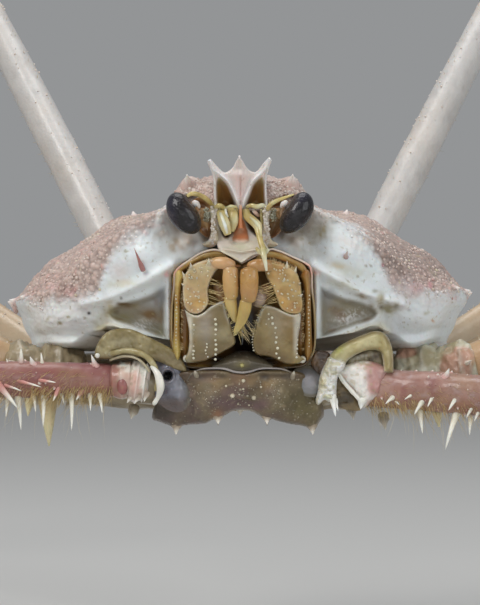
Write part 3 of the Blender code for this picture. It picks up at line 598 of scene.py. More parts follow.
def shell_relief(x, y):
    ax = np.abs(x)
    z = GASTRIC * hump(ax, y, 3.4, 10.0, 3.4, 6.0)
    z = z + 0.4 * hump(ax, y, 0.0, 19.0, 3.5, 4.5)
    z = z + 0.9 * hump(ax, y, 0.0, 33.0, 4.5, 4.5)
    z = z + 0.45 * hump(ax, y, 14.5, 21.0, 6.0, 7.0)
    z = z + 0.6 * hump(ax, y, 12.5, 34.0, 6.0, 7.0)
    z = z - 1.5 * hump(ax, y, 8.6, 14.0, 2.0, 6.5)
    z = z - 1.2 * hump(ax, y, 6.3, 26.0, 2.2, 5.0)
    z = z - 0.9 * hump(ax, y, 0.0, 26.5, 3.5, 1.6)
    z = z - 0.8 * hump(ax, y, 6.0, 38.0, 2.2, 5.0)
    z = z - 0.7 * hump(ax, y, 0.0, 4.5, 1.2, 4.0)
    # low saddle between the middle of the back and each swollen side
    z = z - 1.35 * np.exp(-((ax - 10.2) / 3.0) ** 2) * smooth(2.0, 8.0, y) * smooth(44.0, 36.0, y)
    return z


# Lines of the cheek and flank in the picture, as (distance from the middle line, height).
RIDGE = ((70, 266), (80, 271.5), (92, 278), (108, 286), (124, 293.5), (138, 299), (160, 304))
PLATE_RIM = ((73, 344), (84, 341.5), (96, 338), (108, 333.5), (119, 329), (128, 326), (136, 325.5), (144, 331.5), (151, 345), (154, 352))
MOUTH_RIM = ((74, 276), (74.5, 300), (74, 344))
PLATE = np.array([(76, 283), (88, 291), (105, 297.5), (121, 301), (135, 307), (138, 314), (133, 320), (126, 323.5), (115, 327), (104, 331), (90, 336), (76, 341)], float)
MOUTH = np.array([(0, 264), (24, 252), (38, 252), (50, 258), (62, 264), (69.5, 273), (71, 300), (71.5, 345), (66, 360), (55, 368), (0, 370)], float)


def front_relief(px, y):
    """How far the shell's front stands towards the viewer, mm, by place in the picture."""
    u = np.abs(px - 242.5)
    right = smooth(-1, 1, px - 242.5)
    d, along, _, _ = line_distance(u, y, RIDGE)
    out = 1.1 * np.exp(-(d / (6.5 - 2.0 * along)) ** 2)
    dd, _, _, _ = line_distance(u, y, PLATE, closed=True)
    ins = inside(u, y, PLATE)
    out = out - 1.35 * np.where(ins, smooth(0, 8, dd), 0.0)
    out = out + 0.35 * np.where(ins, np.exp(-(((u - 98) / 10) ** 2 + ((y - 322) / 4) ** 2)), 0.0)
    d2, _, _, _ = line_distance(u, y, PLATE_RIM)
    out = out + 0.75 * np.exp(-(d2 / 2.3) ** 2)
    d3, _, _, _ = line_distance(u, y, MOUTH_RIM)
    out = out + 0.6 * np.exp(-(d3 / 2.8) ** 2)
    out = out + 1.3 * np.exp(-(((u - 97) / 24) ** 2 + ((y - 256) / 20) ** 2))           # cheek
    out = out - 0.9 * np.exp(-(((u - 141) / 6) ** 2 + ((y - 313) / 13) ** 2))           # notch behind the plate
    out = out + 0.35 * noise(at(px, y, 0 * px), 0.7, 302) * np.exp(-(((u - 140) / 9) ** 2 + ((y - 311) / 13) ** 2))
    out = out - 1.6 * np.exp(-(((u - 58) / 16) ** 2 + ((y - 222) / 17) ** 2))           # eye socket
    out = out - 2.4 * np.exp(-(((u - 34) / 9) ** 2 + ((y - 218) / 20) ** 2))            # hollow beside the feelers
    out = out + 0.9 * np.exp(-(((u - 54.5) / 6.5) ** 2 + ((y - 240) / 5.5) ** 2))       # knob under the eye
    dl, _, _, _ = line_distance(u, y, ((29, 243), (44, 249), (60, 246), (74, 237), (84, 226), (80, 214)))
    out = out + 0.28 * np.exp(-(dl / 5.0) ** 2)                                          # lower edge of the socket
    out = out + 0.4 * np.exp(-(((y - 317 - (u - 150) * 0.04) / 8) ** 2)) * smooth(150, 165, u) * smooth(226, 200, u)
    lip = 343 - 6 * right * smooth(170, 200, u)
    out = out - 0.55 * np.exp(-(((y - lip + 9) / 3.6) ** 2)) * smooth(152, 168, u) * smooth(226, 210, u)
    out = out + 0.65 * np.exp(-(((y - lip) / 3.4) ** 2)) * smooth(150, 160, u) * smooth(226, 210, u)
    out = out - 3.2 * smooth(lip + 4, lip + 9, y) * smooth(150, 156, u)
    arch = smooth(2.0, 6.0, y - np.interp(u, [73, 84, 96, 108, 119, 128, 136, 144, 151, 154], [344, 341.5, 338, 333.5, 329, 326, 325.5, 331.5, 345, 352])) * smooth(70, 74, u) * smooth(153, 149, u)
    out = out - 2.6 * arch
    dm, _, _, _ = line_distance(u, y, MOUTH, closed=True)
    out = out - 6.0 * np.where(inside(u, y, MOUTH), smooth(0.0, 3.0, dm), 0.0)
    # hollow behind the feelers, so that the forehead and its plate stand in front
    hid = smooth(32, 28, np.abs(px - 240.5)) * smooth(176, 182, y)
    return out * (1 - 0.0 * hid) - 2.5 * hid * smooth(262, 254, y)


def shell_points(azimuth, level, detail=True):
    azimuth, level = np.broadcast_arrays(np.asarray(azimuth, float), np.asarray(level, float))
    a = np.abs((azimuth + 180.0) % 360.0 - 180.0)
    turn = np.radians(azimuth)
    dx, dy = np.sin(turn), -np.cos(turn)
    rim, rim_z = station(a, MARGIN_RADIUS), station(a, MARGIN_HEIGHT)
    rim_z = rim_z + 1.1 * smooth(0.0, 0.7, dx) * smooth(50, 72, a) * smooth(150, 110, a)
    low, low_z = station(a, SKIRT_RADIUS), station(a, SKIRT_HEIGHT)
    lv = np.clip(level, 0, 1)
    s = np.sin(lv * np.pi / 2) ** 0.9
    r = rim * s
    full = 0.95 * np.exp(-((s - 0.86) / 0.085) ** 2) * smooth(55, 75, a) * smooth(150, 110, a)
    z = full + rim_z + (DOME_TOP - rim_z) * (1.0 - s ** station(a, DOME_POWER))
    z = z + shell_relief(CENTRE[0] + dx * r, CENTRE[1] + dy * r) * np.maximum(0.0, 1.0 - s ** 8)
    t = np.clip(level - 1, 0, 1)
    r1 = rim + (low - rim) * (t ** 1.6) + 0.5 * np.sin(np.pi * t)
    z1 = rim_z + (low_z - rim_z) * t
    t2 = np.clip(level - 2, 0, 1)
    r2 = low * (1 - t2)
    z2 = low_z + (-5.6 - low_z) * (1 - (1 - t2) ** 2)
    r = np.where(level <= 1, r, np.where(level <= 2, r1, r2))
    z = np.where(level <= 1, z, np.where(level <= 2, z1, z2))
    P = np.stack([CENTRE[0] + dx * r, CENTRE[1] + dy * r, z], -1)
    if detail:
        px, py = seen(P)
        w = smooth(0.72, 0.92, level) * smooth(2.12, 2.0, level) * smooth(95, 70, a)
        push = front_relief(px, py) * w
        P = at(px, py, P[..., 1] - push)
    return P


def shell_normals(azimuth, level, detail=True, e=0.4):
    p = shell_points(azimuth + e, level, detail) - shell_points(azimuth - e, level, detail)
    q = shell_points(azimuth, level + 0.006, detail) - shell_points(azimuth, level - 0.006, detail)
    n = unit(np.cross(p, q))
    c = shell_points(azimuth, level, detail) - A(0, 26, 3)
    return n * np.sign(np.sum(n * c, -1, keepdims=True) + 1e-9)


def shell_top(x, y):
    dx, dy = x - CENTRE[0], y - CENTRE[1]
    az = np.degrees(np.arctan2(dx, -dy))
    s = np.minimum(1.0, np.hypot(dx, dy) / station(np.abs(az), MARGIN_RADIUS))
    return shell_points(az, np.arcsin(s ** (1 / 0.9)) * 2 / np.pi, False)[..., 2]


# colours, linear
PINK_BEIGE = A(0.52, 0.39, 0.345)
PINK_PALE = A(0.62, 0.49, 0.44)
WHITE = A(0.80, 0.86, 0.88)
CREAM = A(0.76, 0.70, 0.54)
OLIVE_GREY = A(0.27, 0.245, 0.165)
DIRT = A(0.33, 0.27, 0.12)
BROWN = A(0.20, 0.11, 0.04)
OCHRE = A(0.60, 0.40, 0.16)
GOLD = A(0.66, 0.47, 0.22)
PINK = A(0.62, 0.28, 0.24)
SALMON = A(0.66, 0.38, 0.28)
BONE = A(0.78, 0.74, 0.62)
YELLOW = A(0.66, 0.56, 0.26)

BORDER = ((0, 205), (66, 200), (78, 212), (88, 224), (98, 230), (107, 234), (116, 241), (124, 250), (131, 259), (136, 269), (140, 284), (143, 294), (155, 298), (168, 301), (191, 304), (205, 302), (214, 293), (222, 285), (240, 280))
BORDER_RIGHT = ((0, 205), (66, 202), (80, 210), (90, 216), (104, 223), (118, 231), (131, 246), (138, 258), (145, 273), (151, 285), (165, 290), (186, 293), (205, 294), (215, 290), (225, 282), (240, 275))


def border_height(px):
    u = np.abs(px - 240.5)
    b, c = np.array(BORDER, float), np.array(BORDER_RIGHT, float)
    return np.where(px < 240.5, np.interp(u, b[:, 0], b[:, 1]), np.interp(u, c[:, 0], c[:, 1]))


def shell_white(P, azimuth, level):
    """How white and smooth the shell is, from 0 on the granular back to 1 on the flank."""
    px, py = seen(P)
    a = np.abs((azimuth + 180) % 360 - 180)
    edge = 6.0 * noise(P, 1.9, 3) + 5.0 * noise(P, 0.8, 4)
    front = smooth(-12, 10, py - border_height(px) + edge)
    front = front * (1 - smooth(1.0, 0.93, level) * smooth(9.0, 15.0, P[..., 1] + noise(P, 1.5, 7)))
    side = smooth(0.985, 1.05, level + 0.02 * noise(P, 1.5, 9))
    w = smooth(88, 62, a)
    return front * w + side * (1 - w)


def spot(x, y, cx, cy, rx, ry, turn=0.0):
    c, s = math.cos(math.radians(turn)), math.sin(math.radians(turn))
    dx, dy = x - cx, y - cy
    return np.exp(-(((dx * c + dy * s) / rx) ** 2 + ((dy * c - dx * s) / ry) ** 2))


# Stains of the two sides, with painted shade under and beside the eyes among them: place, size and turn in the picture,
# colour, strength.
STAINS_AND_SHADE = (
    (125, 304.5, 11, 2.4, 6, (0.15, 0.085, 0.025), 1.0), (136, 306, 5, 3.0, 0, (0.30, 0.25, 0.12), 0.6), (151, 315, 10, 6, 20, (0.21, 0.115, 0.03), 0.95), (142, 326, 10, 4, -10, (0.46, 0.46, 0.42), 0.8),
    (122, 318, 10, 5, 0, (0.30, 0.27, 0.13), 0.7), (116, 312, 3.2, 2.4, 0, (0.17, 0.14, 0.08), 0.7), (160, 332, 8, 5, 15, (0.30, 0.29, 0.19), 0.7), (160, 298, 6, 9, 0, (0.34, 0.35, 0.38), 0.7),
    (150, 304, 10, 4, -15, (0.48, 0.50, 0.53), 0.6), (109, 308, 4.5, 7, 0, (0.56, 0.50, 0.28), 0.75), (105, 318, 5, 7, 0, (0.50, 0.45, 0.27), 0.7), (101, 328, 6, 4, 0, (0.62, 0.55, 0.32), 0.6),
    (121, 298, 1.1, 1.2, 0, (0.02, 0.02, 0.02), 1.0), (89, 313, 1.6, 1.7, 0, (0.02, 0.02, 0.02), 1.0), (60, 323, 2.4, 1.6, 40, (0.34, 0.28, 0.12), 0.9), (47, 319, 3.2, 1.5, -45, (0.42, 0.38, 0.20), 0.8),
    (68, 317, 1.8, 1.2, 0, (0.42, 0.38, 0.18), 0.8), (76, 321, 1.6, 1.3, 0, (0.45, 0.44, 0.40), 0.7), (95, 322, 5, 3, 0, (0.50, 0.48, 0.38), 0.5), (118, 280.5, 0.9, 0.9, 0, (0.10, 0.07, 0.05), 0.9),
    (122, 284, 16, 5, -4, (0.68, 0.64, 0.46), 0.6), (120, 272, 10, 9, 0, (0.72, 0.62, 0.58), 0.5), (107, 268, 2.4, 3.0, 0, (0.60, 0.55, 0.70), 0.5), (150, 226, 14, 2.6, -6, (0.46, 0.30, 0.26), 0.8),
    (144, 232, 3.4, 2.2, 30, (0.72, 0.38, 0.36), 0.8), (172, 247, 6, 4, 60, (0.44, 0.34, 0.22), 0.7), (176, 241, 5, 4, 0, (0.34, 0.24, 0.12), 0.6), (167, 274, 2.6, 2.6, 0, (0.72, 0.30, 0.28), 0.9),
    (70, 291, 6, 5, 0, (0.74, 0.46, 0.44), 0.75), (53, 287, 3, 4, 0, (0.74, 0.48, 0.46), 0.7), (30, 300, 5, 4, 0, (0.70, 0.56, 0.52), 0.6), (36, 349, 8, 3, 0, (0.34, 0.29, 0.15), 0.8),
    (60, 346, 12, 3.0, 0, (0.52, 0.52, 0.42), 0.5), (112, 336, 8, 2, 0, (0.62, 0.60, 0.46), 0.4),
    (380, 300, 3.6, 8, 10, (0.40, 0.36, 0.20), 0.85), (388, 309, 8, 6, 0, (0.36, 0.31, 0.15), 0.85), (396, 306, 3, 4, 0, (0.27, 0.24, 0.14), 0.8), (381, 307, 2, 2, 0, (0.20, 0.16, 0.09), 0.9),
    (372, 305, 2.4, 3, 40, (0.26, 0.20, 0.10), 0.8), (375, 291, 3, 2, 0, (0.38, 0.37, 0.30), 0.8), (343, 285, 14, 4, 14, (0.60, 0.60, 0.46), 0.55), (350, 272, 18, 6, 8, (0.66, 0.66, 0.54), 0.55),
    (338, 266, 8, 2.4, 5, (0.62, 0.52, 0.34), 0.7), (352, 320, 14, 3, -18, (0.48, 0.47, 0.44), 0.8), (335, 324, 8, 4, -30, (0.52, 0.52, 0.50), 0.6), (352, 305, 14, 6, -4, (0.31, 0.28, 0.20), 0.75),
    (330, 296, 8, 9, 0, (0.34, 0.34, 0.34), 0.6), (327, 314, 4, 8, 0, (0.27, 0.25, 0.20), 0.6), (362, 296, 9, 2.2, 14, (0.24, 0.15, 0.05), 0.9), (334, 309, 5, 3, 0, (0.20, 0.13, 0.07), 0.7), (337, 301, 5, 2.5, 0, (0.42, 0.36, 0.24), 0.6),
    (366, 266, 1.2, 1.2, 0, (0.30, 0.27, 0.22), 0.9), (371, 266, 1.1, 1.1, 0, (0.30, 0.27, 0.22), 0.9), (383, 265, 1.3, 1.3, 0, (0.62, 0.28, 0.34), 0.9), (409, 310, 2.0, 1.6, 0, (0.46, 0.45, 0.46), 0.8),
    (427, 313, 3, 1.6, -30, (0.44, 0.42, 0.26), 0.9), (434, 321, 2.4, 1.2, 35, (0.62, 0.36, 0.20), 1.0), (415, 288, 9, 5, 0, (0.74, 0.48, 0.48), 0.7), (430, 285, 2.2, 4, 0, (0.70, 0.30, 0.34), 0.8),
    (456, 298, 1.8, 3.4, 20, (0.66, 0.38, 0.36), 0.7), (400, 281, 12, 5, 0, (0.74, 0.58, 0.56), 0.6), (347, 225, 3, 12, 20, (0.58, 0.60, 0.64), 0.4), (350, 243, 18, 8, 20, (0.74, 0.68, 0.62), 0.5),
    (188, 239, 8, 5.5, 0, (0.47, 0.40, 0.32), 0.75), (206, 240, 6, 4, -40, (0.34, 0.24, 0.13), 0.7), (181, 247, 5, 3, 30, (0.50, 0.40, 0.30), 0.6), (292, 238, 8, 5, 0, (0.50, 0.44, 0.36), 0.7),
    (316, 240, 14, 4, -35, (0.36, 0.33, 0.26), 0.6), (160, 236, 7, 5, -20, (0.50, 0.42, 0.36), 0.5), (316, 272, 4, 3, 30, (0.76, 0.46, 0.40), 0.8), (303, 237, 8, 6, 0, (0.36, 0.34, 0.28), 0.5), (322, 232, 8, 6, 30, (0.30, 0.28, 0.20), 0.7), (335, 222, 4, 1.6, 0, (0.16, 0.18, 0.16), 0.6),
)


def shell_paint(P, azimuth, level):
    px, py = seen(P)
    u = np.abs(px - 240.5)
    m = np.abs(px - 242.5)
    a = np.abs((azimuth + 180) % 360 - 180)
    front = smooth(80, 60, a) * smooth(0.6, 0.8, level) * (level < 2.15)
    white = shell_white(P, azimuth, level)
    c = blend(np.broadcast_to(PINK_BEIGE, P.shape).copy(), PINK_PALE, 0.5 + 0.5 * fbm(P, 3.0, 5))
    c = blend(c, A(0.50, 0.33, 0.29), 0.5 * smooth(0.0, 0.6, fbm(P, 5.0, 21)))
    c = blend(c, A(0.56, 0.50, 0.36), 0.35 * smooth(0.2, 0.7, fbm(P, 2.4, 22)))
    c = blend(c, WHITE, white)
    # pink and cream mottling fades into the white flank
    flush = np.exp(-((py - border_height(px) - 3) / 10.0) ** 2) * front * smooth(138, 160, u)
    c = blend(c, A(0.72, 0.52, 0.48), 0.3 * flush * smooth(-0.5, 0.6, noise(P, 1.4, 12)))
    c = blend(c, A(0.72, 0.66, 0.56), 0.2 * front * white * smooth(0.15, 0.7, fbm(P, 1.6, 13)) * np.exp(-((py - border_height(px)) / 22.0) ** 2))
    c = blend(c, A(0.95, 0.99, 0.98), 0.85 * front * white * smooth(158, 130, px) * smooth(296, 306, py))
    # translucent grey plate beside the mouth; its grey is partly painted shade of the hollow it lies in, and it is
    # paler towards the top
    dd, _, _, _ = line_distance(m, py, PLATE, closed=True)
    ins = inside(m, py, PLATE) & (a < 60) & (level > 0.9) & (level < 2.1)
    k = np.where(ins, smooth(0, 5, dd), 0.0)
    plate = blend(np.broadcast_to(A(0.235, 0.20, 0.13), P.shape).copy(), A(0.34, 0.31, 0.24), 0.5 + 0.5 * fbm(P, 1.1, 31))
    plate = blend(plate, A(0.36, 0.36, 0.38), smooth(308, 290, py) * 0.5)
    plate = blend(plate, A(0.20, 0.105, 0.04), 0.7 * smooth(0.1, 0.6, noise(P, 1.0, 33)))
    c = c + (plate - c) * (k * 0.95)[..., None]
    # frosty pale patches on the plates, with painted glints in them
    frost_and_glint = np.where(ins, 1.0, 0.0) * smooth(0.1, 0.35, noise(P, 0.16, 32)) * (spot(px, py, 142, 326, 11, 5, -10) + spot(px, py, 350, 317, 15, 6, -20))
    # grey shadowed skin of the eye socket
    sock = spot(m, py, 60, 222, 15, 17) * front
    c = blend(c, A(0.34, 0.29, 0.24), 0.85 * np.clip(sock * 1.4, 0, 1))
    c = blend(c, A(0.22, 0.11, 0.045), 0.9 * np.clip(spot(m, py, 36, 219, 9, 19) * 1.4, 0, 1) * front)
    c = blend(c, A(0.50, 0.40, 0.34), 0.6 * spot(m, py, 55, 241, 6, 5) * front)
    # painted shade beside the eyes
    c = blend(c, A(0.26, 0.23, 0.185), 0.62 * (spot(px, py, 322, 227, 17, 8, -38) + 0.6 * spot(px, py, 160, 233, 13, 6, 25)))
    c = blend(c, A(0.36, 0.31, 0.17), 0.45 * spot(px, py, 337, 264, 8, 4, 10))
    # olive under the flank's lower edge, as painted shade
    low = smooth(345, 352, py) * front * smooth(150, 158, u)
    c = blend(c, A(0.36, 0.30, 0.15), 0.9 * low)
    c = blend(c, CREAM, 0.6 * np.exp(-(line_distance(m, py, PLATE_RIM)[0] / 3.4) ** 2) * front)
    c = blend(c, A(0.66, 0.60, 0.40), 0.45 * spot(m, py, 140, 328, 7, 9) * front)
    c = blend(c, A(0.86, 0.91, 0.93), 0.75 * np.exp(-(line_distance(m, py, RIDGE)[0] / 5.0) ** 2) * front)
    c = blend(c, A(0.82, 0.85, 0.85), 0.85 * np.exp(-(line_distance(m, py, MOUTH_RIM)[0] / 2.8) ** 2) * front)
    # stains, and painted shade under and beside the eyes
    for cx, cy, rx, ry, turn, colour, k in STAINS_AND_SHADE:
        edge = 0.5 + 0.5 * smooth(-0.5, 0.3, noise(P, 0.45, 61))
        c = blend(c, colour, k * np.clip(1.25 * spot(px, py, cx, cy, rx, ry, turn) * edge, 0, 1) * front)
    # the frosty patches and their painted glints
    c = blend(c, A(0.80, 0.80, 0.80), np.clip(frost_and_glint, 0, 1) * 0.8)
    # the hollow under the plate's rim is olive
    arch = smooth(2.0, 5.0, py - np.interp(m, [73, 84, 96, 108, 119, 128, 136, 144, 151, 154], [344, 341.5, 338, 333.5, 329, 326, 325.5, 331.5, 345, 352])) * smooth(70, 74, m) * smooth(153, 149, m) * front
    c = blend(c, A(0.24, 0.185, 0.07), 0.9 * arch)
    # scattered olive specks and pores
    sp = smooth(0.60, 0.75, noise(P, 0.45, 50)) * smooth(0.1, 0.5, noise(P, 3.0, 51)) * white
    c = blend(c, DIRT, 0.6 * sp * (level < 2))
    c = blend(c, A(0.55, 0.50, 0.42), smooth(2.0, 2.1, level))
    return c


def build_carapace():
    bag = Bag()
    # azimuths are closer together at the front, where the face is
    k = np.linspace(-1, 1, 641)[:-1]
    az = 180 * (0.45 * k + 0.55 * k ** 3)
    lv = np.concatenate([np.linspace(0.012, 0.7, 60), np.linspace(0.71, 1.0, 52), np.linspace(1.01, 2.0, 88), np.linspace(2.02, 2.9, 16)])
    AZ, LV = np.meshgrid(az, lv)
    P = shell_points(AZ, LV)
    N = shell_normals(AZ, LV)
    white = shell_white(P, AZ, LV)
    gran = (1 - white) * (LV < 1.8)
    far, tag = cells(P, 0.60, 600)
    knob = np.clip(1 - (far / 0.62) ** 2, 0, 1)
    C = shell_paint(P, AZ, LV)
    # each cell gets its own random tone, times painted shade between the granules and painted highlight on their tops
    tone = (0.76 + 0.36 * knob) * (0.88 + 0.26 * tag)
    C = C * (1 + gran * (tone - 1))[..., None]
    C = blend(C, A(0.60, 0.27, 0.25), 0.5 * gran * knob * (tag > 0.95))
    px, py = seen(P)
    C = C * (1 - gran * (0.24 * spot(px, py, 378, 246, 50, 26) + 0.24 * spot(px, py, 424, 268, 40, 24) + 0.12 * spot(px, py, 240, 192, 70, 14)))[..., None] * (1 - 0.2 * spot(px, py, 134, 231, 24, 13))[..., None]
    near = white * (LV < 2) * smooth(34, 8, np.abs(py - border_height(px) - 6)) * (P[..., 1] < 22)
    P = P + N * (0.09 * knob * near)[..., None]
    P = P + N * (gran * (0.13 * noise(P, 1.3, 60) + 0.22 * knob))[..., None] + N * ((0.05 * noise(P, 1.6, 62) + 0.035 * noise(P, 0.6, 63) + 0.02 * noise(P, 0.3, 64)) * white)[..., None]
    # lower sides drawn in under the side spines
    px, py = seen(P)
    tuck = smooth(299, 319, py) * smooth(354, 336, py) * smooth(20.5, 25.5, np.abs(P[..., 0]))
    P[..., 0] -= np.sign(P[..., 0]) * 0.95 * tuck
    bag.grid(P, C, wrap=True, caps=True)
    return bag


def scatter_shell(count, seed, lo=0.02, hi=1.3):
    """Places spread evenly over the shell: azimuth and level."""
    rng = np.random.default_rng(seed)
    az = rng.uniform(-180, 180, count)
    s = np.sqrt(rng.uniform(0, 1, count))
    lv = np.arcsin(np.clip(s, 0, 1) ** (1 / 0.9)) * 2 / np.pi
    over = rng.uniform(0, 1, count) < (hi - 1) * 0.5 if hi > 1 else np.zeros(count, bool)
    lv = np.where(over, rng.uniform(1.0, hi, count), np.clip(lv, lo, 1.0))
    return az, lv


def thin(P, gap, seed=3):
    """Keeps places at least about gap apart, by keeping one for each cell of a fine lattice."""
    keep = []
    taken = {}
    cells = np.floor(P / gap).astype(int)
    for i, c in enumerate(map(tuple, cells)):
        ok = True
        for dx in (-1, 0, 1):
            for dy in (-1, 0, 1):
                for dz in (-1, 0, 1):
                    j = taken.get((c[0] + dx, c[1] + dy, c[2] + dz))
                    if j is not None and np.sum((P[i] - P[j]) ** 2) < gap * gap:
                        ok = False
                        break
                if not ok:
                    break
            if not ok:
                break
        if ok:
            taken[c] = i
            keep.append(i)
    return np.array(keep, int)


def build_granules():
    bag = Bag()
    az, lv = scatter_shell(66000, 11, hi=1.7)
    P = shell_points(az, lv)
    white = shell_white(P, az, lv)
    keep = np.where((white < 0.85) & (RNG.uniform(0, 1, len(P)) > white * 1.05))[0]
    az, lv, P = az[keep], lv[keep], P[keep]
    k = thin(P, 0.45)
    az, lv, P = az[k], lv[k], P[k]
    N = shell_normals(az, lv)
    rng = np.random.default_rng(5)
    size = rng.uniform(0.15, 0.26, len(P)) * (1 + 0.2 * noise(P, 4.0, 70))
    big = rng.uniform(0, 1, len(P)) < 0.02
    size = np.where(big, size * 1.5, size)
    base = shell_paint(P, az, lv)
    tip = blend(base * 1.06, A(0.76, 0.65, 0.57), rng.uniform(0.0, 0.5, len(P)))
    tip = np.where((rng.uniform(0, 1, len(P)) < 0.02)[:, None], A(0.56, 0.34, 0.31), tip)
    tip = np.where((rng.uniform(0, 1, len(P)) < 0.03)[:, None], A(0.66, 0.58, 0.42), tip)
    lean = unit(N + A(0, -0.25, 0.15))
    bumps(bag, P, lean, size, size * rng.uniform(0.45, 0.8, len(P)), tip, DOME_SMALL)
    return bag


def shell_spines():
    found = []
    for s in (1, -1):
        for az, length in ((68, 0.5), (79, 0.7), (90, 1.3), (103, 0.8), (117, 0.8), (132, 0.8), (148, 0.8)):
            base = shell_points(s * az, 1.0)
            out = unit(A(base[0], base[1] - 26.0, 0))
            found.append((base - out * 0.15, base + unit(out + A(0, 0, 0.35)) * length * (0.75 if az == 90 else 1.0), 0.85 if az == 90 else 0.5))
        for x, y, length in ((6.0, 18.5, 0.3), (12.2, 19.5, 0.45), (17.5, 24.5, 0.4), (15.2, 28.5, 0.6),
                             (20.4, 30.0, 0.5), (11.8, 35.5, 0.9), (17.2, 36.5, 0.8), (6.4, 42.5, 0.9)):
            foot = A(s * x, y, float(shell_top(A(s * x), A(y))[0]) - 0.1)
            found.append((foot, foot + unit(A(s * 0.25, -0.15, 1.0)) * (length + 0.2), 0.5))
    for y, length in ((20.0, 0.3), (33.5, 0.9), (43.0, 0.9)):
        foot = A(0.0, y, float(shell_top(A(0.0), A(y))[0]) - 0.1)
        found.append((foot, foot + unit(A(0, -0.12, 1.0)) * (length + 0.2), 0.55))
    return found


# ------------------------------------------------------------------ the forehead with its three spines
def build_rostrum():
    bag = Bag()
    poly = outline([(239.4, 156.2), (243.0, 161), (246.4, 167), (252.5, 171.8), (257.5, 170.6), (262.8, 163.6), (269.0, 157.0), (271.8, 160.2),
                    (269.4, 167), (267.4, 174.5), (266.6, 183), (267.0, 196), (268.2, 207.5), (262, 211), (250, 211), (240.5, 213), (231, 211),
                    (220, 211), (214.4, 207.5), (213.6, 196), (213.2, 183), (212.2, 174.5), (209.4, 167), (207.3, 161.2), (210.8, 158.9),
                    (216.4, 165.4), (222.6, 171.4), (226.8, 172.0), (232.8, 167.2), (236, 161)], sharp=(0, 6, 24, 12, 18), steps=7)
    lip_l = np.array([(209.6, 160.5), (213.2, 170), (219.5, 174.2), (227.5, 181), (232.5, 190), (236.4, 200), (239.2, 208)], float)
    lip_r = np.array([(270.0, 158.8), (266.0, 168.8), (260.4, 174.2), (252.6, 181), (248.6, 190), (245.0, 200), (242.0, 208)], float)
    out_l = np.array([(209.6, 160.5), (212.6, 172), (214.4, 182), (214.8, 196), (215.8, 207)], float)
    out_r = np.array([(270.0, 158.8), (267.6, 172), (266.0, 182), (266.0, 196), (267.0, 207)], float)
    hol_l = outline([(217.2, 176.4), (221, 177.2), (227.6, 184.6), (231.6, 193.4), (235.4, 202.6), (236.4, 209), (216.4, 209), (215.8, 196), (215.6, 184)], sharp=(0, 5, 6), steps=5)
    hol_r = outline([(263.4, 176.4), (259.4, 177.2), (252.8, 184.6), (249.6, 193.4), (246.0, 202.6), (244.8, 209), (265.4, 209), (265.0, 196), (264.6, 184)], sharp=(0, 5, 6), steps=5)

    def parts(x, y):
        hl, hr = inside(x, y, hol_l), inside(x, y, hol_r)
        dl = line_distance(x, y, hol_l, True)[0]
        dr = line_distance(x, y, hol_r, True)[0]
        return np.where(hl, dl, 0) + np.where(hr, dr, 0)

    def depth(x, y, d):
        # the forehead leans forward as it rises: tips are nearest to the viewer
        t = np.clip((207 - y) / 50, -0.2, 1)
        base = 0.9 - 3.2 * t - 1.6 * t ** 3
        lips = np.minimum(np.minimum(line_distance(x, y, lip_l)[0], line_distance(x, y, lip_r)[0]), np.minimum(line_distance(x, y, out_l)[0], line_distance(x, y, out_r)[0]))
        out = base - 0.75 * np.exp(-(lips / 1.7) ** 2)
        h = parts(x, y)
        out = out + 2.4 * (1 - np.exp(-(h / 3.4) ** 1.2)) * smooth(174, 186, y)
        # middle plate: slightly swollen, with a furrow
        mid = np.exp(-((x - 240.4) / 4.2) ** 2) * smooth(206, 196, y)
        out = out - 0.55 * mid + 0.35 * np.exp(-((x - 240.4) / 0.9) ** 2) * smooth(174, 180, y) * smooth(200, 192, y)
        # the middle spine is set back a little behind the horns
        out = out + 0.8 * smooth(176, 168, y) * np.exp(-((x - 239.8) / 12) ** 2)
        out = out + 1.0 * (1 - np.sqrt(np.clip(1 - (1 - np.clip(d / 1.6, 0, 1)) ** 2, 0, 1)))
        return out

    def colour(P, x, y, d):
        c = np.broadcast_to(A(0.80, 0.72, 0.68), P.shape).copy()
        c = blend(c, A(0.76, 0.50, 0.47), 0.75 * np.exp(-((x - 240) / 8) ** 2) * smooth(166, 176, y) * (0.6 + 0.4 * noise(P, 0.8, 3)))
        c = blend(c, A(0.72, 0.62, 0.58), 0.5 * smooth(180, 172, y) * np.exp(-((x - 240) / 11) ** 2))
        lips = np.minimum(np.minimum(line_distance(x, y, lip_l)[0], line_distance(x, y, lip_r)[0]), np.minimum(line_distance(x, y, out_l)[0], line_distance(x, y, out_r)[0]))
        c = blend(c, A(0.90, 0.88, 0.88), np.exp(-(lips / 3.0) ** 2))
        h = parts(x, y)
        k = smooth(0.2, 2.2, h)
        # the hollows under the horns: brown, partly their own colour and partly painted shade, darkest in the lower
        # inner corners
        inner = np.broadcast_to(A(0.42, 0.23, 0.08), P.shape).copy()
        inner = blend(inner, A(0.50, 0.33, 0.09), smooth(7.0, 1.5, np.minimum(np.abs(x - 215.4), np.abs(x - 265.4))) * 0.9)
        inner = blend(inner, A(0.09, 0.05, 0.03), smooth(192, 206, y) * smooth(9, 3, np.minimum(np.abs(x - 236), np.abs(x - 245))) * 0.85)
        inner = blend(inner, A(0.56, 0.54, 0.36), smooth(190, 177, y) * 0.6)
        c = c + (inner - c) * k[..., None]
        return c

    relief(bag, poly, depth, colour, step=0.4, back=lambda x, y, d: np.where(y > 172, 4.6, 4.6 - (172 - y) * 0.52) - 1.2 * (1 - np.clip(d / 3, 0, 1)) * (y < 176))
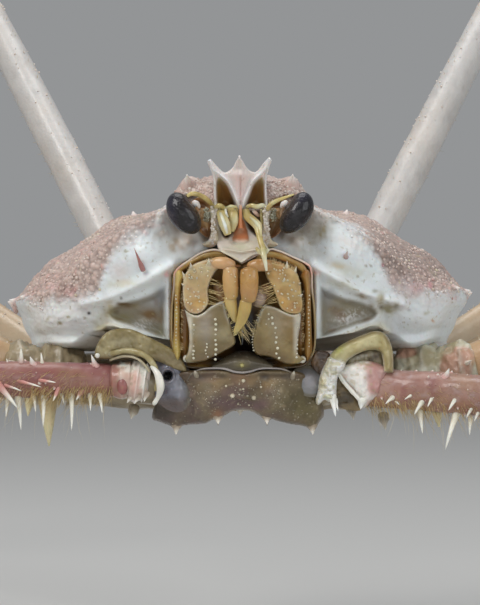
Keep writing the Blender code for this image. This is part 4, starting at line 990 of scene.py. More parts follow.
    # The middle spine runs back into the shell; a granular mound carries the small spine over each eye.
    spine(bag, A(0, 5.6, 12.6), at(239.5, 156.4, -2.9), 1.5, A(0.70, 0.52, 0.48), A(0.85, 0.76, 0.74), sides=20, rings=24, sink=1.2, bend=0.10, bend_dir=A(0, 0, -1), power=1.15)
    for s, x, y in ((-1, 187.0, 174.4), (1, 292.8, 174.2)):
        spine(bag, at(x + s * -1.0, 184, 3.4), at(x, y, 1.9), 0.62, A(0.66, 0.49, 0.44), A(0.84, 0.78, 0.74), sides=14, rings=14, sink=1.0, power=0.9)
    return bag


def build_mounds():
    """The swollen brow on each side between the horn and the outer edge of the eye socket."""
    bag = Bag()
    for s in (-1, 1):
        X = lambda u: 240.2 + s * u
        poly = outline([(X(24.5), 180.5), (X(30), 180.0), (X(37), 179.6), (X(44), 177.6), (X(50), 176.2), (X(55), 177.4), (X(59), 182), (X(64.5), 190), (X(69), 196), (X(72), 203), (X(66), 202),
                        (X(58), 197), (X(50), 195.6), (X(42), 196.6), (X(33), 202.5), (X(26), 206), (X(23.5), 196)], sharp=(0,), steps=7)
        if s < 0:
            poly = poly[::-1]

        def depth(x, y, d, s=s):
            u = (x - 240.2) * s
            out = 1.6 + 3.2 * smooth(200, 176, y) + 0.03 * np.maximum(0, u - 48) ** 1.4
            out = out - 0.7 * np.exp(-(((u - 50) / 7) ** 2 + ((y - 184) / 9) ** 2)) - 0.5 * np.exp(-(((u - 33) / 6) ** 2 + ((y - 188) / 8) ** 2))
            out = out + 1.5 * (1 - np.sqrt(np.clip(1 - (1 - np.clip(d / 3.0, 0, 1)) ** 2, 0, 1)))
            q = at(x, y, 0 * x)
            return out + 0.16 * noise(q, 0.55, 85) + 0.12 * noise(q, 0.28, 86)

        def colour(P, x, y, d, s=s):
            u = (x - 240.2) * s
            c = blend(np.broadcast_to(A(0.52, 0.37, 0.32), P.shape).copy(), A(0.66, 0.55, 0.49), smooth(-0.4, 0.5, noise(P, 0.5, 87)))
            c = blend(c, A(0.36, 0.25, 0.19), 0.6 * smooth(0.0, 0.6, noise(P, 0.8, 88)))
            c = blend(c, A(0.42, 0.26, 0.13), 0.75 * smooth(4.0, 0.0, d) * smooth(190, 200, y))
            return blend(c, A(0.74, 0.62, 0.56), 0.5 * np.exp(-(((u - 51) / 5) ** 2 + ((y - 180) / 4) ** 2)))

        relief(bag, poly, depth, colour, step=0.5, back=lambda x, y, d: 7.0 + 0 * x)
        rng = np.random.default_rng(36 + s)
        n = 260
        x, y = rng.uniform(poly[:, 0].min(), poly[:, 0].max(), n), rng.uniform(177, 203, n)
        d = line_distance(x, y, poly, True)[0]
        ok = inside(x, y, poly) & (d > 0.8)
        x, y, d = x[ok], y[ok], d[ok]
        P = at(x, y, depth(x, y, d))
        r = rng.uniform(0.08, 0.2, len(P))
        bumps(bag, P, np.broadcast_to(unit(A(0, -1, 0.5)), P.shape), r, r, blend(np.broadcast_to(A(0.54, 0.38, 0.34), P.shape).copy(), A(0.80, 0.72, 0.64), rng.uniform(0, 1, len(P))), DOME_SMALL)
    return bag


# ------------------------------------------------------------------ eyes, feelers and the plate under them
def build_eyes():
    eyes, stalks = Bag(), Bag()
    for s, cx, cy in ((-1, 183.6, 212.9), (1, 296.4, 212.6)):
        c = at(cx, cy + 0.9, -1.3)
        rows, cols = 56, 96
        th = np.linspace(0.02, np.pi - 0.02, rows)[:, None]
        ph = np.linspace(0, 2 * np.pi, cols, endpoint=False)[None]
        x, y, z = np.sin(th) * np.cos(ph), np.sin(th) * np.sin(ph), np.cos(th) + 0 * ph
        # kidney form: the inner side is slightly hollow where the stalk joins
        inner = np.clip(-s * x, 0, 1)
        wide = 1.46 * (1 + 0.10 * z) if s > 0 else 1.52 * (1 + 0.03 * z)
        # bean form: the upper outer side is full and the side by the feelers slightly hollow
        q = np.stack([x * wide * (1 - 0.13 * inner * np.exp(-((z - 0.25) / 0.45) ** 2)) - s * 0.16 * (z ** 2 - 0.3), y * 1.5, z * 2.42], -1)
        a = math.radians(s * 33.0)
        R = np.array([[math.cos(a), 0, math.sin(a)], [0, 1, 0], [-math.sin(a), 0, math.cos(a)]])
        P = q @ R.T + c
        C = blend(np.broadcast_to(A(0.004, 0.003, 0.004), P.shape).copy(), A(0.020, 0.016, 0.020), smooth(-0.1, 0.8, fbm(P, 0.9, 80)) * 0.8)
        # painted reflections: a violet sheen on the upper outer side and lighter patches on the side that faces the
        # front
        C = blend(C, A(0.042, 0.040, 0.066), 0.6 * smooth(0.1, 0.8, (z * 0.6 - x * 0.7) * np.ones_like(z)) * smooth(0.1, -0.5, y * np.ones_like(z)))
        C = blend(C, A(0.060, 0.054, 0.064), 0.6 * smooth(0.35, 0.8, noise(P, 0.35, 81)) * smooth(-0.2, 0.6, -y * np.ones_like(z)))
        C = blend(C, A(0.030, 0.017, 0.010), smooth(0.2, 0.9, inner * np.ones_like(z)))
        eyes.grid(P, C, wrap=True, caps=True)
        # stalk from the head out to the eye's inner side
        a0, a1 = A(s * 2.9, 1.9, 9.2), c + A(-s * 0.8, 0.75, -0.05)
        pts = path([a0, (a0 + a1) / 2 + A(0, -0.2, 0.1), a1], 24)
        t = np.linspace(0, 1, 24)
        r = 0.85 - 0.2 * np.sin(np.pi * t) + 0.45 * smooth(0.6, 1.0, t)
        col = blend(np.broadcast_to(A(0.40, 0.27, 0.13), (24, 3)).copy(), A(0.30, 0.17, 0.08), smooth(0.3, 0.9, t))
        tube(stalks, path([at(240.2 + s * 48, 202, -0.9), at(240.2 + s * 44, 204, -1.0), at(240.2 + s * 41.0, 208, -0.7)], 12), [0.12, 0.2, 0.28, 0.32, 0.34, 0.36, 0.36, 0.34, 0.3, 0.26, 0.2, 0.12], A(0.68, 0.61, 0.58), sides=12)
        tube(stalks, pts, r, col, sides=24)
        # granular pale column of the feeler's basal piece, from the brow down to the cheek
        X = lambda u: 240.2 + s * u
        poly = outline([(X(24), 205), (X(28), 206.5), (X(30.5), 211), (X(29.5), 218), (X(28.8), 226), (X(29.5), 233), (X(32), 240), (X(38), 244), (X(34), 247), (X(27), 247), (X(22.5), 243),
                        (X(22.0), 234), (X(23.4), 226), (X(23.0), 214)], steps=6)
        if s < 0:
            poly = poly[::-1]
        skin = lambda x, y, d: 0.1 - 0.5 * np.sqrt(np.clip(d / 3.2, 0, 1)) + 0.16 * noise(at(x, y, 0 * x), 0.4, 93) + 0.8 * smooth(236, 247, y)
        relief(stalks, poly, skin, lambda P, x, y, d: blend(blend(np.broadcast_to(A(0.66, 0.58, 0.42), P.shape).copy(), A(0.80, 0.72, 0.66), smooth(-0.3, 0.5, noise(P, 0.5, 94))), A(0.52, 0.36, 0.22), 0.5 * smooth(0.2, 0.7, noise(P, 0.7, 95))), step=0.45, thick=3.0)
        rng = np.random.default_rng(90 + s)
        for k in range(34):
            y = 207 + 1.1 * k
            p = at(X(26.2 + 2.6 * wobble(k, 7 + s) + (0.16 * max(0, y - 234))), y, -0.42 + 0.8 * float(smooth(236, 247, y)))
            bumps(stalks, p[None], unit(A(s * 0.3, -1, 0.2))[None], rng.uniform(0.09, 0.2), rng.uniform(0.06, 0.15), blend(A(0.66, 0.54, 0.40)[None], A(0.80, 0.72, 0.64), A(rng.uniform(0, 1))), BEAD)
        # fuzzy grey-green pad between the column and the stalk
        for k in range(130):
            r = rng.uniform(0, 5.0) ** 1.0
            w = rng.uniform(0, 2 * np.pi)
            p = at(X(33.6) + r * math.cos(w) * 0.8, 215 + r * math.sin(w) * 1.5, -0.25 + 0.05 * r + rng.uniform(-0.1, 0.1))
            bumps(stalks, p[None], unit(A(0, -1, 0.1))[None], rng.uniform(0.07, 0.13), rng.uniform(0.06, 0.15), blend(A(0.30, 0.27, 0.17)[None], A(0.56, 0.54, 0.40), A(rng.uniform(0, 1))), DOME_SMALL)
    return eyes, stalks


def build_brow(bag):
    """Red-brown hollow skin of the socket, between the feelers' columns and the eyes."""
    for s in (-1, 1):
        poly = outline([(240.2 + s * u, y) for u, y in ((27, 203), (34, 198), (44, 198), (52, 205), (53, 214), (48, 223), (42, 230), (36, 236), (30, 238), (26, 230), (26, 214))])
        # the skin darkens towards the bottom, under the eye: painted shade
        relief(bag, poly if s > 0 else poly[::-1], lambda x, y, d: 1.6 + 1.2 * smooth(0, 9, d) + 0.2 * noise(at(x, y, 0 * x), 0.7, 95),
               lambda P, x, y, d: blend(blend(np.broadcast_to(A(0.26, 0.125, 0.05), P.shape).copy(), A(0.42, 0.27, 0.13), smooth(-0.2, 0.6, noise(P, 0.9, 96))), A(0.14, 0.06, 0.03), 0.7 * smooth(226, 238, y)), step=0.6, thick=2.2)


def build_feelers():
    bag = Bag()
    # antennule folded in its socket (picture left), and the one that hangs down (picture right)
    def lobe(points, widths, depths, colours, flat=0.7, n=40):
        pts = path([at(x, y, dd) for (x, y), dd in zip(points, depths)], n)
        r = np.interp(np.linspace(0, 1, n), np.linspace(0, 1, len(widths)), widths) * 0.105
        col = np.stack([np.interp(np.linspace(0, 1, n), np.linspace(0, 1, len(colours)), np.array(colours)[:, k]) for k in range(3)], -1)
        tube(bag, pts, r, col, sides=20, flat=flat, hint=A(0, 1, 0))

    cream, pale, yel, olive = A(0.62, 0.56, 0.32), A(0.74, 0.72, 0.52), A(0.56, 0.45, 0.18), A(0.36, 0.29, 0.09)
    lobe([(219.0, 207.0), (221.4, 214), (224.8, 224), (228.0, 234.5)], (3.0, 4.9, 5.4, 3.6), (0.5, -0.6, -1.1, -0.9), (olive, yel, cream, yel))
    lobe([(218.6, 209), (221.6, 216), (225.2, 226), (227.2, 233.4)], (1.0, 1.5, 1.7, 1.1), (-0.2, -1.25, -1.75, -1.35), (cream, pale, A(0.78, 0.80, 0.74), pale), flat=0.6)
    lobe([(216.6, 213), (218.6, 221), (221.6, 229), (225.6, 235)], (0.7, 0.8, 0.8, 0.6), (0.1, -0.6, -0.9, -0.8), (olive, yel, olive, olive), flat=0.6)
    lobe([(229.6, 206.5), (232.8, 214), (233.8, 222), (232.0, 231.5)], (3.0, 5.2, 4.6, 2.0), (0.7, 0.2, 0.0, 0.1), (yel, yel, cream, yel))
    lobe([(236.6, 208), (237.2, 215), (236.8, 223)], (1.2, 1.6, 1.0), (0.6, 0.2, 0.3), (yel, olive, yel))
    lobe([(214.6, 209.0), (218.4, 205.6), (222.0, 206.4), (225.0, 208.6)], (1.8, 2.4, 2.2, 1.4), (0.0, -0.9, -0.8, -0.4), (cream, yel, olive, cream))
    lobe([(226.4, 207.8), (231.0, 206.2), (236.6, 207.0)], (1.0, 1.6, 1.2), (-0.2, -0.5, -0.1), (cream, cream, yel))
    lobe([(225.4, 209), (226.2, 213), (228.0, 217)], (0.9, 1.1, 0.7), (-0.9, -1.3, -1.1), (pale, A(0.80, 0.80, 0.74), pale))
    lobe([(245.6, 209.5), (247.6, 216), (252.5, 220.6), (257.6, 226), (259.0, 234), (261.0, 243), (263.6, 249.5)], (3.6, 4.4, 4.6, 4.6, 3.0, 2.8, 3.4), (0.6, 0.2, -0.6, -1.4, -2.0, -2.6, -3.0), (yel, yel, yel, cream, yel, yel, olive))
    lobe([(250.0, 217), (256.0, 222.5), (260.2, 229), (261.0, 237)], (1.0, 1.5, 1.6, 0.9), (-0.8, -1.6, -2.3, -2.4), (cream, pale, cream, yel), flat=0.6)
    lobe([(256.2, 248), (260.6, 252.4), (264.6, 252.4), (268.4, 249.6)], (1.4, 2.6, 2.8, 1.6), (-2.4, -3.1, -3.2, -2.6), (yel, cream, cream, pale))
    lobe([(262.6, 249), (263.8, 255), (265.4, 263), (266.6, 271)], (3.4, 2.9, 1.9, 1.0), (-3.1, -3.5, -3.7, -3.7), (yel, cream, pale, pale))
    lobe([(246, 206.6), (251.5, 205.4), (257, 206.6), (262.6, 205.4), (266, 208.5)], (1.4, 2.2, 2.4, 2.2, 1.6), (0.4, -0.4, -0.5, -0.4, 0.1), (cream, yel, cream, pale, cream))
    lobe([(253.0, 209.5), (255.6, 213), (259.4, 216.5)], (1.6, 2.1, 1.3), (0.3, 0.0, 0.2), (A(0.80, 0.76, 0.70), A(0.72, 0.46, 0.36), BROWN))
    lobe([(261.6, 209), (261.2, 216), (262.4, 224)], (1.6, 1.5, 1.0), (0.3, 0.2, 0.4), (cream, yel, olive))
    # antennae: a thick yellow arc over one eye and a thinner straight one over the other
    lobe([(213, 206.5), (209.5, 202), (204, 197.4), (197, 194.2), (191, 193.8), (187.2, 196.4)], (2.2, 2.6, 2.6, 2.4, 2.2, 1.4), (0.6, -0.6, -1.6, -2.3, -2.6, -2.6), (yel, olive, yel, olive, yel, yel), flat=0.8)
    lobe([(266.5, 212), (269.0, 206.5), (273.5, 202.4), (280, 199.4), (287, 196.8), (294, 194.4)], (2.2, 2.4, 2.2, 1.8, 1.4, 0.8), (0.2, -0.8, -1.8, -2.4, -2.8, -3.0), (cream, yel, cream, yel, yel, yel), flat=0.8)
    lobe([(240.5, 205), (240.6, 212), (240.6, 220), (240.8, 228)], (1.6, 1.5, 1.8, 3.0), (-0.2, 0.0, 0.1, 0.2), (A(0.70, 0.44, 0.34), A(0.62, 0.26, 0.12), A(0.58, 0.20, 0.07), A(0.60, 0.20, 0.07)), flat=0.8)
    return bag


def build_epistome():
    bag = Bag()
    poly = outline([(214, 206), (240, 208), (267.5, 206), (268.5, 222), (266, 240), (268.5, 250), (260, 253.6), (252, 256.4), (241.6, 263.2), (232, 257.6),
                    (219.6, 250.8), (216, 240), (213.6, 222)], sharp=(8,), steps=7)
    shield = outline([(236.6, 221), (240.8, 218), (245, 221), (249.5, 238), (247.5, 243), (241, 244.5), (234, 243), (231.6, 238)])
    pit_l = outline([(217, 208), (238, 209), (238.6, 222), (234, 233), (227, 239.5), (220.5, 233)])
    pit_r = outline([(243, 209), (263, 208), (263.5, 226), (259.5, 238), (252.5, 234), (246.5, 226)])

    def depth(x, y, d):
        out = 1.3 - 1.9 * smooth(228, 250, y) + 0.0 * x
        hl = np.where(inside(x, y, pit_l), line_distance(x, y, pit_l, True)[0], 0) + np.where(inside(x, y, pit_r), line_distance(x, y, pit_r, True)[0], 0)
        out = out + 1.4 * (1 - np.exp(-(hl / 2.5) ** 1.4))
        ds = np.where(inside(x, y, shield), line_distance(x, y, shield, True)[0], 0)
        out = out - 0.55 * (1 - np.exp(-(ds / 2.2) ** 1.5))
        out = out - 0.35 * np.exp(-((y - 252 - np.abs(x - 241) * -0.18) / 1.6) ** 2) * smooth(22, 14, np.abs(x - 241))   # lip across the plate
        out = out - 0.45 * np.exp(-(line_distance(x, y, [(219.6, 250.8), (241.6, 263.2), (268.5, 250)])[0] / 1.5) ** 2)
        out = out + 0.10 * noise(at(x, y, 0 * x), 0.8, 101)
        return out + 0.5 * (1 - np.sqrt(np.clip(1 - (1 - np.clip(d / 1.5, 0, 1)) ** 2, 0, 1)))

    def colour(P, x, y, d):
        c = np.broadcast_to(A(0.72, 0.66, 0.58), P.shape).copy()
        c = blend(c, A(0.78, 0.66, 0.72), 0.35 * smooth(0.0, 0.7, noise(P, 1.2, 110)))
        c = blend(c, A(0.66, 0.64, 0.42), 0.5 * np.exp(-(((x - 241) / 9) ** 2 + ((y - 247) / 4) ** 2)))
        pits = np.where(inside(x, y, pit_l), line_distance(x, y, pit_l, True)[0], 0) + np.where(inside(x, y, pit_r), line_distance(x, y, pit_r, True)[0], 0)
        c = c + (A(0.13, 0.07, 0.03) - c) * smooth(0.5, 2.5, pits)[..., None]
        ds = np.where(inside(x, y, shield), line_distance(x, y, shield, True)[0], 0)
        red = blend(np.broadcast_to(A(0.70, 0.27, 0.13), P.shape).copy(), A(0.78, 0.47, 0.31), smooth(0, 1, noise(P, 0.7, 111)))
        c = c + (red - c) * (smooth(0.0, 1.6, ds) * smooth(244, 237, y))[..., None]
        c = blend(c, A(0.84, 0.76, 0.62), np.exp(-(line_distance(x, y, [(219.6, 250.8), (241.6, 263.2), (268.5, 250)])[0] / 1.8) ** 2))
        return c * A(0.92, 0.91, 0.86)

    relief(bag, poly, depth, colour, step=0.45, back=lambda x, y, d: 4.2 + 0 * x)
    return bag


# ------------------------------------------------------------------ the mouth
def mouth_depth(y):
    """The mouth leans back from its upper edge."""
    return 0.1 + (y - 255) * 0.045


def build_mouth():
    frame_bag, jaws, palps, bristles = Bag(), Bag(), Bag(), Bag()
    # back wall of the mouth: brown, nearly black in the middle and at the foot as painted shade
    hole = outline([(172, 283), (175, 270), (189.5, 259), (204, 250.6), (219.5, 249.6), (241.8, 262), (267.5, 249), (279, 250), (292, 255.6), (305.5, 262), (312, 268.5),
                    (313.5, 290), (316, 314), (315.5, 346), (308, 360), (297, 366), (241, 368), (186, 366), (176, 358), (170.5, 344), (170, 314)], sharp=(5,), steps=6)

    def wall_colour(P, x, y, d):
        c = blend(np.broadcast_to(A(0.30, 0.155, 0.045), P.shape).copy(), A(0.50, 0.30, 0.09), smooth(-0.2, 0.6, noise(P, 1.3, 120)))
        # painted shade between the plates and at the foot of the mouth
        dark = np.exp(-(((x - 245) / 17) ** 2 + ((y - 335) / 28) ** 2))
        c = blend(c, A(0.02, 0.012, 0.008), np.clip(dark * 1.6, 0, 1))
        c = blend(c, A(0.015, 0.01, 0.008), 0.9 * smooth(350, 360, y) * smooth(40, 25, np.abs(x - 243)))
        return c

    relief(frame_bag, hole, lambda x, y, d: mouth_depth(y) + 1.2 + 2.2 * smooth(0, 9, d), wall_colour, step=0.8, back=lambda x, y, d: mouth_depth(y) + 4.4 + 0 * x)
    # rim round the mouth
    pts = outline([(174.4, 284), (175.8, 271.5), (189.5, 260.2), (204, 251.8), (219.5, 250.6), (241.8, 263), (267.5, 250), (279, 251), (292, 256.6), (305, 262.8), (311, 269.5),
                   (312, 290), (314.5, 314), (314.6, 346), (309, 359), (300, 366), (270, 368.5), (241, 369.5), (212, 368.5), (185, 366), (177, 357), (172.6, 344), (171.8, 314)], sharp=(5,), steps=8)
    ring = np.stack([at(x, y, mouth_depth(y) - 0.25 + 0.5 * smooth(262, 300, y)) for x, y in pts])
    ring = np.concatenate([ring, ring[:1]])
    rp = np.concatenate([pts, pts[:1]])
    k = smooth(300, 285, rp[:, 1])[:, None]
    col = A(0.40, 0.30, 0.16) * (1 - k) + A(0.68, 0.54, 0.45) * k
    edge = smooth(12, 4, np.hypot(np.abs(rp[:, 0] - 242.5) - 69, rp[:, 1] - 268))[:, None]
    col = col + (A(0.80, 0.42, 0.36) - col) * edge
    foot = smooth(352, 362, rp[:, 1])[:, None]
    col = col + (A(0.13, 0.085, 0.045) - col) * foot
    tube(frame_bag, ring, 0.11 + 0.0 * k[:, 0], col, sides=12, flat=1.2, hint=A(0, 1, 0), caps=False)
    for s in (-1, 1):
        X = lambda u: 242.0 + s * u
        arch = outline([(X(67.0), 273.5), (X(61.5), 264.5), (X(50), 258.6), (X(38), 252.8), (X(24), 250.8), (X(14), 256), (X(16), 262), (X(24), 258.6), (X(36), 259.6), (X(48), 264.6), (X(58), 271), (X(63.5), 281)], sharp=(0,), steps=6)
        if s < 0:
            arch = arch[::-1]
        relief(frame_bag, arch, lambda x, y, d: mouth_depth(y) + 0.55 - 0.35 * np.sqrt(np.clip(d / 2.6, 0, 1)) + 0.06 * noise(at(x, y, 0 * x), 0.5, 133),
               lambda P, x, y, d: blend(blend(np.broadcast_to(A(0.42, 0.27, 0.08), P.shape).copy(), A(0.58, 0.40, 0.14), smooth(-0.3, 0.5, noise(P, 1.1, 134))), A(0.28, 0.14, 0.04), smooth(1.6, 0.2, d)), step=0.5, thick=1.2)
        # lip of flesh over the jaw feet
        lip = outline([(X(15), 262.5), (X(24), 259.4), (X(36), 261.4), (X(46), 266), (X(54), 272), (X(50), 276), (X(38), 270), (X(24), 268), (X(12), 270), (X(3), 268), (X(2), 265)], steps=6)
        if s < 0:
            lip = lip[::-1]
        relief(frame_bag, lip, lambda x, y, d: mouth_depth(y) + 0.15 - 0.6 * np.sqrt(np.clip(d / 3.0, 0, 1)) + 0.08 * noise(at(x, y, 0 * x), 0.6, 135),
               lambda P, x, y, d: blend(np.broadcast_to(A(0.46, 0.22, 0.09), P.shape).copy(), A(0.62, 0.38, 0.20), smooth(-0.3, 0.5, noise(P, 0.9, 136))), step=0.5, thick=1.6)

    # long strips beside the jaw feet
    for s in (-1, 1):
        # the right-hand strip is darker amber as painted shade; the left one slightly paler
        tone = A(1.04, 1.06, 0.9) if s < 0 else A(0.58, 0.45, 0.32)
        xs = lambda u: 242.6 + s * u
        strip = outline([(xs(58.0), 276), (xs(62.5), 269.5), (xs(67.0), 272), (xs(68.0), 282), (xs(68.2), 300), (xs(69.0), 330), (xs(69.5), 350), (xs(65), 361), (xs(61.5), 352), (xs(62.5), 330), (xs(62.2), 300), (xs(60.5), 284)])
        relief(frame_bag, strip, lambda x, y, d: mouth_depth(y) - 0.1 - 0.75 * np.sqrt(np.clip(d / 3.5, 0, 1)) + 0.08 * noise(at(x, y, 0 * x), 0.6, 130),
               lambda P, x, y, d: blend(blend(np.broadcast_to(A(0.46, 0.31, 0.10), P.shape).copy(), A(0.62, 0.46, 0.18), smooth(0, 3, d)), A(0.36, 0.17, 0.05), smooth(-0.1, 0.7, noise(P, 1.6, 131)) * 0.6) * tone, step=0.5, thick=1.6)
        band = outline([(xs(55.5), 300), (xs(61.0), 296), (xs(62.2), 320), (xs(62.0), 345), (xs(59.0), 361), (xs(54.5), 352), (xs(53.5), 325)])
        relief(frame_bag, band, lambda x, y, d: mouth_depth(y) + 0.75 - 0.2 * np.sqrt(np.clip(d / 3, 0, 1)),
               lambda P, x, y, d: blend(np.broadcast_to(A(0.33, 0.15, 0.035), P.shape).copy(), A(0.50, 0.25, 0.06), smooth(-0.2, 0.7, noise(P, 1.2, 132))), step=0.6, thick=1.2)
        for kk in range(15):
            y = 296 + kk * 3.6 + 0.6 * wobble(kk, 5)
            p = at(xs(66.3 + 0.5 * wobble(kk, 6)), y, mouth_depth(y) - 0.78)
            bumps(frame_bag, p[None], A(0, -1, 0.1)[None], 0.10, 0.10, A(0.72, 0.62, 0.42), BEAD)

    # jaw-foot plates: upper (merus) and lower (ischium)
    merus_l = outline([(184.4, 276), (191.2, 266.2), (200, 261.4), (212.4, 259.4), (219.2, 266.4), (213.2, 275), (208.2, 289), (208.4, 303), (202.4, 311.6), (194.8, 314.0), (187.2, 310.8), (183.6, 303), (182.6, 288)])
    merus_r = outline([(269.4, 262.2), (279, 263.8), (286.8, 266.2), (295.8, 271.4), (300.2, 282), (301.8, 295.6), (302.8, 305), (300, 313), (289.6, 313.6), (281, 308.6), (276.8, 299), (272.4, 287.4), (266.2, 276.8), (265, 267.4)])
    ischium_l = outline([(184.6, 309.5), (194.8, 315.0), (202.4, 312.8), (210.5, 306.4), (219, 302), (224.4, 300.8), (227.6, 313.7), (231.8, 327.3), (235.4, 340), (233.6, 345.6), (223, 352),
                         (210.5, 358.2), (204.2, 361.2), (188.4, 363), (184.4, 359), (188.2, 350.5), (189.2, 334.7), (187.2, 320)], sharp=(5, 0))
    ischium_r = outline([(265.4, 305), (273.8, 306.6), (284.2, 311.4), (292.6, 314.4), (300.2, 313.2), (300.4, 324.2), (298.2, 340), (298.2, 353.7), (305.4, 359), (301, 363), (286.3, 364),
                         (270.5, 357), (257.9, 355), (253.5, 349.4), (252.4, 340), (254.5, 329.4), (257.8, 317.9), (261, 309.5)], sharp=(0,))

    def merus_colour(s):
        def f(P, x, y, d):
            c = blend(np.broadcast_to(A(0.56, 0.40, 0.19), P.shape).copy(), A(0.66, 0.54, 0.32), smooth(-0.5, 0.5, noise(P, 1.2, 140)))
            c = blend(c, A(0.60, 0.32, 0.18), 0.55 * smooth(278, 262, y) * smooth(-0.3, 0.4, noise(P, 0.9, 142)))
            c = blend(c, A(0.42, 0.24, 0.09), 0.5 * smooth(0.1, 0.7, noise(P, 0.7, 143)))
            c = blend(c, A(0.68, 0.42, 0.12), 0.75 * np.exp(-(((x - (200 if s < 0 else 284)) / 7) ** 2 + ((y - 303) / 6) ** 2)))
            c = blend(c, A(0.80, 0.74, 0.58), 0.5 * smooth(2.5, 0.5, d))
            c = blend(c, A(0.62, 0.36, 0.24), 0.3 * smooth(0.1, 0.7, noise(P, 0.8, 141)))
            return c * (A(1.0, 0.98, 0.95) if s < 0 else A(0.93, 0.81, 0.58))
        return f

    def ischium_colour(s):
        def f(P, x, y, d):
            c = blend(np.broadcast_to(A(0.38, 0.30, 0.145), P.shape).copy(), A(0.54, 0.48, 0.31), smooth(-0.4, 0.6, noise(P, 1.5, 150)))
            # darker towards the lower inner part: painted shade
            c = blend(c, A(0.24, 0.17, 0.075), 0.75 * smooth(336, 362, y) * smooth(10, 22, np.abs(x - (186 if s < 0 else 302))))
            c = blend(c, A(0.60, 0.40, 0.13), 0.6 * np.exp(-(((x - (193 if s < 0 else 289)) / 5) ** 2 + ((y - 328) / 14) ** 2)) * smooth(-0.3, 0.5, noise(P, 1.0, 151)))
            # pale lavender-grey sheen in the middle of each plate: painted highlight
            c = blend(c, A(0.55, 0.52, 0.52), 0.35 * np.exp(-(((x - (207 if s < 0 else 278)) / 5) ** 2 + ((y - 330) / 18) ** 2)))
            c = c * (A(0.58, 0.54, 0.44) if s < 0 else A(0.60, 0.50, 0.30))
            # more of the painted sheen in the middle
            c = blend(c, A(0.42, 0.37, 0.33) if s < 0 else A(0.40, 0.33, 0.22), 0.45 * spot(x, y, 204 if s < 0 else 277, 326, 9, 15))
            # bright upper edge: painted highlight
            c = blend(c, A(0.88, 0.86, 0.77), 0.92 * np.exp(-(d / 2.0) ** 2) * smooth(330, 314, y))
            c = blend(c, A(0.74, 0.69, 0.57), 0.72 * smooth(6.5, 1.5, np.abs(x - (188.0 if s < 0 else 298.0))) * smooth(308, 320, y) * smooth(362, 345, y))
            c = blend(c, A(0.30, 0.25, 0.17), 0.35 * smooth(0.1, 0.6, noise(P, 1.1, 152)))
            # darker still at the foot: painted shade
            c = blend(c, A(0.17, 0.115, 0.05), 0.8 * smooth(349, 363, y) * smooth(6, 12, np.abs(x - (186 if s < 0 else 302))))
            return c
        return f

    def plate_depth(cx, cy, rx, ry, lift, cut=1.6):
        def f(x, y, d):
            dome = lift * np.clip(1 - ((x - cx) / rx) ** 2 - ((y - cy) / ry) ** 2, -1, 1)
            edge = 0.75 * (1 - np.sqrt(np.clip(1 - (1 - np.clip(d / cut, 0, 1)) ** 2, 0, 1)))
            return mouth_depth(y) - 1.35 - dome + edge + 0.10 * noise(at(x, y, 0 * x), 0.9, 160) + 0.05 * noise(at(x, y, 0 * x), 0.4, 161)
        return f

    relief(jaws, merus_l, plate_depth(196, 287, 26, 40, 0.55), merus_colour(-1), step=0.5, thick=0.9)
    relief(jaws, merus_r, plate_depth(287, 287, 26, 40, 0.55), merus_colour(1), step=0.5, thick=0.9)
    relief(jaws, ischium_l, plate_depth(207, 333, 34, 42, 0.55), ischium_colour(-1), step=0.5, thick=0.9)
    relief(jaws, ischium_r, plate_depth(279, 333, 34, 42, 0.55), ischium_colour(1), step=0.5, thick=0.9)

    bead_colour = A(0.82, 0.75, 0.55)

    def beads(places, z, size=0.17, colour=bead_colour):
        for kk, (x, y) in enumerate(places):
            p = at(x, y, mouth_depth(y) - z)
            r = size * (1 + 0.25 * wobble(kk, 21))
            bumps(jaws, p[None], A(0, -1, 0.15)[None], r, r * 1.0, colour, BEAD)

    # rows of beads down the lower plates, and pale warts on the upper ones
    beads([(215.6 + 0.5 * wobble(k, 1) - (0.25 * max(0, k - 7)), 320 + 4.9 * k + 0.7 * wobble(k, 2)) for k in range(9)], 1.86, 0.145)
    beads([(194.2 - 0.12 * k + 0.4 * wobble(k, 3), 325 + 4.2 * k + 0.5 * wobble(k, 4)) for k in range(9)], 1.68, 0.145)
    beads([(208 + 3 * wobble(k, 30), 344 + 3.2 * k) for k in range(5)], 1.78, 0.10)
    beads([(273.0 + 0.65 * k + 1.4 * wobble(k, 7), 318 + 5.0 * k + 0.7 * wobble(k, 8)) for k in range(9)], 1.88, 0.145)
    beads([(297.6 - 0.1 * k + 0.5 * wobble(k, 9), 318 + 4.4 * k + 0.5 * wobble(k, 10)) for k in range(10)], 1.56, 0.135)
    beads([(268 + 4 * wobble(k, 33), 314 + 5 * k) for k in range(4)], 1.74, 0.10)
    rng = np.random.default_rng(44)
    for poly, n in ((merus_l, 34), (merus_r, 34)):
        found = []
        lo, hi = poly.min(0) + 3, poly.max(0) - 3
        while len(found) < n:
            x, y = rng.uniform(lo[0], hi[0]), rng.uniform(lo[1], hi[1])
            if inside(A(x), A(y), poly)[0] and line_distance(A(x), A(y), poly, True)[0][0] > 2.2:
                found.append((x, y))
        beads(found, 1.90, 0.11, A(0.68, 0.58, 0.37))

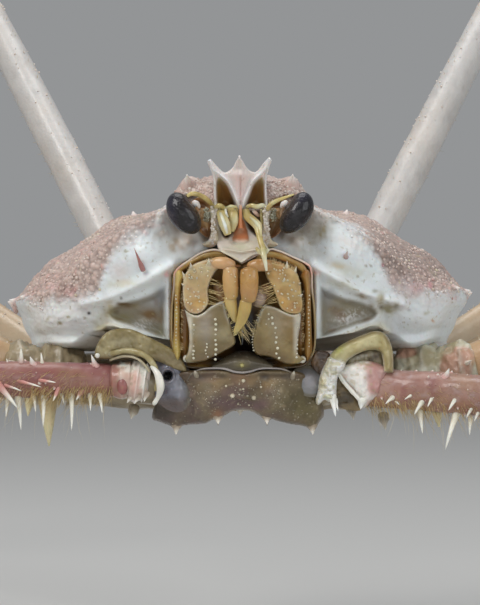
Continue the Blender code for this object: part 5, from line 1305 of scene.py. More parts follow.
    # spines on the plates
    bone = A(0.84, 0.78, 0.62)
    for bx, by, tx, ty, r in ((191.4, 268.6, 190.4, 262.6, 0.16), (208.6, 264, 209.0, 258.2, 0.17), (184.8, 277, 182.2, 271.5, 0.14), (286.6, 268.4, 287.2, 260.6, 0.17), (294.4, 273, 296.6, 266.4, 0.15),
                              (299.2, 296.4, 302.6, 294.0, 0.2), (298.4, 284, 301.0, 282.6, 0.12), (183.8, 285, 181.4, 283.6, 0.12), (196, 281, 197.2, 276.8, 0.2), (284, 282, 284.6, 277.6, 0.2)):
        spine(jaws, at(bx, by, mouth_depth(by) - 1.4), at(tx, ty, mouth_depth(ty) - 2.1), r * 1.3, A(0.74, 0.60, 0.38), bone, sides=10, rings=8, sink=0.3)
    # teeth along the inner edges of the lower plates
    for k in range(17):
        t = k / 16
        y = 306 + 44 * t
        x = np.interp(y, [305, 318, 330, 340, 350], [264.5, 257.6, 254.4, 252.4, 253.8])
        spine(jaws, at(x + 0.8, y, mouth_depth(y) - 1.2), at(x - 1.2, y + 0.5, mouth_depth(y) - 1.5), 0.14, A(0.66, 0.60, 0.42), bone, sides=7, rings=5, sink=0.2)
    # knobs at the outer foot of the lower plates
    for x, y, r in ((186.6, 358.5, 0.42), (302.2, 359.5, 0.42), (190.5, 360.5, 0.28), (298, 361, 0.28)):
        bumps(jaws, at(x, y, mouth_depth(y) - 0.9)[None], A(0, -1, -0.1)[None], r, r, A(0.74, 0.68, 0.54), BEAD)

    # palps: stout orange joints folded in the middle, the right one ending in a pointed finger
    def palp(points, widths, colours, lift, flat=0.75, n=44, tone=(1.0, 1.0, 1.0)):
        pts = path([at(x, y, mouth_depth(y) - z) for (x, y), z in zip(points, lift)], n)
        t = np.linspace(0, 1, n)
        r = np.interp(t, np.linspace(0, 1, len(widths)), widths) * 0.105
        r = r * np.clip(0.35 + 6 * np.minimum(t, 1 - t), 0, 1) ** 0.5
        col = np.stack([np.interp(t, np.linspace(0, 1, len(colours)), np.array(colours)[:, k]) for k in range(3)], -1)
        tube(palps, pts, r, col * np.array(tone), sides=24, flat=flat, hint=A(0, 1, 0))

    orange, dull, amber, lemon = A(0.66, 0.38, 0.14), A(0.60, 0.40, 0.18), A(0.70, 0.46, 0.16), A(0.68, 0.54, 0.22)
    flesh = A(0.58, 0.33, 0.15)
    palp([(209, 266), (217, 263.0), (226, 263.6), (234, 267.5)], (5.2, 6.0, 6.4, 5.4), (A(0.64, 0.44, 0.24), A(0.62, 0.37, 0.17), flesh, flesh), (0.9, 1.2, 1.4, 1.3))
    palp([(230.6, 266.5), (230.4, 277), (230.8, 288), (231.6, 299)], (7.2, 8.0, 7.9, 6.2), (flesh, A(0.62, 0.38, 0.15), A(0.60, 0.36, 0.13), A(0.60, 0.40, 0.15)), (1.4, 2.0, 2.2, 1.9))
    palp([(229.6, 295), (231.2, 304), (233.4, 313), (235.6, 322)], (6.4, 6.2, 4.8, 2.2), (A(0.58, 0.37, 0.13), A(0.58, 0.42, 0.15), A(0.60, 0.45, 0.17), A(0.62, 0.50, 0.22)), (1.8, 2.0, 1.9, 1.6))
    palp([(275, 269), (266, 265.4), (257, 265.4), (248, 268.5)], (5.0, 6.2, 6.6, 5.6), (A(0.64, 0.42, 0.22), flesh, flesh, flesh), (0.9, 1.3, 1.6, 1.5), tone=(0.84, 0.80, 0.62))
    palp([(249.2, 267.5), (249.2, 279), (249.0, 291), (248.0, 302)], (8.4, 9.4, 8.8, 6.6), (flesh, A(0.62, 0.36, 0.14), A(0.60, 0.34, 0.17), A(0.60, 0.38, 0.15)), (1.9, 2.5, 2.6, 2.3), tone=(0.80, 0.77, 0.56))
    palp([(246.2, 299), (244.8, 309), (241.2, 321), (234.6, 333.4)], (6.0, 6.4, 5.2, 1.6), (A(0.58, 0.40, 0.15), A(0.60, 0.45, 0.17), A(0.62, 0.49, 0.20), A(0.64, 0.54, 0.26)), (2.4, 2.6, 2.4, 2.0), tone=(0.87, 0.82, 0.66))
    # rounded grey-pink lobe beside the right finger, and flesh behind both palps
    palp([(256, 290), (258.6, 298), (257.6, 306)], (5.0, 8.2, 4.6), (A(0.44, 0.30, 0.22), A(0.40, 0.30, 0.24), A(0.34, 0.24, 0.16)), (0.6, 1.0, 0.7))
    palp([(216.5, 283), (220.5, 294), (227.5, 305)], (4.0, 5.6, 4.4), (A(0.34, 0.18, 0.07), A(0.40, 0.22, 0.09), A(0.36, 0.20, 0.08)), (-0.4, -0.1, 0.1))
    palp([(266.5, 284), (265.0, 294), (262, 304)], (4.6, 5.6, 4.0), (A(0.30, 0.14, 0.05), A(0.36, 0.18, 0.07), A(0.36, 0.20, 0.08)), (-0.4, -0.1, 0.1))
    for k in range(12):
        x, y = 230.5 + 6 * wobble(k, 51), 272 + 2.4 * k
        p = at(x, y, mouth_depth(y) - 2.60)
        bumps(palps, p[None], A(0, -1, 0)[None], 0.09, 0.1, A(0.82, 0.68, 0.40), BEAD)
        x, y = 249.0 + 6 * wobble(k, 52), 273 + 2.3 * k
        p = at(x, y, mouth_depth(y) - 3.06)
        bumps(palps, p[None], A(0, -1, 0)[None], 0.08, 0.1, A(0.82, 0.66, 0.40), BEAD)

    # golden bristles: from the inner edges of the upper plates, across the mouth and down
    def brush(x0, y0, x1, y1, n, way, length, z, seed, colour=A(0.66, 0.52, 0.24), spread=0.25, radius=0.035):
        r = np.random.default_rng(seed)
        t = r.uniform(0, 1, n)
        x, y = x0 + (x1 - x0) * t + r.normal(0, 0.4, n), y0 + (y1 - y0) * t + r.normal(0, 0.4, n)
        root = at(x, y, mouth_depth(y) - z + r.normal(0, 0.12, n))
        w = np.broadcast_to(A(way[0], -0.25, -way[1]), (n, 3)) + r.normal(0, spread, (n, 3))
        L = r.uniform(0.6, 1.1, n) * length
        # the face of the mouth opened out round its middle: turn, and distance over the surface
        q = root - at(242.5, 310, mouth_depth(310) - 1.5)
        turn, far = np.arctan2(q[:, 0], q[:, 2]) / (2 * np.pi) + 0.5, (np.hypot(q[:, 0], q[:, 2]) + 0.5 * np.abs(q[:, 1])) / 13.0
        pl = np.stack([0.01 + 0.97 * turn, 0.01 + 0.97 * np.clip(far, 0, 1)], -1)
        hairs(bristles, root, w, L, radius, np.minimum(np.asarray(colour) * 1.25, 0.95), droop=0.06, places=pl, seed=seed + 1)

    brush(210, 278, 208, 303, 17, (1.0, 0.30), 1.9, 1.5, 201, A(0.72, 0.57, 0.27), spread=0.16, radius=0.034)
    brush(272, 278, 278, 304, 17, (-1.0, 0.35), 1.9, 1.5, 202, A(0.72, 0.57, 0.27), spread=0.16, radius=0.034)
    brush(226, 282, 229, 300, 12, (-0.9, 0.5), 1.1, 1.8, 203, spread=0.2, radius=0.03)
    brush(256, 286, 253, 306, 15, (1.0, 0.4), 1.3, 2.0, 204, A(0.58, 0.46, 0.24), spread=0.2, radius=0.028)
    brush(223, 302, 234, 336, 30, (0.8, -0.5), 0.9, 1.6, 205, A(0.66, 0.57, 0.27), spread=0.18, radius=0.03)
    brush(266, 304, 254, 336, 26, (-0.9, -0.35), 0.9, 1.6, 206, A(0.52, 0.43, 0.22), spread=0.2, radius=0.03)
    brush(248, 314, 238, 334, 14, (0.35, 1.0), 1.2, 2.1, 207, A(0.56, 0.45, 0.20), spread=0.18, radius=0.028)
    brush(247, 318, 240, 332, 14, (0.6, 1.0), 2.0, 1.9, 208, A(0.62, 0.50, 0.28), spread=0.14, radius=0.028)
    brush(189, 272, 214, 262, 50, (0.0, -1.0), 0.7, 1.2, 209, A(0.66, 0.50, 0.26))
    brush(270, 263, 296, 272, 50, (0.0, -1.0), 0.7, 1.2, 210, A(0.66, 0.50, 0.26))
    brush(181, 290, 181, 350, 60, (0.5, 0.2), 0.45, 0.6, 211, A(0.62, 0.50, 0.28), radius=0.025)
    brush(304, 290, 304, 350, 60, (-0.5, 0.2), 0.45, 0.6, 212, A(0.62, 0.50, 0.28), radius=0.025)
    return frame_bag, jaws, palps, bristles


# ------------------------------------------------------------------ breastplate, hips and the folded tail plate
def build_thorax():
    bag, gran = Bag(), Bag()
    rows, cols = 110, 220
    th = np.linspace(0.02, np.pi - 0.02, rows)[:, None]
    ph = np.linspace(0, 2 * np.pi, cols, endpoint=False)[None]
    x, y, z = np.sin(th) * np.cos(ph), np.sin(th) * np.sin(ph), np.cos(th) + 0 * ph
    flat = np.sign(z) * np.abs(z) ** 0.6
    width = 9.3 + 1.9 * y
    P = np.stack([x * width, 23.6 + y * 18.4, -10.05 + flat * 3.55], -1)
    # cross grooves between the breast segments, a hollow along the middle and two sloping shoulders
    groove = np.zeros(P.shape[:2])
    for gy in (11.0, 16.5, 22.5, 29.0, 35.0):
        groove += np.exp(-((P[..., 1] - gy - np.abs(P[..., 0]) * 0.25) / 0.5) ** 2) * smooth(1.5, 4.0, np.abs(P[..., 0]))
    low = smooth(0.2, -0.6, z)
    P[..., 2] += 0.5 * groove * low
    # the folded tail lies in a groove that widens to the rear
    P[..., 2] += 1.8 * np.exp(-np.abs(P[..., 0] / np.interp(P[..., 1], [8, 14, 30, 42], [2.3, 2.4, 3.7, 4.3])) ** 2.6) * low
    P = P + unit(P - A(0, 23.6, -10)) * (0.12 * noise(P, 1.1, 170) + 0.08 * noise(P, 0.5, 171))[..., None]

    def paint(Q):
        c = blend(np.broadcast_to(A(0.13, 0.095, 0.06), Q.shape).copy(), A(0.26, 0.22, 0.14), smooth(-0.35, 0.5, fbm(Q, 2.2, 172)))
        c = blend(c, A(0.20, 0.14, 0.145), 0.6 * smooth(0.0, 0.6, noise(Q, 1.7, 173)))
        c = blend(c, A(0.46, 0.41, 0.31), 0.45 * smooth(0.4, 0.85, noise(Q, 0.6, 174)))
        return blend(c * A(0.82, 0.73, 0.60), A(0.58, 0.51, 0.41), 0.6 * smooth(13, 26, Q[..., 1]))

    bag.grid(P, paint(P), wrap=True, caps=True)
    # fine pale granules on the front of the breastplate
    rng = np.random.default_rng(61)
    k = rng.integers(0, rows * cols, 1800)
    Q = P.reshape(-1, 3)[k]
    N = unit(Q - A(0, 23.6, -10.0))
    ok = (Q[:, 2] < -7.2) & (Q[:, 1] < 30)
    Q, N = Q[ok], N[ok]
    sel = thin(Q, 0.42)
    Q, N = Q[sel], N[sel]
    s = rng.uniform(0.07, 0.16, len(Q))
    bumps(gran, Q, N, s, s * 0.9, blend(np.broadcast_to(A(0.30, 0.25, 0.18), Q.shape).copy(), A(0.60, 0.54, 0.43), rng.uniform(0, 1, len(Q)) * smooth(6, 22, Q[:, 1])), DOME_SMALL)
    return bag, gran, paint


def build_tail():
    """The narrow tail, folded forwards under the body: seven plates that overlap like tiles."""
    bag = Bag()
    rows, cols = 168, 52
    line = path([A(0, 13.8, -11.2), A(0, 17, -11.75), A(0, 22, -12.3), A(0, 30, -12.6), A(0, 37, -12.55), A(0, 42, -11.6), A(0, 45.5, -9.4)], rows)
    y = line[:, 1]
    half = np.interp(y, [13.8, 14.8, 17, 22, 30, 37, 42, 45.5], [0.35, 1.2, 1.8, 2.3, 3.1, 3.8, 3.5, 2.6])
    edges = np.array([13.8, 17.8, 22.0, 26.5, 31.0, 35.5, 40.0, 46.0])
    k = np.clip(np.searchsorted(edges, y, side="right") - 1, 0, 6)
    u = (y - edges[k]) / (edges[k + 1] - edges[k])
    swell = 0.26 * smooth(0.0, 0.10, u) * (1.1 - 0.55 * u)
    half = half * (0.93 + 0.10 * smooth(0.0, 0.14, u) * smooth(1.0, 0.86, u))
    ang = np.linspace(0, 2 * np.pi, cols, endpoint=False)
    cu, su = np.sign(np.cos(ang)) * np.abs(np.cos(ang)) ** 0.8, np.sin(ang)
    tan = unit(np.gradient(line, axis=0))
    down = unit(np.cross(A(1, 0, 0), tan))
    down = down * np.sign(-down[:, 2:3])
    thick = np.minimum(0.85, 0.25 + 0.45 * half)
    P = line[:, None] - down[:, None] * thick[:, None, None] + A(1, 0, 0) * (cu[None] * half[:, None])[..., None] + down[:, None] * (su[None] * (thick + swell)[:, None])[..., None]
    P = P + down[:, None] * (0.16 * np.exp(-(P[..., 0] / 0.7) ** 2) * (su[None] > 0) + 0.05 * noise(P, 0.9, 190) + 0.03 * noise(P, 0.4, 191))[..., None]
    c = blend(np.broadcast_to(A(0.50, 0.43, 0.32), P.shape).copy(), A(0.64, 0.58, 0.47), smooth(-0.4, 0.5, fbm(P, 1.6, 192)))
    c = blend(c, A(0.38, 0.28, 0.26), 0.6 * smooth(0.0, 0.6, noise(P, 1.3, 193)))
    c = blend(c, A(0.72, 0.67, 0.56), 0.7 * np.exp(-(u / 0.12) ** 2)[:, None] * np.ones(cols))
    c = blend(c, A(0.24, 0.18, 0.12), 0.8 * smooth(0.90, 1.0, u)[:, None] * np.ones(cols))
    bag.grid(P, c, wrap=True, caps=True)
    rng = np.random.default_rng(64)
    i, j = rng.integers(4, rows - 4, 420), rng.integers(2, cols // 2 - 2, 420)
    s = rng.uniform(0.05, 0.11, 420)
    bumps(bag, P[i, j], -down[i] * -1.0, s, s, blend(np.broadcast_to(A(0.60, 0.53, 0.42), (420, 3)).copy(), A(0.78, 0.72, 0.60), rng.uniform(0, 1, 420)), DOME_SMALL)
    for e in edges[1:-1] + 1.1:
        n = int(np.argmin(np.abs(y - e)))
        foot = P[n, cols // 4]
        spine(bag, foot, foot + down[n] * 0.55, 0.28, A(0.66, 0.58, 0.46), A(0.82, 0.78, 0.68), sides=10, rings=6)
    return bag


def thorax_shelf(bag):
    """The front of the breastplate under the mouth: a thin pale bracket, dark bands of painted shade under it, beads
    and low spikes.
    """
    for s in (-1, 1):
        pts = path([at(242, 372.6, 3.15), at(242 + s * 8, 371.6, 3.15), at(242 + s * 19, 368.6, 3.2), at(242 + s * 33, 368.4, 3.35), at(242 + s * 42, 369.6, 3.6), at(242 + s * 50, 373.5, 4.1), at(242 + s * 55, 381, 4.8)], 60)
        t = np.linspace(0, 1, 60)
        col = blend(np.broadcast_to(A(0.30, 0.27, 0.26), (60, 3)).copy(), A(0.13, 0.105, 0.075), smooth(0.40, 0.9, t))
        tube(bag, pts, 0.115 - 0.05 * t + 0.02 * noise(pts, 0.6, 179), col, sides=16, flat=0.8, hint=A(0, 1, 0))
    swell = outline([(212, 367), (219, 361), (228, 355.5), (236, 351.5), (243, 350.5), (250, 351.5), (258, 355.5), (267, 361), (273, 367), (258, 370), (242, 371.4), (227, 370)])
    # dark olive-grey swelling, darkest at its top under the jaw plates: painted shade
    relief(bag, swell, lambda x, y, d: 4.7 - 0.9 * np.sqrt(np.clip(d / 9.0, 0, 1)) - 0.05 * (y - 352) * 0.6 + 0.05 * noise(at(x, y, 0 * x), 0.8, 187), lambda P, x, y, d: blend(blend(np.broadcast_to(A(0.10, 0.082, 0.052), P.shape).copy(), A(0.24, 0.205, 0.085), 0.8 * np.exp(-(((x - 242) / 6) ** 2 + ((y - 365) / 3.4) ** 2))), A(0.03, 0.022, 0.015), 0.85 * smooth(362, 352, y)), step=0.6, thick=2.0)
    bumps(bag, at(242, 365.4, 3.45)[None], A(0, -1, 0.2)[None], 0.24, 0.22, A(0.42, 0.37, 0.14), BEAD)
    poly = outline([(178, 372), (200, 370), (222, 369.5), (242, 373), (262, 369.5), (284, 370.5), (304, 373), (317, 384), (322, 402), (324, 415), (318.5, 423.5), (312.6, 434.5), (306, 427), (290, 424), (277, 421), (271, 419.5),
                    (267.2, 426), (262.6, 418.5), (253, 412), (243, 410.2), (232, 411.6), (222.6, 417.5), (218, 426), (214.2, 419.4), (205, 423.5), (186, 425), (180.5, 427.5), (176, 434.5), (171.5, 427), (160, 422), (152, 418),
                    (156, 402), (166, 384)], sharp=(11, 16, 22, 27), steps=6)

    def depth(x, y, d):
        u = np.abs(x - 243)
        out = 3.7 + (y - 368) * 0.062 + 0.9 * np.exp(-(((x - 243) / 12) ** 2 + ((y - 414) / 12) ** 2))
        out = out + 0.35 * np.exp(-(((y - 376.5) / 3.4) ** 2)) * smooth(8, 22, u) * smooth(56, 40, u)
        out = out - 0.75 * np.exp(-(((u - 30) / 13) ** 2 + ((y - 401) / 14) ** 2)) - 0.45 * np.exp(-(((x - 243) / 10) ** 2 + ((y - 388) / 9) ** 2))
        out = out + 0.014 * np.maximum(0, u - 45) ** 1.2 + 0.16 * np.exp(-(((u - 51) / 4) ** 2)) * smooth(376, 392, y)
        out = out + 0.16 * noise(at(x, y, 0 * x), 1.0, 180) + 0.08 * noise(at(x, y, 0 * x), 0.45, 181)
        return out + 1.3 * (1 - np.sqrt(np.clip(1 - (1 - np.clip(d / 4.0, 0, 1)) ** 2, 0, 1)))

    def colour(P, x, y, d):
        u = np.abs(x - 243)
        c = blend(np.broadcast_to(A(0.105, 0.075, 0.05), P.shape).copy(), A(0.235, 0.20, 0.13), smooth(-0.4, 0.5, fbm(P, 2.0, 182)))
        c = blend(c, A(0.185, 0.125, 0.135), 0.65 * smooth(-0.1, 0.5, noise(P, 1.6, 183)))
        c = blend(c, A(0.24, 0.145, 0.06), 0.7 * spot(x, y, 243, 379, 16, 6))
        # dark band under the pale bracket: painted shade
        c = blend(c, A(0.04, 0.025, 0.018), 0.75 * np.exp(-(((y - 376.5) / 3.2) ** 2)) * smooth(10, 22, u) * smooth(54, 40, u))
        c = blend(c, A(0.215, 0.20, 0.075), 0.6 * spot(x, y, 302, 410, 20, 16))
        c = blend(c, A(0.30, 0.265, 0.20), 0.5 * (spot(x, y, 209, 396, 8, 14) + spot(x, y, 277, 396, 8, 14)))
        c = blend(c, A(0.50, 0.45, 0.34), 0.6 * (spot(x, y, 176, 432, 3, 5) + spot(x, y, 312.5, 432, 3, 5) + spot(x, y, 218, 424.5, 2, 3) + spot(x, y, 267, 424.5, 2, 3)))
        c = blend(c, A(0.34, 0.22, 0.09), 0.55 * (spot(x, y, 213, 384, 12, 7) + spot(x, y, 265, 383, 14, 7)) * smooth(-0.6, 0.4, noise(P, 0.9, 185)))
        c = blend(c, A(0.19, 0.11, 0.16), 0.6 * (spot(x, y, 222, 403, 15, 7) + spot(x, y, 262, 404, 9, 6)))
        c = blend(c, A(0.135, 0.12, 0.045), 0.7 * spot(x, y, 300, 404, 22, 16))
        c = blend(c, A(0.46, 0.25, 0.15), 0.7 * spot(x, y, 217, 414, 6, 5))
        c = blend(c, A(0.04, 0.028, 0.02), 0.85 * spot(x, y, 158, 410, 17, 14))
        return blend(c, A(0.46, 0.41, 0.30), 0.4 * smooth(0.5, 0.85, noise(P, 0.4, 184))) * A(0.84, 0.76, 0.64)

    relief(bag, poly, depth, colour, step=0.6, back=lambda x, y, d: 9.0 + 0 * x)
    rng = np.random.default_rng(63)
    n = 900
    x, y = rng.uniform(172, 314, n), rng.uniform(379, 424, n)
    near = spot(x, y, 209, 397, 8, 13) + spot(x, y, 277, 397, 8, 13) + 0.5 * spot(x, y, 243, 395, 8, 10) + 0.14
    ok = inside(x, y, poly) & (line_distance(x, y, poly, True)[0] > 2.5) & (rng.uniform(0, 1, n) < near)
    x, y = x[ok], y[ok]
    P = at(x, y, depth(x, y, line_distance(x, y, poly, True)[0]))
    s = rng.uniform(0.045, 0.10, len(P)) * np.where(rng.uniform(0, 1, len(P)) < 0.08, 1.7, 1.0)
    bumps(bag, P, np.broadcast_to(unit(A(0, -1, -0.2)), P.shape), s, s, blend(np.broadcast_to(A(0.27, 0.22, 0.15), P.shape).copy(), A(0.56, 0.50, 0.38), rng.uniform(0, 1, len(P))), DOME_SMALL)
    for bx, by, r, h in ((232.4, 395.7, 0.27, 0.34), (253.8, 397.6, 0.27, 0.34), (243.3, 380.6, 0.22, 0.28), (243.3, 389, 0.13, 0.14), (238, 404, 0.12, 0.12), (249, 405, 0.12, 0.12), (226, 386, 0.14, 0.15), (261, 387, 0.14, 0.15)):
        foot = at(bx, by, float(depth(A(bx), A(by), A(9.0))[0]))
        bumps(bag, foot[None], A(0, -1, -0.15)[None], r, h, A(0.64, 0.57, 0.42), BEAD)
    for bx, by, tx, ty, r, d0, d1 in ((195.6, 373, 194.8, 370.6, 0.19, 3.6, 3.2), (293.4, 374, 294.2, 371.2, 0.19, 3.8, 3.4), (352, 410, 353.4, 419.5, 0.5, 9.5, 8.8), (384, 420, 385.4, 430, 0.45, 10, 9.2), (133, 412, 131, 419, 0.45, 9.5, 8.8)):
        spine(bag, at(bx, by, d0), at(tx, ty, d1), r, A(0.30, 0.26, 0.19), A(0.66, 0.62, 0.52), sides=14, rings=10, sink=0.7)
    # short pale cones along the lower edge
    for bx, by, tx, ty, r in ((217.8, 417.5, 218.2, 424.2, 0.44), (266.8, 417.5, 267.2, 424.4, 0.42), (176.4, 427.0, 176.0, 434.8, 0.42), (312.4, 427.0, 312.8, 434.8, 0.42)):
        foot = float(depth(A(bx), A(by), A(2.0))[0])
        spine(bag, at(bx, by, foot + 0.2), at(tx, ty, foot - 0.15), r, A(0.40, 0.31, 0.22), A(0.84, 0.78, 0.68), sides=14, rings=10, sink=0.6, power=0.8)


def drum(bag, a, b, r0, r1, paint, seed, bulge=0.12, n=44, sides=48, lumps=0.09, rims=((0.82, 0.16),), squash=1.0):
    """A knobbly limb ring between two points, with raised rims round it."""
    a, b = np.array(a, float), np.array(b, float)
    t = np.linspace(0, 1, n)
    pts = a + (b - a) * t[:, None]
    r = (r0 + (r1 - r0) * t) * (1 + bulge * np.sin(np.pi * t)) * np.clip(0.55 + 5 * np.minimum(t, 1 - t), 0, 1) ** 0.4
    tan = unit(b - a)
    x = unit(np.cross(tan, A(0, 0, 1)))
    y = np.cross(x, tan)
    ang = np.linspace(0, 2 * np.pi, sides, endpoint=False)
    P = pts[:, None] + (np.cos(ang)[None, :, None] * x * squash + np.sin(ang)[None, :, None] * y) * r[:, None, None]
    ridge = sum(h * np.exp(-((t - c) / 0.05) ** 2) for c, h in rims)[:, None]
    P = P + unit(P - pts[:, None]) * (ridge + lumps * noise(P, 1.3, seed) + lumps * 0.6 * noise(P, 0.5, seed + 1))[..., None]
    bag.grid(P, paint(P, np.broadcast_to(t[:, None], P.shape[:2]), np.clip(ridge / 0.16, 0, 1) * np.ones(P.shape[:2])), wrap=True, caps=True)
    return P


def oval(bag, centre, along, across, out, colour, rows=20, cols=28):
    """A smooth knob: three half-axes as vectors."""
    th = np.linspace(0.03, np.pi - 0.03, rows)[:, None]
    ph = np.linspace(0, 2 * np.pi, cols, endpoint=False)[None]
    P = centre + (np.sin(th) * np.cos(ph))[..., None] * along + (np.sin(th) * np.sin(ph))[..., None] * across + ((np.cos(th) + 0 * ph)[..., None]) * out
    bag.grid(P, blend(np.broadcast_to(colour, P.shape).copy(), np.asarray(colour) * 1.3, smooth(-0.3, 0.5, noise(P, 0.5, 9))), wrap=True, caps=True)


def face(lift, edge, base, lumps=0.1, size=0.8, seed=0, slope=0.0, yref=0.0):
    """Depth of a swollen plate that stands lift mm out of the base depth, rounded near its edge."""
    def f(x, y, d):
        q = at(x, y, 0 * x)
        return base + slope * (y - yref) - lift * np.sqrt(np.clip(1 - (1 - np.clip(d / edge, 0, 1)) ** 2, 0, 1)) + lumps * noise(q, size, seed) + lumps * 0.6 * noise(q, size * 0.4, seed + 1)
    return f


OLIVE, LIME, IVORY, RUST = A(0.34, 0.27, 0.10), A(0.60, 0.54, 0.24), A(0.82, 0.80, 0.72), A(0.50, 0.22, 0.16)


def build_hips():
    """Hip rings of all ten limbs, and the soft grey skin beside the breastplate."""
    bag, skin = Bag(), Bag()

    def dull(P, t, ridge):
        c = blend(np.broadcast_to(A(0.20, 0.15, 0.08), P.shape).copy(), A(0.34, 0.275, 0.17), smooth(-0.4, 0.5, fbm(P, 1.8, 330)))
        return blend(c, A(0.55, 0.50, 0.40), 0.6 * ridge)

    def creamy(P, t, ridge):
        c = blend(np.broadcast_to(A(0.56, 0.48, 0.28), P.shape).copy(), A(0.76, 0.72, 0.56), smooth(-0.4, 0.5, fbm(P, 1.5, 331)))
        c = blend(c, A(0.68, 0.34, 0.24), 0.8 * smooth(0.15, 0.6, noise(P, 1.9, 332)))
        return blend(c, A(0.82, 0.78, 0.66), 0.6 * ridge) * A(0.69, 0.70, 0.70)

    for s in (-1, 1):
        for (root, hip, r0, r1), seed in zip((((8.0, 14.5, -9.8), (20.0, 15.0, -8.9), 2.3, 2.1), ((9.0, 21.0, -9.6), (21.2, 23.0, -9.3), 2.7, 2.2),
                                              ((9.0, 29.5, -9.6), (20.6, 36.6, -8.6), 2.7, 2.2), ((6.0, 37.5, -9.4), (9.6, 46.2, -7.2), 2.7, 2.2)), (300, 310, 320, 330)):
            drum(bag, A(s * root[0], root[1], root[2]), A(s * hip[0], hip[1], hip[2]), r0, r1, dull, seed, rims=((0.3, 0.1), (0.82, 0.16)))
        # knobbly cream base of the first walking leg
        base_paint = creamy if s > 0 else dull
        drum(bag, A(s * 17.6, 15.2, -8.0), A(s * 22.8, 14.4, -7.3), 2.4, 2.75, base_paint, 340 + s, lumps=0.42, rims=((0.6, 0.12),), n=60, sides=64)
        drum(bag, A(s * 22.0, 14.4, -7.5), A(s * 26.6, 13.0, -6.6), 2.35, 2.2, base_paint, 344 + s, lumps=0.36, rims=((0.7, 0.1),), n=60, sides=64)
        # first hip of the pincer, under the mouth's corner
        drum(bag, A(s * 4.5, 10.6, -9.3), A(s * 12.0, 6.8, -8.9), 2.0, 1.9, dull, 350 + s, rims=((0.5, 0.1),))

    grain = lambda c0, c1, seed, size=0.7: (lambda P, x, y, d: blend(np.broadcast_to(c0, P.shape).copy(), c1, smooth(-0.45, 0.45, noise(P, size, seed))))

    # ---- picture left
    arch = outline([(94, 358), (96, 347), (101, 338), (108, 331.5), (118, 328.5), (130, 329), (142, 333.5), (155, 340), (166, 345.5), (176, 352), (183, 361), (186, 371), (174, 369), (162, 363), (150, 359), (137, 357), (122, 357.5), (108, 359)], sharp=(0,))
    relief(bag, arch, face(0.4, 4.0, 4.6, 0.12, 0.8, 360), lambda P, x, y, d: blend(blend(blend(np.broadcast_to(A(0.30, 0.235, 0.09), P.shape).copy(), A(0.56, 0.47, 0.24), smooth(-0.4, 0.5, fbm(P, 1.3, 361))),
           A(0.62, 0.56, 0.36), 0.6 * spot(x, y, 122, 341, 13, 3.2, -6)), A(0.22, 0.16, 0.07), 0.7 * smooth(350, 357, y)) * 0.70, step=0.6, thick=2.6)
    pts = path([at(104, 356, 4.9), at(114, 353, 4.0), at(126, 350.6, 3.6), at(138, 352.5, 3.2), at(148, 358, 2.9), at(154.5, 367, 2.8), at(157.5, 379, 2.8), at(156, 391, 3.0)], 60)
    t = np.linspace(0, 1, 60)
    col = blend(blend(np.broadcast_to(A(0.52, 0.45, 0.22), (60, 3)).copy(), A(0.40, 0.32, 0.13), smooth(-0.3, 0.5, noise(pts, 0.9, 362))), A(0.76, 0.72, 0.56), 0.5 * smooth(0.2, 0.7, noise(pts, 0.5, 363)))
    tube(bag, pts, 0.21 + 0.12 * np.sin(np.pi * t) + 0.05 * noise(pts, 0.5, 364), col * 0.75, sides=20, flat=0.9, hint=A(0, 1, 0))
    pts = path([at(110, 360, 4.6), at(122, 356.5, 3.8), at(134, 357.5, 3.3), at(143, 363, 3.0), at(150, 372, 3.0)], 40)
    tube(bag, pts, 0.14 + 0.03 * noise(pts, 0.5, 365), A(0.42, 0.37, 0.25), sides=14, hint=A(0, 1, 0))
    pts = path([at(151, 366, 2.7), at(157.5, 374, 2.2), at(160.5, 386, 2.0), at(158.6, 396, 2.2), at(153.2, 405, 2.5)], 50)
    t = np.linspace(0, 1, 50)
    tube(bag, pts, (0.12 + 0.26 * np.sin(np.pi * np.minimum(1, t * 1.25)) + 0.14 * t) * np.clip(12 * (1.01 - t), 0.06, 1) ** 0.6, IVORY, sides=18, flat=0.7, hint=A(0, 1, 0))

    def ring_paint(P, t, ridge):
        x, y = seen(P)
        c = blend(np.broadcast_to(A(0.66, 0.50, 0.42), P.shape).copy(), IVORY, smooth(-0.35, 0.3, noise(P, 0.8, 370)))
        c = blend(c, A(0.62, 0.34, 0.28), 0.9 * spot(x, y, 136, 383, 5, 18, 12))
        c = blend(c, A(0.84, 0.82, 0.76), 0.9 * spot(x, y, 143, 372, 5, 14, -25))
        c = blend(c, A(0.46, 0.24, 0.17), 0.85 * smooth(134, 122, x) * smooth(-0.5, 0.2, noise(P, 0.9, 371)))
        c = blend(c, A(0.34, 0.15, 0.12), 0.9 * smooth(122, 114, x))
        c = blend(c, A(0.26, 0.20, 0.10), 0.55 * smooth(0.35, 0.7, noise(P, 0.35, 372)))
        return blend(c, A(0.86, 0.84, 0.78), 0.5 * ridge)

    drum(bag, at(149, 383, 5.4), at(129, 380, 5.3), 1.75, 2.15, ring_paint, 373, lumps=0.13, rims=((0.22, 0.26), (0.6, 0.12)), bulge=0.1)
    drum(bag, at(133, 380, 5.4), at(111, 380.8, 5.4), 2.05, 1.72, ring_paint, 376, lumps=0.10, rims=((0.5, 0.05),), bulge=0.02)
    oval(bag, at(122.5, 386, 3.75), A(0.62, 0, 0.06), A(0, -0.55, 0), A(-0.05, 0, 0.95), A(0.27, 0.095, 0.085))
    for x, y, tx, ty in ((146, 395, 144, 402), (138, 398, 134, 404), (130, 398, 127, 403)):
        spine(bag, at(x, y, 4.2), at(tx, ty, 3.9), 0.28, A(0.62, 0.50, 0.40), IVORY, sides=10, rings=7)
    for x, y, r in ((97.5, 355.5, 0.30),):
        bumps(bag, at(x, y, 4.3)[None], A(0, -1, 0.2)[None], r, r, IVORY, BEAD)
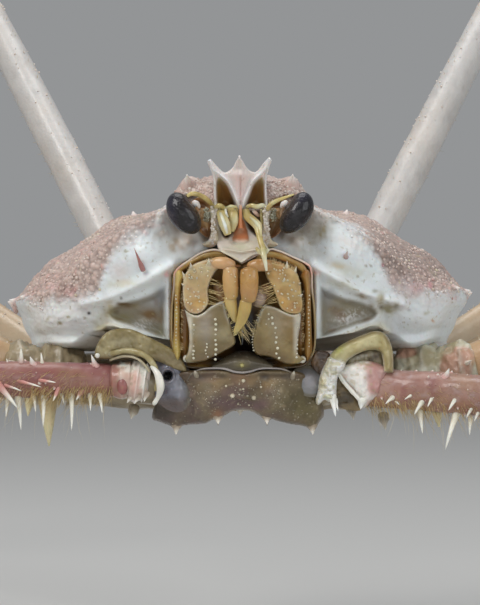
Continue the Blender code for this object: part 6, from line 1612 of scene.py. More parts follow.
    # soft grey skin with its opening
    web = outline([(166, 352), (178, 356), (187, 364), (190, 374), (193, 388), (191, 401), (185, 410), (174, 412), (162, 406), (155, 397), (157, 380), (155, 364)])

    def web_depth(x, y, d):
        return 5.85 - 1.3 * smooth(-1, 13, d) + 0.10 * noise(at(x, y, 0 * x), 1.0, 380) + 0.06 * noise(at(x, y, 0 * x), 0.4, 381) + 1.5 * np.exp(-(np.hypot(x - 167.7, y - 375.8) / 4.2) ** 4) - 0.28 * np.exp(-((np.hypot(x - 167.7, y - 375.8) - 6.5) / 1.6) ** 2)

    def web_paint(P, x, y, d):
        c = blend(np.broadcast_to(A(0.10, 0.10, 0.125), P.shape).copy(), A(0.22, 0.225, 0.27), smooth(-0.3, 0.4, noise(P, 1.2, 381)))
        c = blend(c, A(0.25, 0.25, 0.235), 0.7 * spot(x, y, 189, 386, 8, 14))
        c = blend(c, A(0.24, 0.22, 0.36), 0.6 * spot(x, y, 174, 364, 8, 4, 20))
        c = blend(c, A(0.19, 0.165, 0.10), 0.8 * smooth(186, 194, x))
        c = blend(c, A(0.30, 0.26, 0.15), 0.8 * smooth(361, 354, y))
        c = blend(c, A(0.12, 0.085, 0.07), 0.8 * smooth(394, 404, y))
        c = blend(c, A(0.155, 0.135, 0.10), 0.85 * smooth(9, 3, d) * smooth(180, 190, x))
        # lavender speckled patches: painted glossy highlights
        c = blend(c, A(0.42, 0.40, 0.50), 0.7 * smooth(0.45, 0.75, noise(P, 0.32, 388)) * (spot(x, y, 166, 388, 9, 8) + spot(x, y, 163, 362, 7, 5)))
        # the opening in the skin is near black: painted shade
        return blend(c, A(0.02, 0.018, 0.02), np.exp(-(np.hypot(x - 167.7, y - 375.8) / 4.8) ** 4))

    relief(skin, web, web_depth, web_paint, step=0.5, thick=3.0)
    web = outline([(293, 372), (300, 367), (309, 366), (318, 370), (325, 382), (323, 392), (314, 397), (303, 395), (295, 387)])
    relief(skin, web, lambda x, y, d: 5.75 - 0.95 * smooth(-1, 11, d) + 0.10 * noise(at(x, y, 0 * x), 1.0, 383), lambda P, x, y, d: blend(blend(blend(np.broadcast_to(A(0.20, 0.20, 0.20), P.shape).copy(), A(0.33, 0.33, 0.34), smooth(-0.3, 0.4, noise(P, 1.2, 384))), A(0.17, 0.145, 0.09), 0.85 * smooth(4.5, 1.0, d)), A(0.36, 0.35, 0.40), 0.6 * spot(x, y, 310, 381, 8, 7)), step=0.5, thick=3.0)
    web = outline([(315, 352), (322, 350), (330, 354), (330, 364), (325, 376), (316, 372), (311, 364)])
    relief(skin, web, face(0.3, 5.0, 5.6, 0.1, 0.7, 385), lambda P, x, y, d: blend(np.broadcast_to(A(0.085, 0.05, 0.03), P.shape).copy(), A(0.20, 0.12, 0.06), smooth(-0.3, 0.4, noise(P, 0.8, 386))), step=0.6, thick=2.0)

    # ---- picture right: arched band, hollow, craggy white ring with its spike, and the pink-white wedge
    band = outline([(329, 361), (331.5, 353), (341, 345), (351, 339.5), (362, 335), (374, 331), (384, 333), (390, 341), (393, 354), (393.5, 373), (383.5, 373), (382.6, 360), (379.5, 351.5), (370, 350),
                    (358.5, 353.5), (348, 360.5), (343, 368), (336, 366)], sharp=(9, 10))

    def band_paint(P, x, y, d):
        c = blend(np.broadcast_to(A(0.44, 0.37, 0.16), P.shape).copy(), A(0.60, 0.54, 0.29), smooth(-0.4, 0.5, noise(P, 1.1, 390)))
        out_edge, _, _, _ = line_distance(x, y, [(341, 345), (351, 339.5), (362, 335), (374, 331), (384, 333), (390, 341)])
        c = blend(c, A(0.27, 0.205, 0.08), 0.85 * smooth(5.5, 1.0, out_edge))
        c = blend(c, A(0.50, 0.50, 0.12), 0.75 * spot(x, y, 339, 350, 7, 4, -35))
        c = blend(c, A(0.76, 0.74, 0.60), 0.6 * smooth(2.5, 0.6, d) * smooth(350, 356, y))
        c = blend(c, A(0.40, 0.33, 0.16), 0.6 * smooth(384, 388, x) * smooth(346, 356, y))
        return blend(c * 0.88, IVORY, 0.8 * smooth(357, 363, y) * smooth(346, 340, x))

    relief(bag, band, face(1.5, 6.0, 4.3, 0.10, 0.9, 391), band_paint, step=0.5, thick=2.6)
    hollow = outline([(346, 366), (350, 358), (358, 353), (370, 349.5), (380, 351), (384, 362), (380, 370), (366, 364), (354, 366)])
    relief(bag, hollow, face(0.3, 5.0, 5.1, 0.15, 0.6, 392), lambda P, x, y, d: blend(blend(np.broadcast_to(A(0.16, 0.13, 0.09), P.shape).copy(), A(0.34, 0.30, 0.20), smooth(-0.3, 0.4, noise(P, 0.7, 393))), A(0.60, 0.57, 0.48), 0.8 * spot(x, y, 362, 356.5, 13, 1.6, -12)), step=0.5, thick=2.0)

    def craggy(P, x, y, d):
        c = blend(np.broadcast_to(A(0.80, 0.80, 0.77), P.shape).copy(), A(0.62, 0.60, 0.44), smooth(0.0, 0.6, noise(P, 0.5, 394)))
        c = blend(c, A(0.50, 0.44, 0.22), 0.75 * spot(x, y, 322, 384, 4, 9, 12))
        return blend(c, A(0.40, 0.34, 0.18), 0.5 * smooth(0.3, 0.7, noise(P, 0.3, 395)))

    ring = outline([(329, 357), (337, 359.5), (345, 362), (344, 369), (338.5, 375), (336.8, 385), (336.5, 394), (335, 400), (329.5, 402), (324, 400), (318.5, 405), (315.6, 401), (318, 390), (319, 380), (322, 370), (325.6, 363)])
    relief(bag, ring, face(1.6, 5.0, 3.4, 0.24, 0.5, 396), craggy, step=0.45, thick=3.0)
    spine(bag, at(332.5, 398, 2.2), at(335.6, 416.5, 1.8), 0.34, IVORY, A(0.88, 0.88, 0.84), sides=14, rings=12, power=0.6)
    spine(bag, at(336, 402, 2.3), at(338.2, 411, 2.0), 0.18, IVORY, A(0.88, 0.88, 0.84), sides=10, rings=8, power=0.6)

    def wedge_paint(P, x, y, d):
        c = blend(np.broadcast_to(A(0.80, 0.77, 0.72), P.shape).copy(), A(0.72, 0.52, 0.46), smooth(-0.1, 0.6, noise(P, 1.0, 397)))
        c = blend(c, A(0.44, 0.22, 0.20), 0.92 * smooth(362, 374, x + 2.5 * noise(P, 0.8, 404)) * smooth(401, 390, y))
        # paler pink spot at the arm's start: painted highlight
        c = blend(c, A(0.70, 0.48, 0.44), 0.6 * spot(x, y, 383, 372, 4, 4))
        return blend(c, A(0.44, 0.36, 0.22), 0.5 * smooth(0.35, 0.7, noise(P, 0.35, 398)))

    wedge = outline([(337, 371), (346, 365), (356, 361.5), (368, 360.5), (380, 364), (388, 370), (384, 384), (380, 396), (372, 402), (365, 407.5), (360, 408), (359, 400), (352, 392), (344, 383)], sharp=(0, 9))
    relief(bag, wedge, face(1.5, 8.0, 4.7, 0.14, 0.9, 399), wedge_paint, step=0.5, thick=4.0)
    pts = path([at(337.6, 371.5, 3.9), at(344, 382, 3.4), at(352, 391.5, 3.2), at(359, 399.5, 3.2), at(361.5, 407, 3.4)], 40)
    tube(bag, pts, 0.22 + 0.04 * noise(pts, 0.4, 1), IVORY, sides=14, hint=A(0, 1, 0))
    spine(bag, at(362, 402, 3.3), at(360.5, 409.5, 3.0), 0.35, IVORY, A(0.86, 0.84, 0.80), sides=10, rings=8, power=0.7)
    # dark hollow behind the wedge
    gap = outline([(336, 374), (344, 384), (354, 396), (362, 408), (356, 411), (344, 409), (336, 404), (333, 390)])
    relief(bag, gap, face(0.2, 4.0, 5.4, 0.15, 0.7, 400), grain(A(0.10, 0.075, 0.04), A(0.26, 0.19, 0.09), 401), step=0.6, thick=2.0)
    for x0, y0, x1, y1, r_, d0 in ((47.5, 386, 49, 446, 1.35, 13.9), (31, 382, 28, 416, 1.0, 13.2), (434, 388, 439, 427, 1.25, 14.0)):
        spine(bag, at(x0, y0, d0), at(x1, y1, d0 - 1.2), r_, A(0.40, 0.26, 0.09), A(0.66, 0.60, 0.36), sides=20, rings=18, power=0.75, sink=2.0)
    return bag, skin


# ------------------------------------------------------------------ limbs
WALKING = (
    dict(hip=(21.0, 15.0, -8.7), azimuth=20.0, rise=16.0, lengths=(68, 26, 66, 42), depth=2.45, dactyl=-62.0),
    dict(hip=(21.2, 23.0, -9.3), azimuth=-8.0, rise=20.0, lengths=(68, 26, 66, 42), depth=2.4, dactyl=-62.0),
    dict(hip=(20.6, 36.6, -8.6), azimuth=-28.0, rise=24.0, lengths=(66, 25, 62, 40), depth=2.4, dactyl=-66.0),
    dict(hip=(9.6, 46.2, -7.2), azimuth=-43.6, rise=53.4, lengths=(64, 22, 60, 36), depth=2.4, dactyl=-78.0),
)
PINCER = {
    1: dict(hip=(12.6, 6.2, -8.8), merus=(16.0, -5.5, 44.0, 2.05), carpus=(48.0, -24.0, 11.0, 2.3), palm=(80.0, -24.0, 30.0, 3.9), finger=(95.0, -15.0, 21.0, 1.5)),
    -1: dict(hip=(12.6, 6.2, -8.4), merus=(11.0, -1.0, 44.0, 2.05), carpus=(46.0, -26.0, 11.0, 2.3), palm=(80.0, -26.0, 30.0, 3.9), finger=(95.0, -15.0, 21.0, 1.5)),
}
PINCER_ROWS = {
    "merus": ((0.10, 0.93, 9, 182, 3.7, 0.10, 0.62), (0.06, 0.95, 8, 128, 2.0, 0.10, 0.5), (0.08, 0.94, 7, 35, 1.3, 0.35, 0.42)),
    "carpus": ((0.2, 0.85, 3, 100, 2.0, 0.15, 0.5), (0.2, 0.85, 3, 10, 2.0, 0.2, 0.5), (0.3, 0.8, 2, 175, 2.2, 0.1, 0.5)),
    "palm": ((0.08, 0.85, 7, 0, 2.2, 0.2, 0.5), (0.08, 0.9, 6, 178, 1.8, 0.15, 0.5), (0.1, 0.8, 4, 75, 1.4, 0.15, 0.42)),
}
LONG_LEG_ROWS = {
    "merus": ((0.08, 0.96, 9, 178, 4.6, 0.45, 0.5), (0.10, 0.97, 8, 92, 3.4, 0.45, 0.45), (0.3, 0.97, 5, 5, 2.0, 0.5, 0.42)),
    "carpus": ((0.2, 0.9, 4, 165, 3.4, 0.4, 0.45), (0.3, 0.9, 2, 60, 2.6, 0.4, 0.42)),
    "propodus": ((0.05, 0.95, 10, 172, 5.2, 0.5, 0.48), (0.1, 0.93, 7, 120, 3.6, 0.5, 0.45)),
    "dactylus": ((0.08, 0.62, 5, 172, 2.6, 0.5, 0.42),),
}


def heading(side, azimuth, elevation):
    a, e = math.radians(azimuth), math.radians(elevation)
    return A(side * math.cos(a) * math.cos(e), -math.sin(a) * math.cos(e), math.sin(e))


def walking_joints(leg, side):
    x, y, z = leg["hip"]
    hip = A(side * x, y, z)
    merus, carpus, propodus, dactylus = leg["lengths"]
    knee = hip + heading(side, leg["azimuth"], leg["rise"]) * merus
    wrist = knee + heading(side, leg["azimuth"], -5.0) * carpus
    ankle_height = FLOOR + dactylus * math.sin(math.radians(-leg["dactyl"]))
    fall = math.degrees(math.asin((wrist[2] - ankle_height) / propodus))
    ankle = wrist + heading(side, leg["azimuth"], -fall) * propodus
    foot = ankle + heading(side, leg["azimuth"], leg["dactyl"]) * dactylus
    foot[2] = FLOOR
    return hip, knee, wrist, ankle, foot


def pincer_joints(side):
    arm = PINCER[side]
    points = [A(side * arm["hip"][0], arm["hip"][1], arm["hip"][2])]
    for name in ("merus", "carpus", "palm", "finger"):
        azimuth, elevation, length, _ = arm[name]
        points.append(points[-1] + heading(side, azimuth, elevation) * length)
    return points


def rounded(t, root=0.62, tip=0.62, reach=0.05):
    t = np.asarray(t, float)
    k = np.where(t < reach, root + (1 - root) * np.sin(np.pi / 2 * t / reach), 1.0)
    return np.where(t > 1 - reach, np.minimum(k, tip + (1 - tip) * np.sin(np.pi / 2 * np.clip((1 - t) / reach, 0, 1))), k)


def limb_axes(start, end, across):
    axis = unit(end - start)
    up = unit(np.cross(across, axis))
    if up[2] < 0:
        up = -up
    return axis, up


def limb(bag, start, end, across, bow, height, width, trim, paint, n=90, sides=36, power=2.2, rough=0.05, seed=0, keel=0.0):
    axis, up = limb_axes(start, end, across)
    a, b = start + axis * trim[0], end - axis * trim[1]
    t = np.concatenate([np.linspace(0, 0.06, 9)[:-1], np.linspace(0.06, 0.94, n), np.linspace(0.94, 1, 9)[1:]])
    centre = a + (b - a) * t[:, None] + up * (bow * np.sin(np.pi * t))[:, None]
    h, w = height(t), width(t)
    ang = np.linspace(0, 2 * np.pi, sides, endpoint=False)
    e = 2.0 / power
    cu = np.sign(np.cos(ang)) * np.abs(np.cos(ang)) ** e
    cv = np.sign(np.sin(ang)) * np.abs(np.sin(ang)) ** e
    P = centre[:, None] + up * (cu[None] * h[:, None])[..., None] + across * (cv[None] * w[:, None])[..., None]
    N = unit(up * (cu[None] / h[:, None])[..., None] + across * (cv[None] / w[:, None])[..., None])
    P = P + N * (rough * noise(P, 1.8, seed) + rough * 0.5 * noise(P, 0.7, seed + 1))[..., None]
    # a raised collar just before each joint
    collar = 0.10 * np.exp(-((t - 0.955) / 0.012) ** 2) + 0.07 * np.exp(-((t - 0.03) / 0.012) ** 2)
    P = P + N * collar[:, None, None]
    C = paint(P, np.broadcast_to(t[:, None], P.shape[:2]), np.broadcast_to(ang[None], P.shape[:2]))
    bag.grid(P, C, wrap=True, caps=True)
    return P, N, t


def limb_spines(start, end, across, bow, height, width, rows, trim, lean_seed=0.0):
    axis, up = limb_axes(start, end, across)
    front = across if across[1] < 0 else -across
    a, b = start + axis * trim, end - axis * trim
    found = []
    for number, (first, last, count, turn, length, lean, radius) in enumerate(rows):
        for k in range(count):
            t = first + (last - first) * (k + 0.25 * wobble(k, number + 1.0)) / max(1, count - 1)
            t = min(max(t, 0.03), 0.97)
            w = math.radians(turn + 9.0 * wobble(k, number + 3.0))
            out = up * math.cos(w) + front * math.sin(w)
            centre = a + (b - a) * t + up * (bow * math.sin(math.pi * t))
            h, v = float(height(t)), float(width(t))
            reach = 1.0 / math.sqrt((math.cos(w) / h) ** 2 + (math.sin(w) / v) ** 2)
            base = centre + out * (reach * 0.93)
            size = length * (1.0 + 0.22 * wobble(k, number + 7.0))
            tip = base + unit(out + axis * lean) * size
            found.append((base, tip, radius * (1.0 + 0.12 * wobble(k, number + 11.0)), number))
    return found


def limb_setae(bag, P, t, ang_lo, ang_hi, count, length, radius, colour, seed, way=None, lo=0.03, hi=0.97, flare=0.9):
    """Bristles rooted on a limb's skin, between two angles round it."""
    rng = np.random.default_rng(seed)
    rows, cols = P.shape[:2]
    tt = rng.uniform(lo, hi, count)
    i = np.clip(np.searchsorted(t, tt), 1, rows - 2)
    j = (rng.uniform(ang_lo, ang_hi, count) / 360.0 * cols).astype(int) % cols
    root = P[i, j]
    centre = P[i].mean(1)
    out = unit(root - centre)
    along = unit(P[np.minimum(i + 1, rows - 1), j] - P[np.maximum(i - 1, 0), j])
    w = out * flare + along * rng.uniform(0.3, 0.9, (count, 1)) + rng.normal(0, 0.18, (count, 3))
    if way is not None:
        w = w + np.asarray(way)
    # each limb is opened out along its length, on a square of its own in a sheet of six by six
    if not any(Q is P for Q in bag.limbs):
        bag.limbs.append(P)
    row, column = divmod([Q is P for Q in bag.limbs].index(True), 6)
    place = np.stack([(column + 0.02 + 0.94 * (j / cols)) / 6, (row + 0.02 + 0.94 * tt) / 6], -1)
    hairs(bag, root - out * 0.05, w, rng.uniform(0.5, 1.0, count) * length, radius, colour, droop=0.3, places=place, seed=seed + 5)


def leg_paint(kind, seed):
    """Colour along a walking leg: pale and smooth, flushed at the joints."""
    pale = {1: A(0.50, 0.34, 0.19), 2: A(0.46, 0.33, 0.19), 3: A(0.54, 0.43, 0.30), 4: A(0.60, 0.58, 0.56)}[kind]
    warm = {1: A(0.48, 0.22, 0.12), 2: A(0.40, 0.22, 0.10), 3: A(0.50, 0.33, 0.20), 4: A(0.60, 0.54, 0.48)}[kind]

    def f(P, t, ang):
        c = blend(np.broadcast_to(pale, P.shape).copy(), warm, 0.45 * smooth(-0.2, 0.7, fbm(P, 6.0, seed)))
        ends = np.maximum(smooth(0.09, 0.0, t), smooth(0.91, 1.0, t))
        c = blend(c, A(0.72, 0.46, 0.34), 0.55 * ends)
        c = blend(c, A(0.80, 0.76, 0.68), 0.6 * np.exp(-((t - 0.955) / 0.014) ** 2))
        c = blend(c, c * 0.7, 0.35 * smooth(0.2, 0.7, noise(P, 0.9, seed + 3)))
        return c
    return f


def build_walking_legs():
    pieces = []
    joints = Bag()
    setae = Bag()
    for side, side_name in ((1, "left"), (-1, "right")):
        for number, leg in enumerate(WALKING, 1):
            hip, knee, wrist, ankle, foot = walking_joints(leg, side)
            away = heading(side, leg["azimuth"], 0.0)
            across = unit(np.cross(A(0, 0, 1), away))
            d = leg["depth"]
            shapes = {
                "merus": (hip, knee, 1.4 if number < 4 else 0.0, lambda t: d * (0.86 + 0.16 * np.sin(np.pi * t)) * rounded(t, 0.66, 0.6), 0.62, (0.6 if number < 4 else 1.3, 0.9)),
                "carpus": (knee, wrist, 0.5, lambda t: d * (0.74 + 0.22 * t) * rounded(t, 0.6, 0.6, 0.1), 0.66, (0.9, 0.8)),
                "propodus": (wrist, ankle, 0.8, lambda t: d * (0.82 - 0.2 * t) * rounded(t, 0.6, 0.6), 0.58, (0.8, 0.7)),
            }
            paint = leg_paint(number, 400 + number)
            for part, (a, b, bow, height, flat, trim) in shapes.items():
                bag = Bag()
                wide = flat if number < 4 or part == "carpus" else flat + 0.28
                width = lambda t: height(t) * wide
                P, N, t = limb(bag, a, b, across, bow, height, width, trim, paint, n=70 if part != "carpus" else 34, sides=28, seed=410 + number)
                if number == 1:
                    for k, (base, tip, r, row) in enumerate(limb_spines(a, b, across, bow, height, width, LONG_LEG_ROWS[part], trim[0])):
                        spine(bag, base, tip, r, A(0.68, 0.42, 0.30), A(0.84, 0.80, 0.70), sides=8, rings=7, bend=0.06, bend_dir=-(b - a))
                # low warts along the upper edge, and short hairs along the lower one
                rng = np.random.default_rng(int(500 + number * 10 + (side > 0) * 100 + len(part)))
                m = {"merus": 60, "carpus": 26, "propodus": 40}[part]
                i = rng.integers(6, P.shape[0] - 6, m)
                j = rng.integers(-4, 5, m) % P.shape[1]
                s = rng.uniform(0.08, 0.17, m)
                bumps(bag, P[i, j], N[i, j], s, s * 1.2, blend(np.broadcast_to(A(0.74, 0.60, 0.50), (m, 3)).copy(), A(0.84, 0.80, 0.74), rng.uniform(0, 1, m)), DOME_SMALL)
                hair_count = {"merus": 90, "carpus": 60, "propodus": 260}[part]
                limb_setae(setae, P, t, 150, 210, hair_count, 1.5 if part == "propodus" else 0.9, 0.035, A(0.56, 0.44, 0.24), 600 + number * 10 + side, flare=0.9)
                limb_setae(setae, P, t, -25, 25, hair_count // 2, 1.1 if part == "propodus" else 0.6, 0.03, A(0.60, 0.48, 0.28), 700 + number * 10 + side, flare=0.9)
                pieces.append(("leg%d_%s_%s" % (number, side_name, part), bag, LEG))
            # dactylus: curved claw with a darker horny tip
            bag = Bag()
            way = unit(foot - ankle)
            up = unit(np.cross(across, way))
            if np.dot(up, away) < 0:
                up = -up
            start = ankle + way * 0.7
            t = np.linspace(0, 0.985, 60)
            centre = start + (foot - start) * t[:, None] + up * (2.2 * np.sin(np.pi * np.minimum(t, 0.999)))[:, None] * np.where(t < 0.85, 1, 1)[:, None]
            r = 1.35 * (1 - 0.42 * t) * rounded(t, 0.6, 1.0, 0.08)
            r = np.where(t > 0.85, r * (1 - 0.25 * (t - 0.85) / 0.15), r)
            ang = np.linspace(0, 2 * np.pi, 24, endpoint=False)
            P = centre[:, None] + up * (np.cos(ang)[None] * r[:, None])[..., None] + across * (np.sin(ang)[None] * r[:, None] * 0.72)[..., None]
            lastring = foot + unit(A(away[0], away[1], 0)) * (np.cos(ang) * 0.62)[:, None] + across * (np.sin(ang) * 0.5)[:, None]
            P = np.concatenate([P, lastring[None]])
            P[..., 2] = np.maximum(P[..., 2], FLOOR)
            T = np.concatenate([t, [1.0]])
            C = paint(P, np.broadcast_to(T[:, None] * 0.5 + 0.2, P.shape[:2]), np.broadcast_to(ang[None], P.shape[:2]))
            C = blend(C, A(0.46, 0.30, 0.14), 0.7 * smooth(0.55, 0.95, T)[:, None] * np.ones(P.shape[:2]))
            bag.grid(P, C, wrap=True, caps=True)
            limb_setae(setae, P, T, 140, 220, 170, 1.2, 0.03, A(0.56, 0.44, 0.24), 800 + number * 10 + side, hi=0.8)
            limb_setae(setae, P, T, -40, 40, 120, 1.0, 0.03, A(0.56, 0.44, 0.24), 850 + number * 10 + side, hi=0.8)
            pieces.append(("leg%d_%s_dactylus" % (number, side_name), bag, LEG))
            # soft skin and hinge knobs in the joints
            for centre_, r_, s_ in ((hip, 1.75, 0.75), (knee, 1.75, 0.7), (wrist, 1.6, 0.7), (ankle, 1.15, 0.7)):
                th = np.linspace(0.05, np.pi - 0.05, 18)[:, None]
                ph = np.linspace(0, 2 * np.pi, 24, endpoint=False)[None]
                q = away * (np.sin(th) * np.cos(ph) * r_)[..., None] + across * (np.sin(th) * np.sin(ph) * r_ * s_)[..., None] + A(0, 0, 1) * ((np.cos(th) + 0 * ph) * r_)[..., None]
                joints.grid(centre_ + q, blend(np.broadcast_to(A(0.60, 0.50, 0.38), q.shape).copy(), A(0.74, 0.62, 0.50), smooth(-0.5, 0.5, noise(centre_ + q, 0.8, 5))), wrap=True, caps=True)
    return pieces, joints, setae


def build_pincers():
    pieces = []
    joints, setae = Bag(), Bag()
    for side, side_name in ((1, "left"), (-1, "right")):
        hip, elbow, wrist, knuckle, tip = pincer_joints(side)
        arm = PINCER[side]
        m, c_, p_, f_ = (arm[k][3] for k in ("merus", "carpus", "palm", "finger"))

        def paint(P, t, ang, shift=0.0, side=side):
            deep, warm = (A(0.40, 0.155, 0.130), A(0.50, 0.25, 0.19)) if side < 0 else (A(0.48, 0.245, 0.17), A(0.56, 0.33, 0.24))
            base = blend(np.broadcast_to(deep, P.shape).copy(), warm, smooth(-0.4, 0.6, fbm(P, 3.0, 31)))
            up_ = np.cos(ang)
            base = blend(base, A(0.36, 0.15, 0.17), (0.65 if side > 0 else 0.35) * smooth(0.0, 0.6, fbm(P, 3.4, 35)) * smooth(0.1, 0.8, up_))
            base = blend(base, A(0.50, 0.25, 0.09), 0.8 * smooth(-0.5, 0.6, noise(P, 2.0, 36)) * smooth(0.1, -0.8, up_))
            base = blend(base, A(0.46, 0.27, 0.13), 0.5 * smooth(0.0, 0.5, noise(P, 2.6, 38)))
            base = blend(base, A(0.66, 0.50, 0.45), 0.45 * smooth(0.3, 0.8, noise(P, 0.35, 37)))
            base = blend(base, A(0.32, 0.10, 0.09), 0.5 * smooth(0.35, 0.8, noise(P, 0.7, 39)))
            ends = np.maximum(smooth(0.03, 0.0, t), smooth(0.95, 1.0, t))
            base = base * (A(0.62, 0.56, 0.61) if side < 0 else A(0.68, 0.67, 0.74))
            return blend(base, A(0.60, 0.48, 0.42), 0.7 * ends)

        shapes = {
            "merus": (hip + A(0, 0, -0.30 if side > 0 else -0.05), elbow, lambda t: m * (1.0 if side < 0 else 1.14 - 0.14 * t) * (0.90 + 0.18 * t) * rounded(t, 0.8, 0.6), 0.95, 0.5, (0.4, 0.9)),
            "carpus": (elbow, wrist, lambda t: c_ * (0.8 + 0.3 * np.sin(np.pi * t)) * rounded(t, 0.6, 0.6, 0.15), 0.95, 0.4, (0.9, 0.8)),
            "palm": (wrist, knuckle, lambda t: (1.9 + (p_ - 1.9) * np.sin(np.pi * np.minimum(1.0, 0.12 + 0.62 * t)) ** 1.5) * rounded(t, 0.7, 0.9), 0.74, 0.3, (0.8, 0.0)),
        }
        white, pinkish = A(0.86, 0.84, 0.78), A(0.72, 0.40, 0.36)
        for part in ("merus", "carpus", "palm"):
            a, b, height, flat, bow, trim = shapes[part]
            bag = Bag()
            across = unit(np.cross(A(0, 0, 1), b - a))
            width = lambda t: height(t) * flat
            if part != "palm":
                P, N, t = limb(bag, a, b, across, bow, height, width, trim, paint, n=120 if part == "merus" else 44, sides=48, seed=44, rough=0.09)
            else:
                axis, up = limb_axes(a, b, across)
                t = np.concatenate([np.linspace(0, 0.05, 8)[:-1], np.linspace(0.05, 0.97, 90)])
                s0, e0 = a + axis * trim[0], b
                centre = s0 + (e0 - s0) * t[:, None] + up * (bow * np.sin(np.pi * t))[:, None]
                h, w = height(t), width(t)
                reach = tip - knuckle
                q = np.linspace(0.02, 1.0, 60)
                fr = np.interp(q, [0.02, 0.3, 0.65, 1.0], [1.7, 1.25, 0.9, 0.3])
                fc = knuckle + reach * q[:, None] - up * (1.9 - 1.25 * q ** 1.3)[:, None]
                # the palm runs on into the fixed finger over a short blend
                gap = np.linspace(0, 1, 14)[1:-1][:, None]
                mid = centre[-1] + (fc[0] - centre[-1]) * smooth(0, 1, gap)
                mh = h[-1] + (fr[0] - h[-1]) * smooth(0, 1, gap[:, 0])
                mw = w[-1] + (fr[0] * 0.85 - w[-1]) * smooth(0, 1, gap[:, 0])
                cc = np.concatenate([centre, mid, fc])
                hh, ww = np.concatenate([h, mh, fr]), np.concatenate([w, mw, fr * 0.85])
                ang = np.linspace(0, 2 * np.pi, 44, endpoint=False)
                P = cc[:, None] + up * (np.cos(ang)[None] * hh[:, None])[..., None] + across * (np.sin(ang)[None] * ww[:, None])[..., None]
                N = unit(up * (np.cos(ang)[None] / hh[:, None])[..., None] + across * (np.sin(ang)[None] / ww[:, None])[..., None])
                P = P + N * (0.07 * noise(P, 1.8, 45) + 0.04 * noise(P, 0.7, 46))[..., None]
                T = np.linspace(0, 1, len(cc))
                C = paint(P, np.broadcast_to(T[:, None] * 0.9 + 0.05, P.shape[:2]), np.broadcast_to(ang[None], P.shape[:2]))
                C = blend(C, A(0.78, 0.66, 0.56), 0.75 * smooth(0.72, 0.95, T)[:, None] * np.ones(P.shape[:2]))
                bag.grid(P, C, wrap=True, caps=True)
                t = T
                # teeth along the fixed finger
                for k in range(12):
                    qq = 0.12 + 0.07 * k
                    cen = knuckle + reach * qq - up * (1.9 - 1.25 * qq ** 1.3)
                    rr = float(np.interp(qq, [0.02, 0.3, 0.65, 1.0], [1.7, 1.25, 0.9, 0.3]))
                    spine(bag, cen + up * rr * 0.9, cen + up * (rr + 0.35), 0.28, A(0.80, 0.72, 0.60), white, sides=8, rings=4, sink=0.2)
            front = across if across[1] < 0 else -across
            for k, (base, point, r, row) in enumerate(limb_spines(a, b, across, bow, height, width, PINCER_ROWS[part], trim[0])):
                if part == "merus" and float(np.linalg.norm(base - a)) < 15.0 and row != 2:
                    continue   # the thorns in view are set one by one below
                root = pinkish if row != 0 or k % 3 == 0 else A(0.74, 0.56, 0.46)
                spine(bag, base, point, r * 0.92, root, white, sides=12, rings=12, bend=0.07 * wobble(k, 4.0) + 0.03, bend_dir=front, power=0.8)
            if part == "merus":
                ivory, rosy = A(0.84, 0.80, 0.66), A(0.58, 0.26, 0.23)
                if side < 0:
                    for x0, y0, d0, x1, y1, d1, r_, c0 in (
                            (18, 398, 3.4, 21, 430, 2.6, 0.30, ivory), (43.5, 396, 3.7, 43, 427, 3.0, 0.27, ivory), (71.5, 397, 4.0, 71.5, 430.5, 3.4, 0.27, ivory), (90, 397, 4.2, 90.5, 411, 3.8, 0.2, ivory),
                            (100, 397, 4.4, 102.2, 413, 4.0, 0.21, ivory), (-1, 386, 1.7, 17.5, 408, 0.6, 0.36, rosy), (34, 397, 3.5, 35.6, 412, 3.0, 0.2, ivory), (7, 396, 3.3, 6, 417, 2.6, 0.24, ivory),
                            (24, 382.5, 2.0, 41.5, 387.2, 1.0, 0.16, rosy), (7, 386, 1.8, 21.5, 391, 0.8, 0.16, rosy), (45, 381, 2.2, 56, 382.6, 1.4, 0.14, rosy), (56, 394, 2.9, 53, 401, 2.5, 0.18, rosy),
                            (21, 368, 3.6, 21, 348.6, 3.2, 0.36, rosy), (42, 364, 3.9, 41, 352.6, 3.6, 0.2, ivory), (8, 365, 3.3, 6.5, 358.5, 3.1, 0.15, rosy),
                            (80, 394, 3.6, 76, 400, 3.2, 0.2, rosy), (62, 396, 3.6, 64, 404, 3.3, 0.14, ivory)):
                        spine(bag, at(x0, y0, d0), at(x1, y1, d1), r_, c0, A(0.88, 0.86, 0.76), sides=14, rings=14, power=0.6, bend=0.04, bend_dir=A(0.4, -1, 0.3), sink=0.8)
                else:
                    for x0, y0, d0, x1, y1, d1, r_, c0 in (
                            (392, 398, 3.3, 385.4, 404, 2.8, 0.22, ivory), (422, 402, 2.6, 414.4, 414.4, 1.9, 0.28, ivory), (420.5, 412, 3.6, 422.6, 433.5, 3.0, 0.28, ivory), (457, 397, 1.6, 448.4, 410.5, 0.8, 0.28, ivory),
                            (456, 415, 2.6, 445.4, 449.5, 1.8, 0.34, ivory), (473.5, 405, 1.5, 466.4, 418, 0.8, 0.25, ivory), (480, 409, 1.6, 474.4, 421, 0.9, 0.26, ivory), (470.5, 420, 2.4, 469.6, 435, 2.0, 0.22, ivory),
                            (410, 396, 2.6, 404.5, 399.5, 2.2, 0.14, ivory), (436, 396, 2.2, 431.5, 399, 1.8, 0.15, rosy), (402, 374, 4.4, 401, 369.5, 4.2, 0.14, ivory), (431, 400, 2.0, 427.5, 407, 1.5, 0.15, ivory),
                            (396, 401, 3.4, 399.5, 405, 3.0, 0.13, ivory), (466, 379, 2.6, 467.5, 373.8, 2.4, 0.13, ivory)):
                        spine(bag, at(x0, y0, d0), at(x1, y1, d1), r_, c0, A(0.88, 0.86, 0.76), sides=14, rings=14, power=0.6, bend=0.04, bend_dir=A(-0.4, -1, 0.3), sink=0.8)
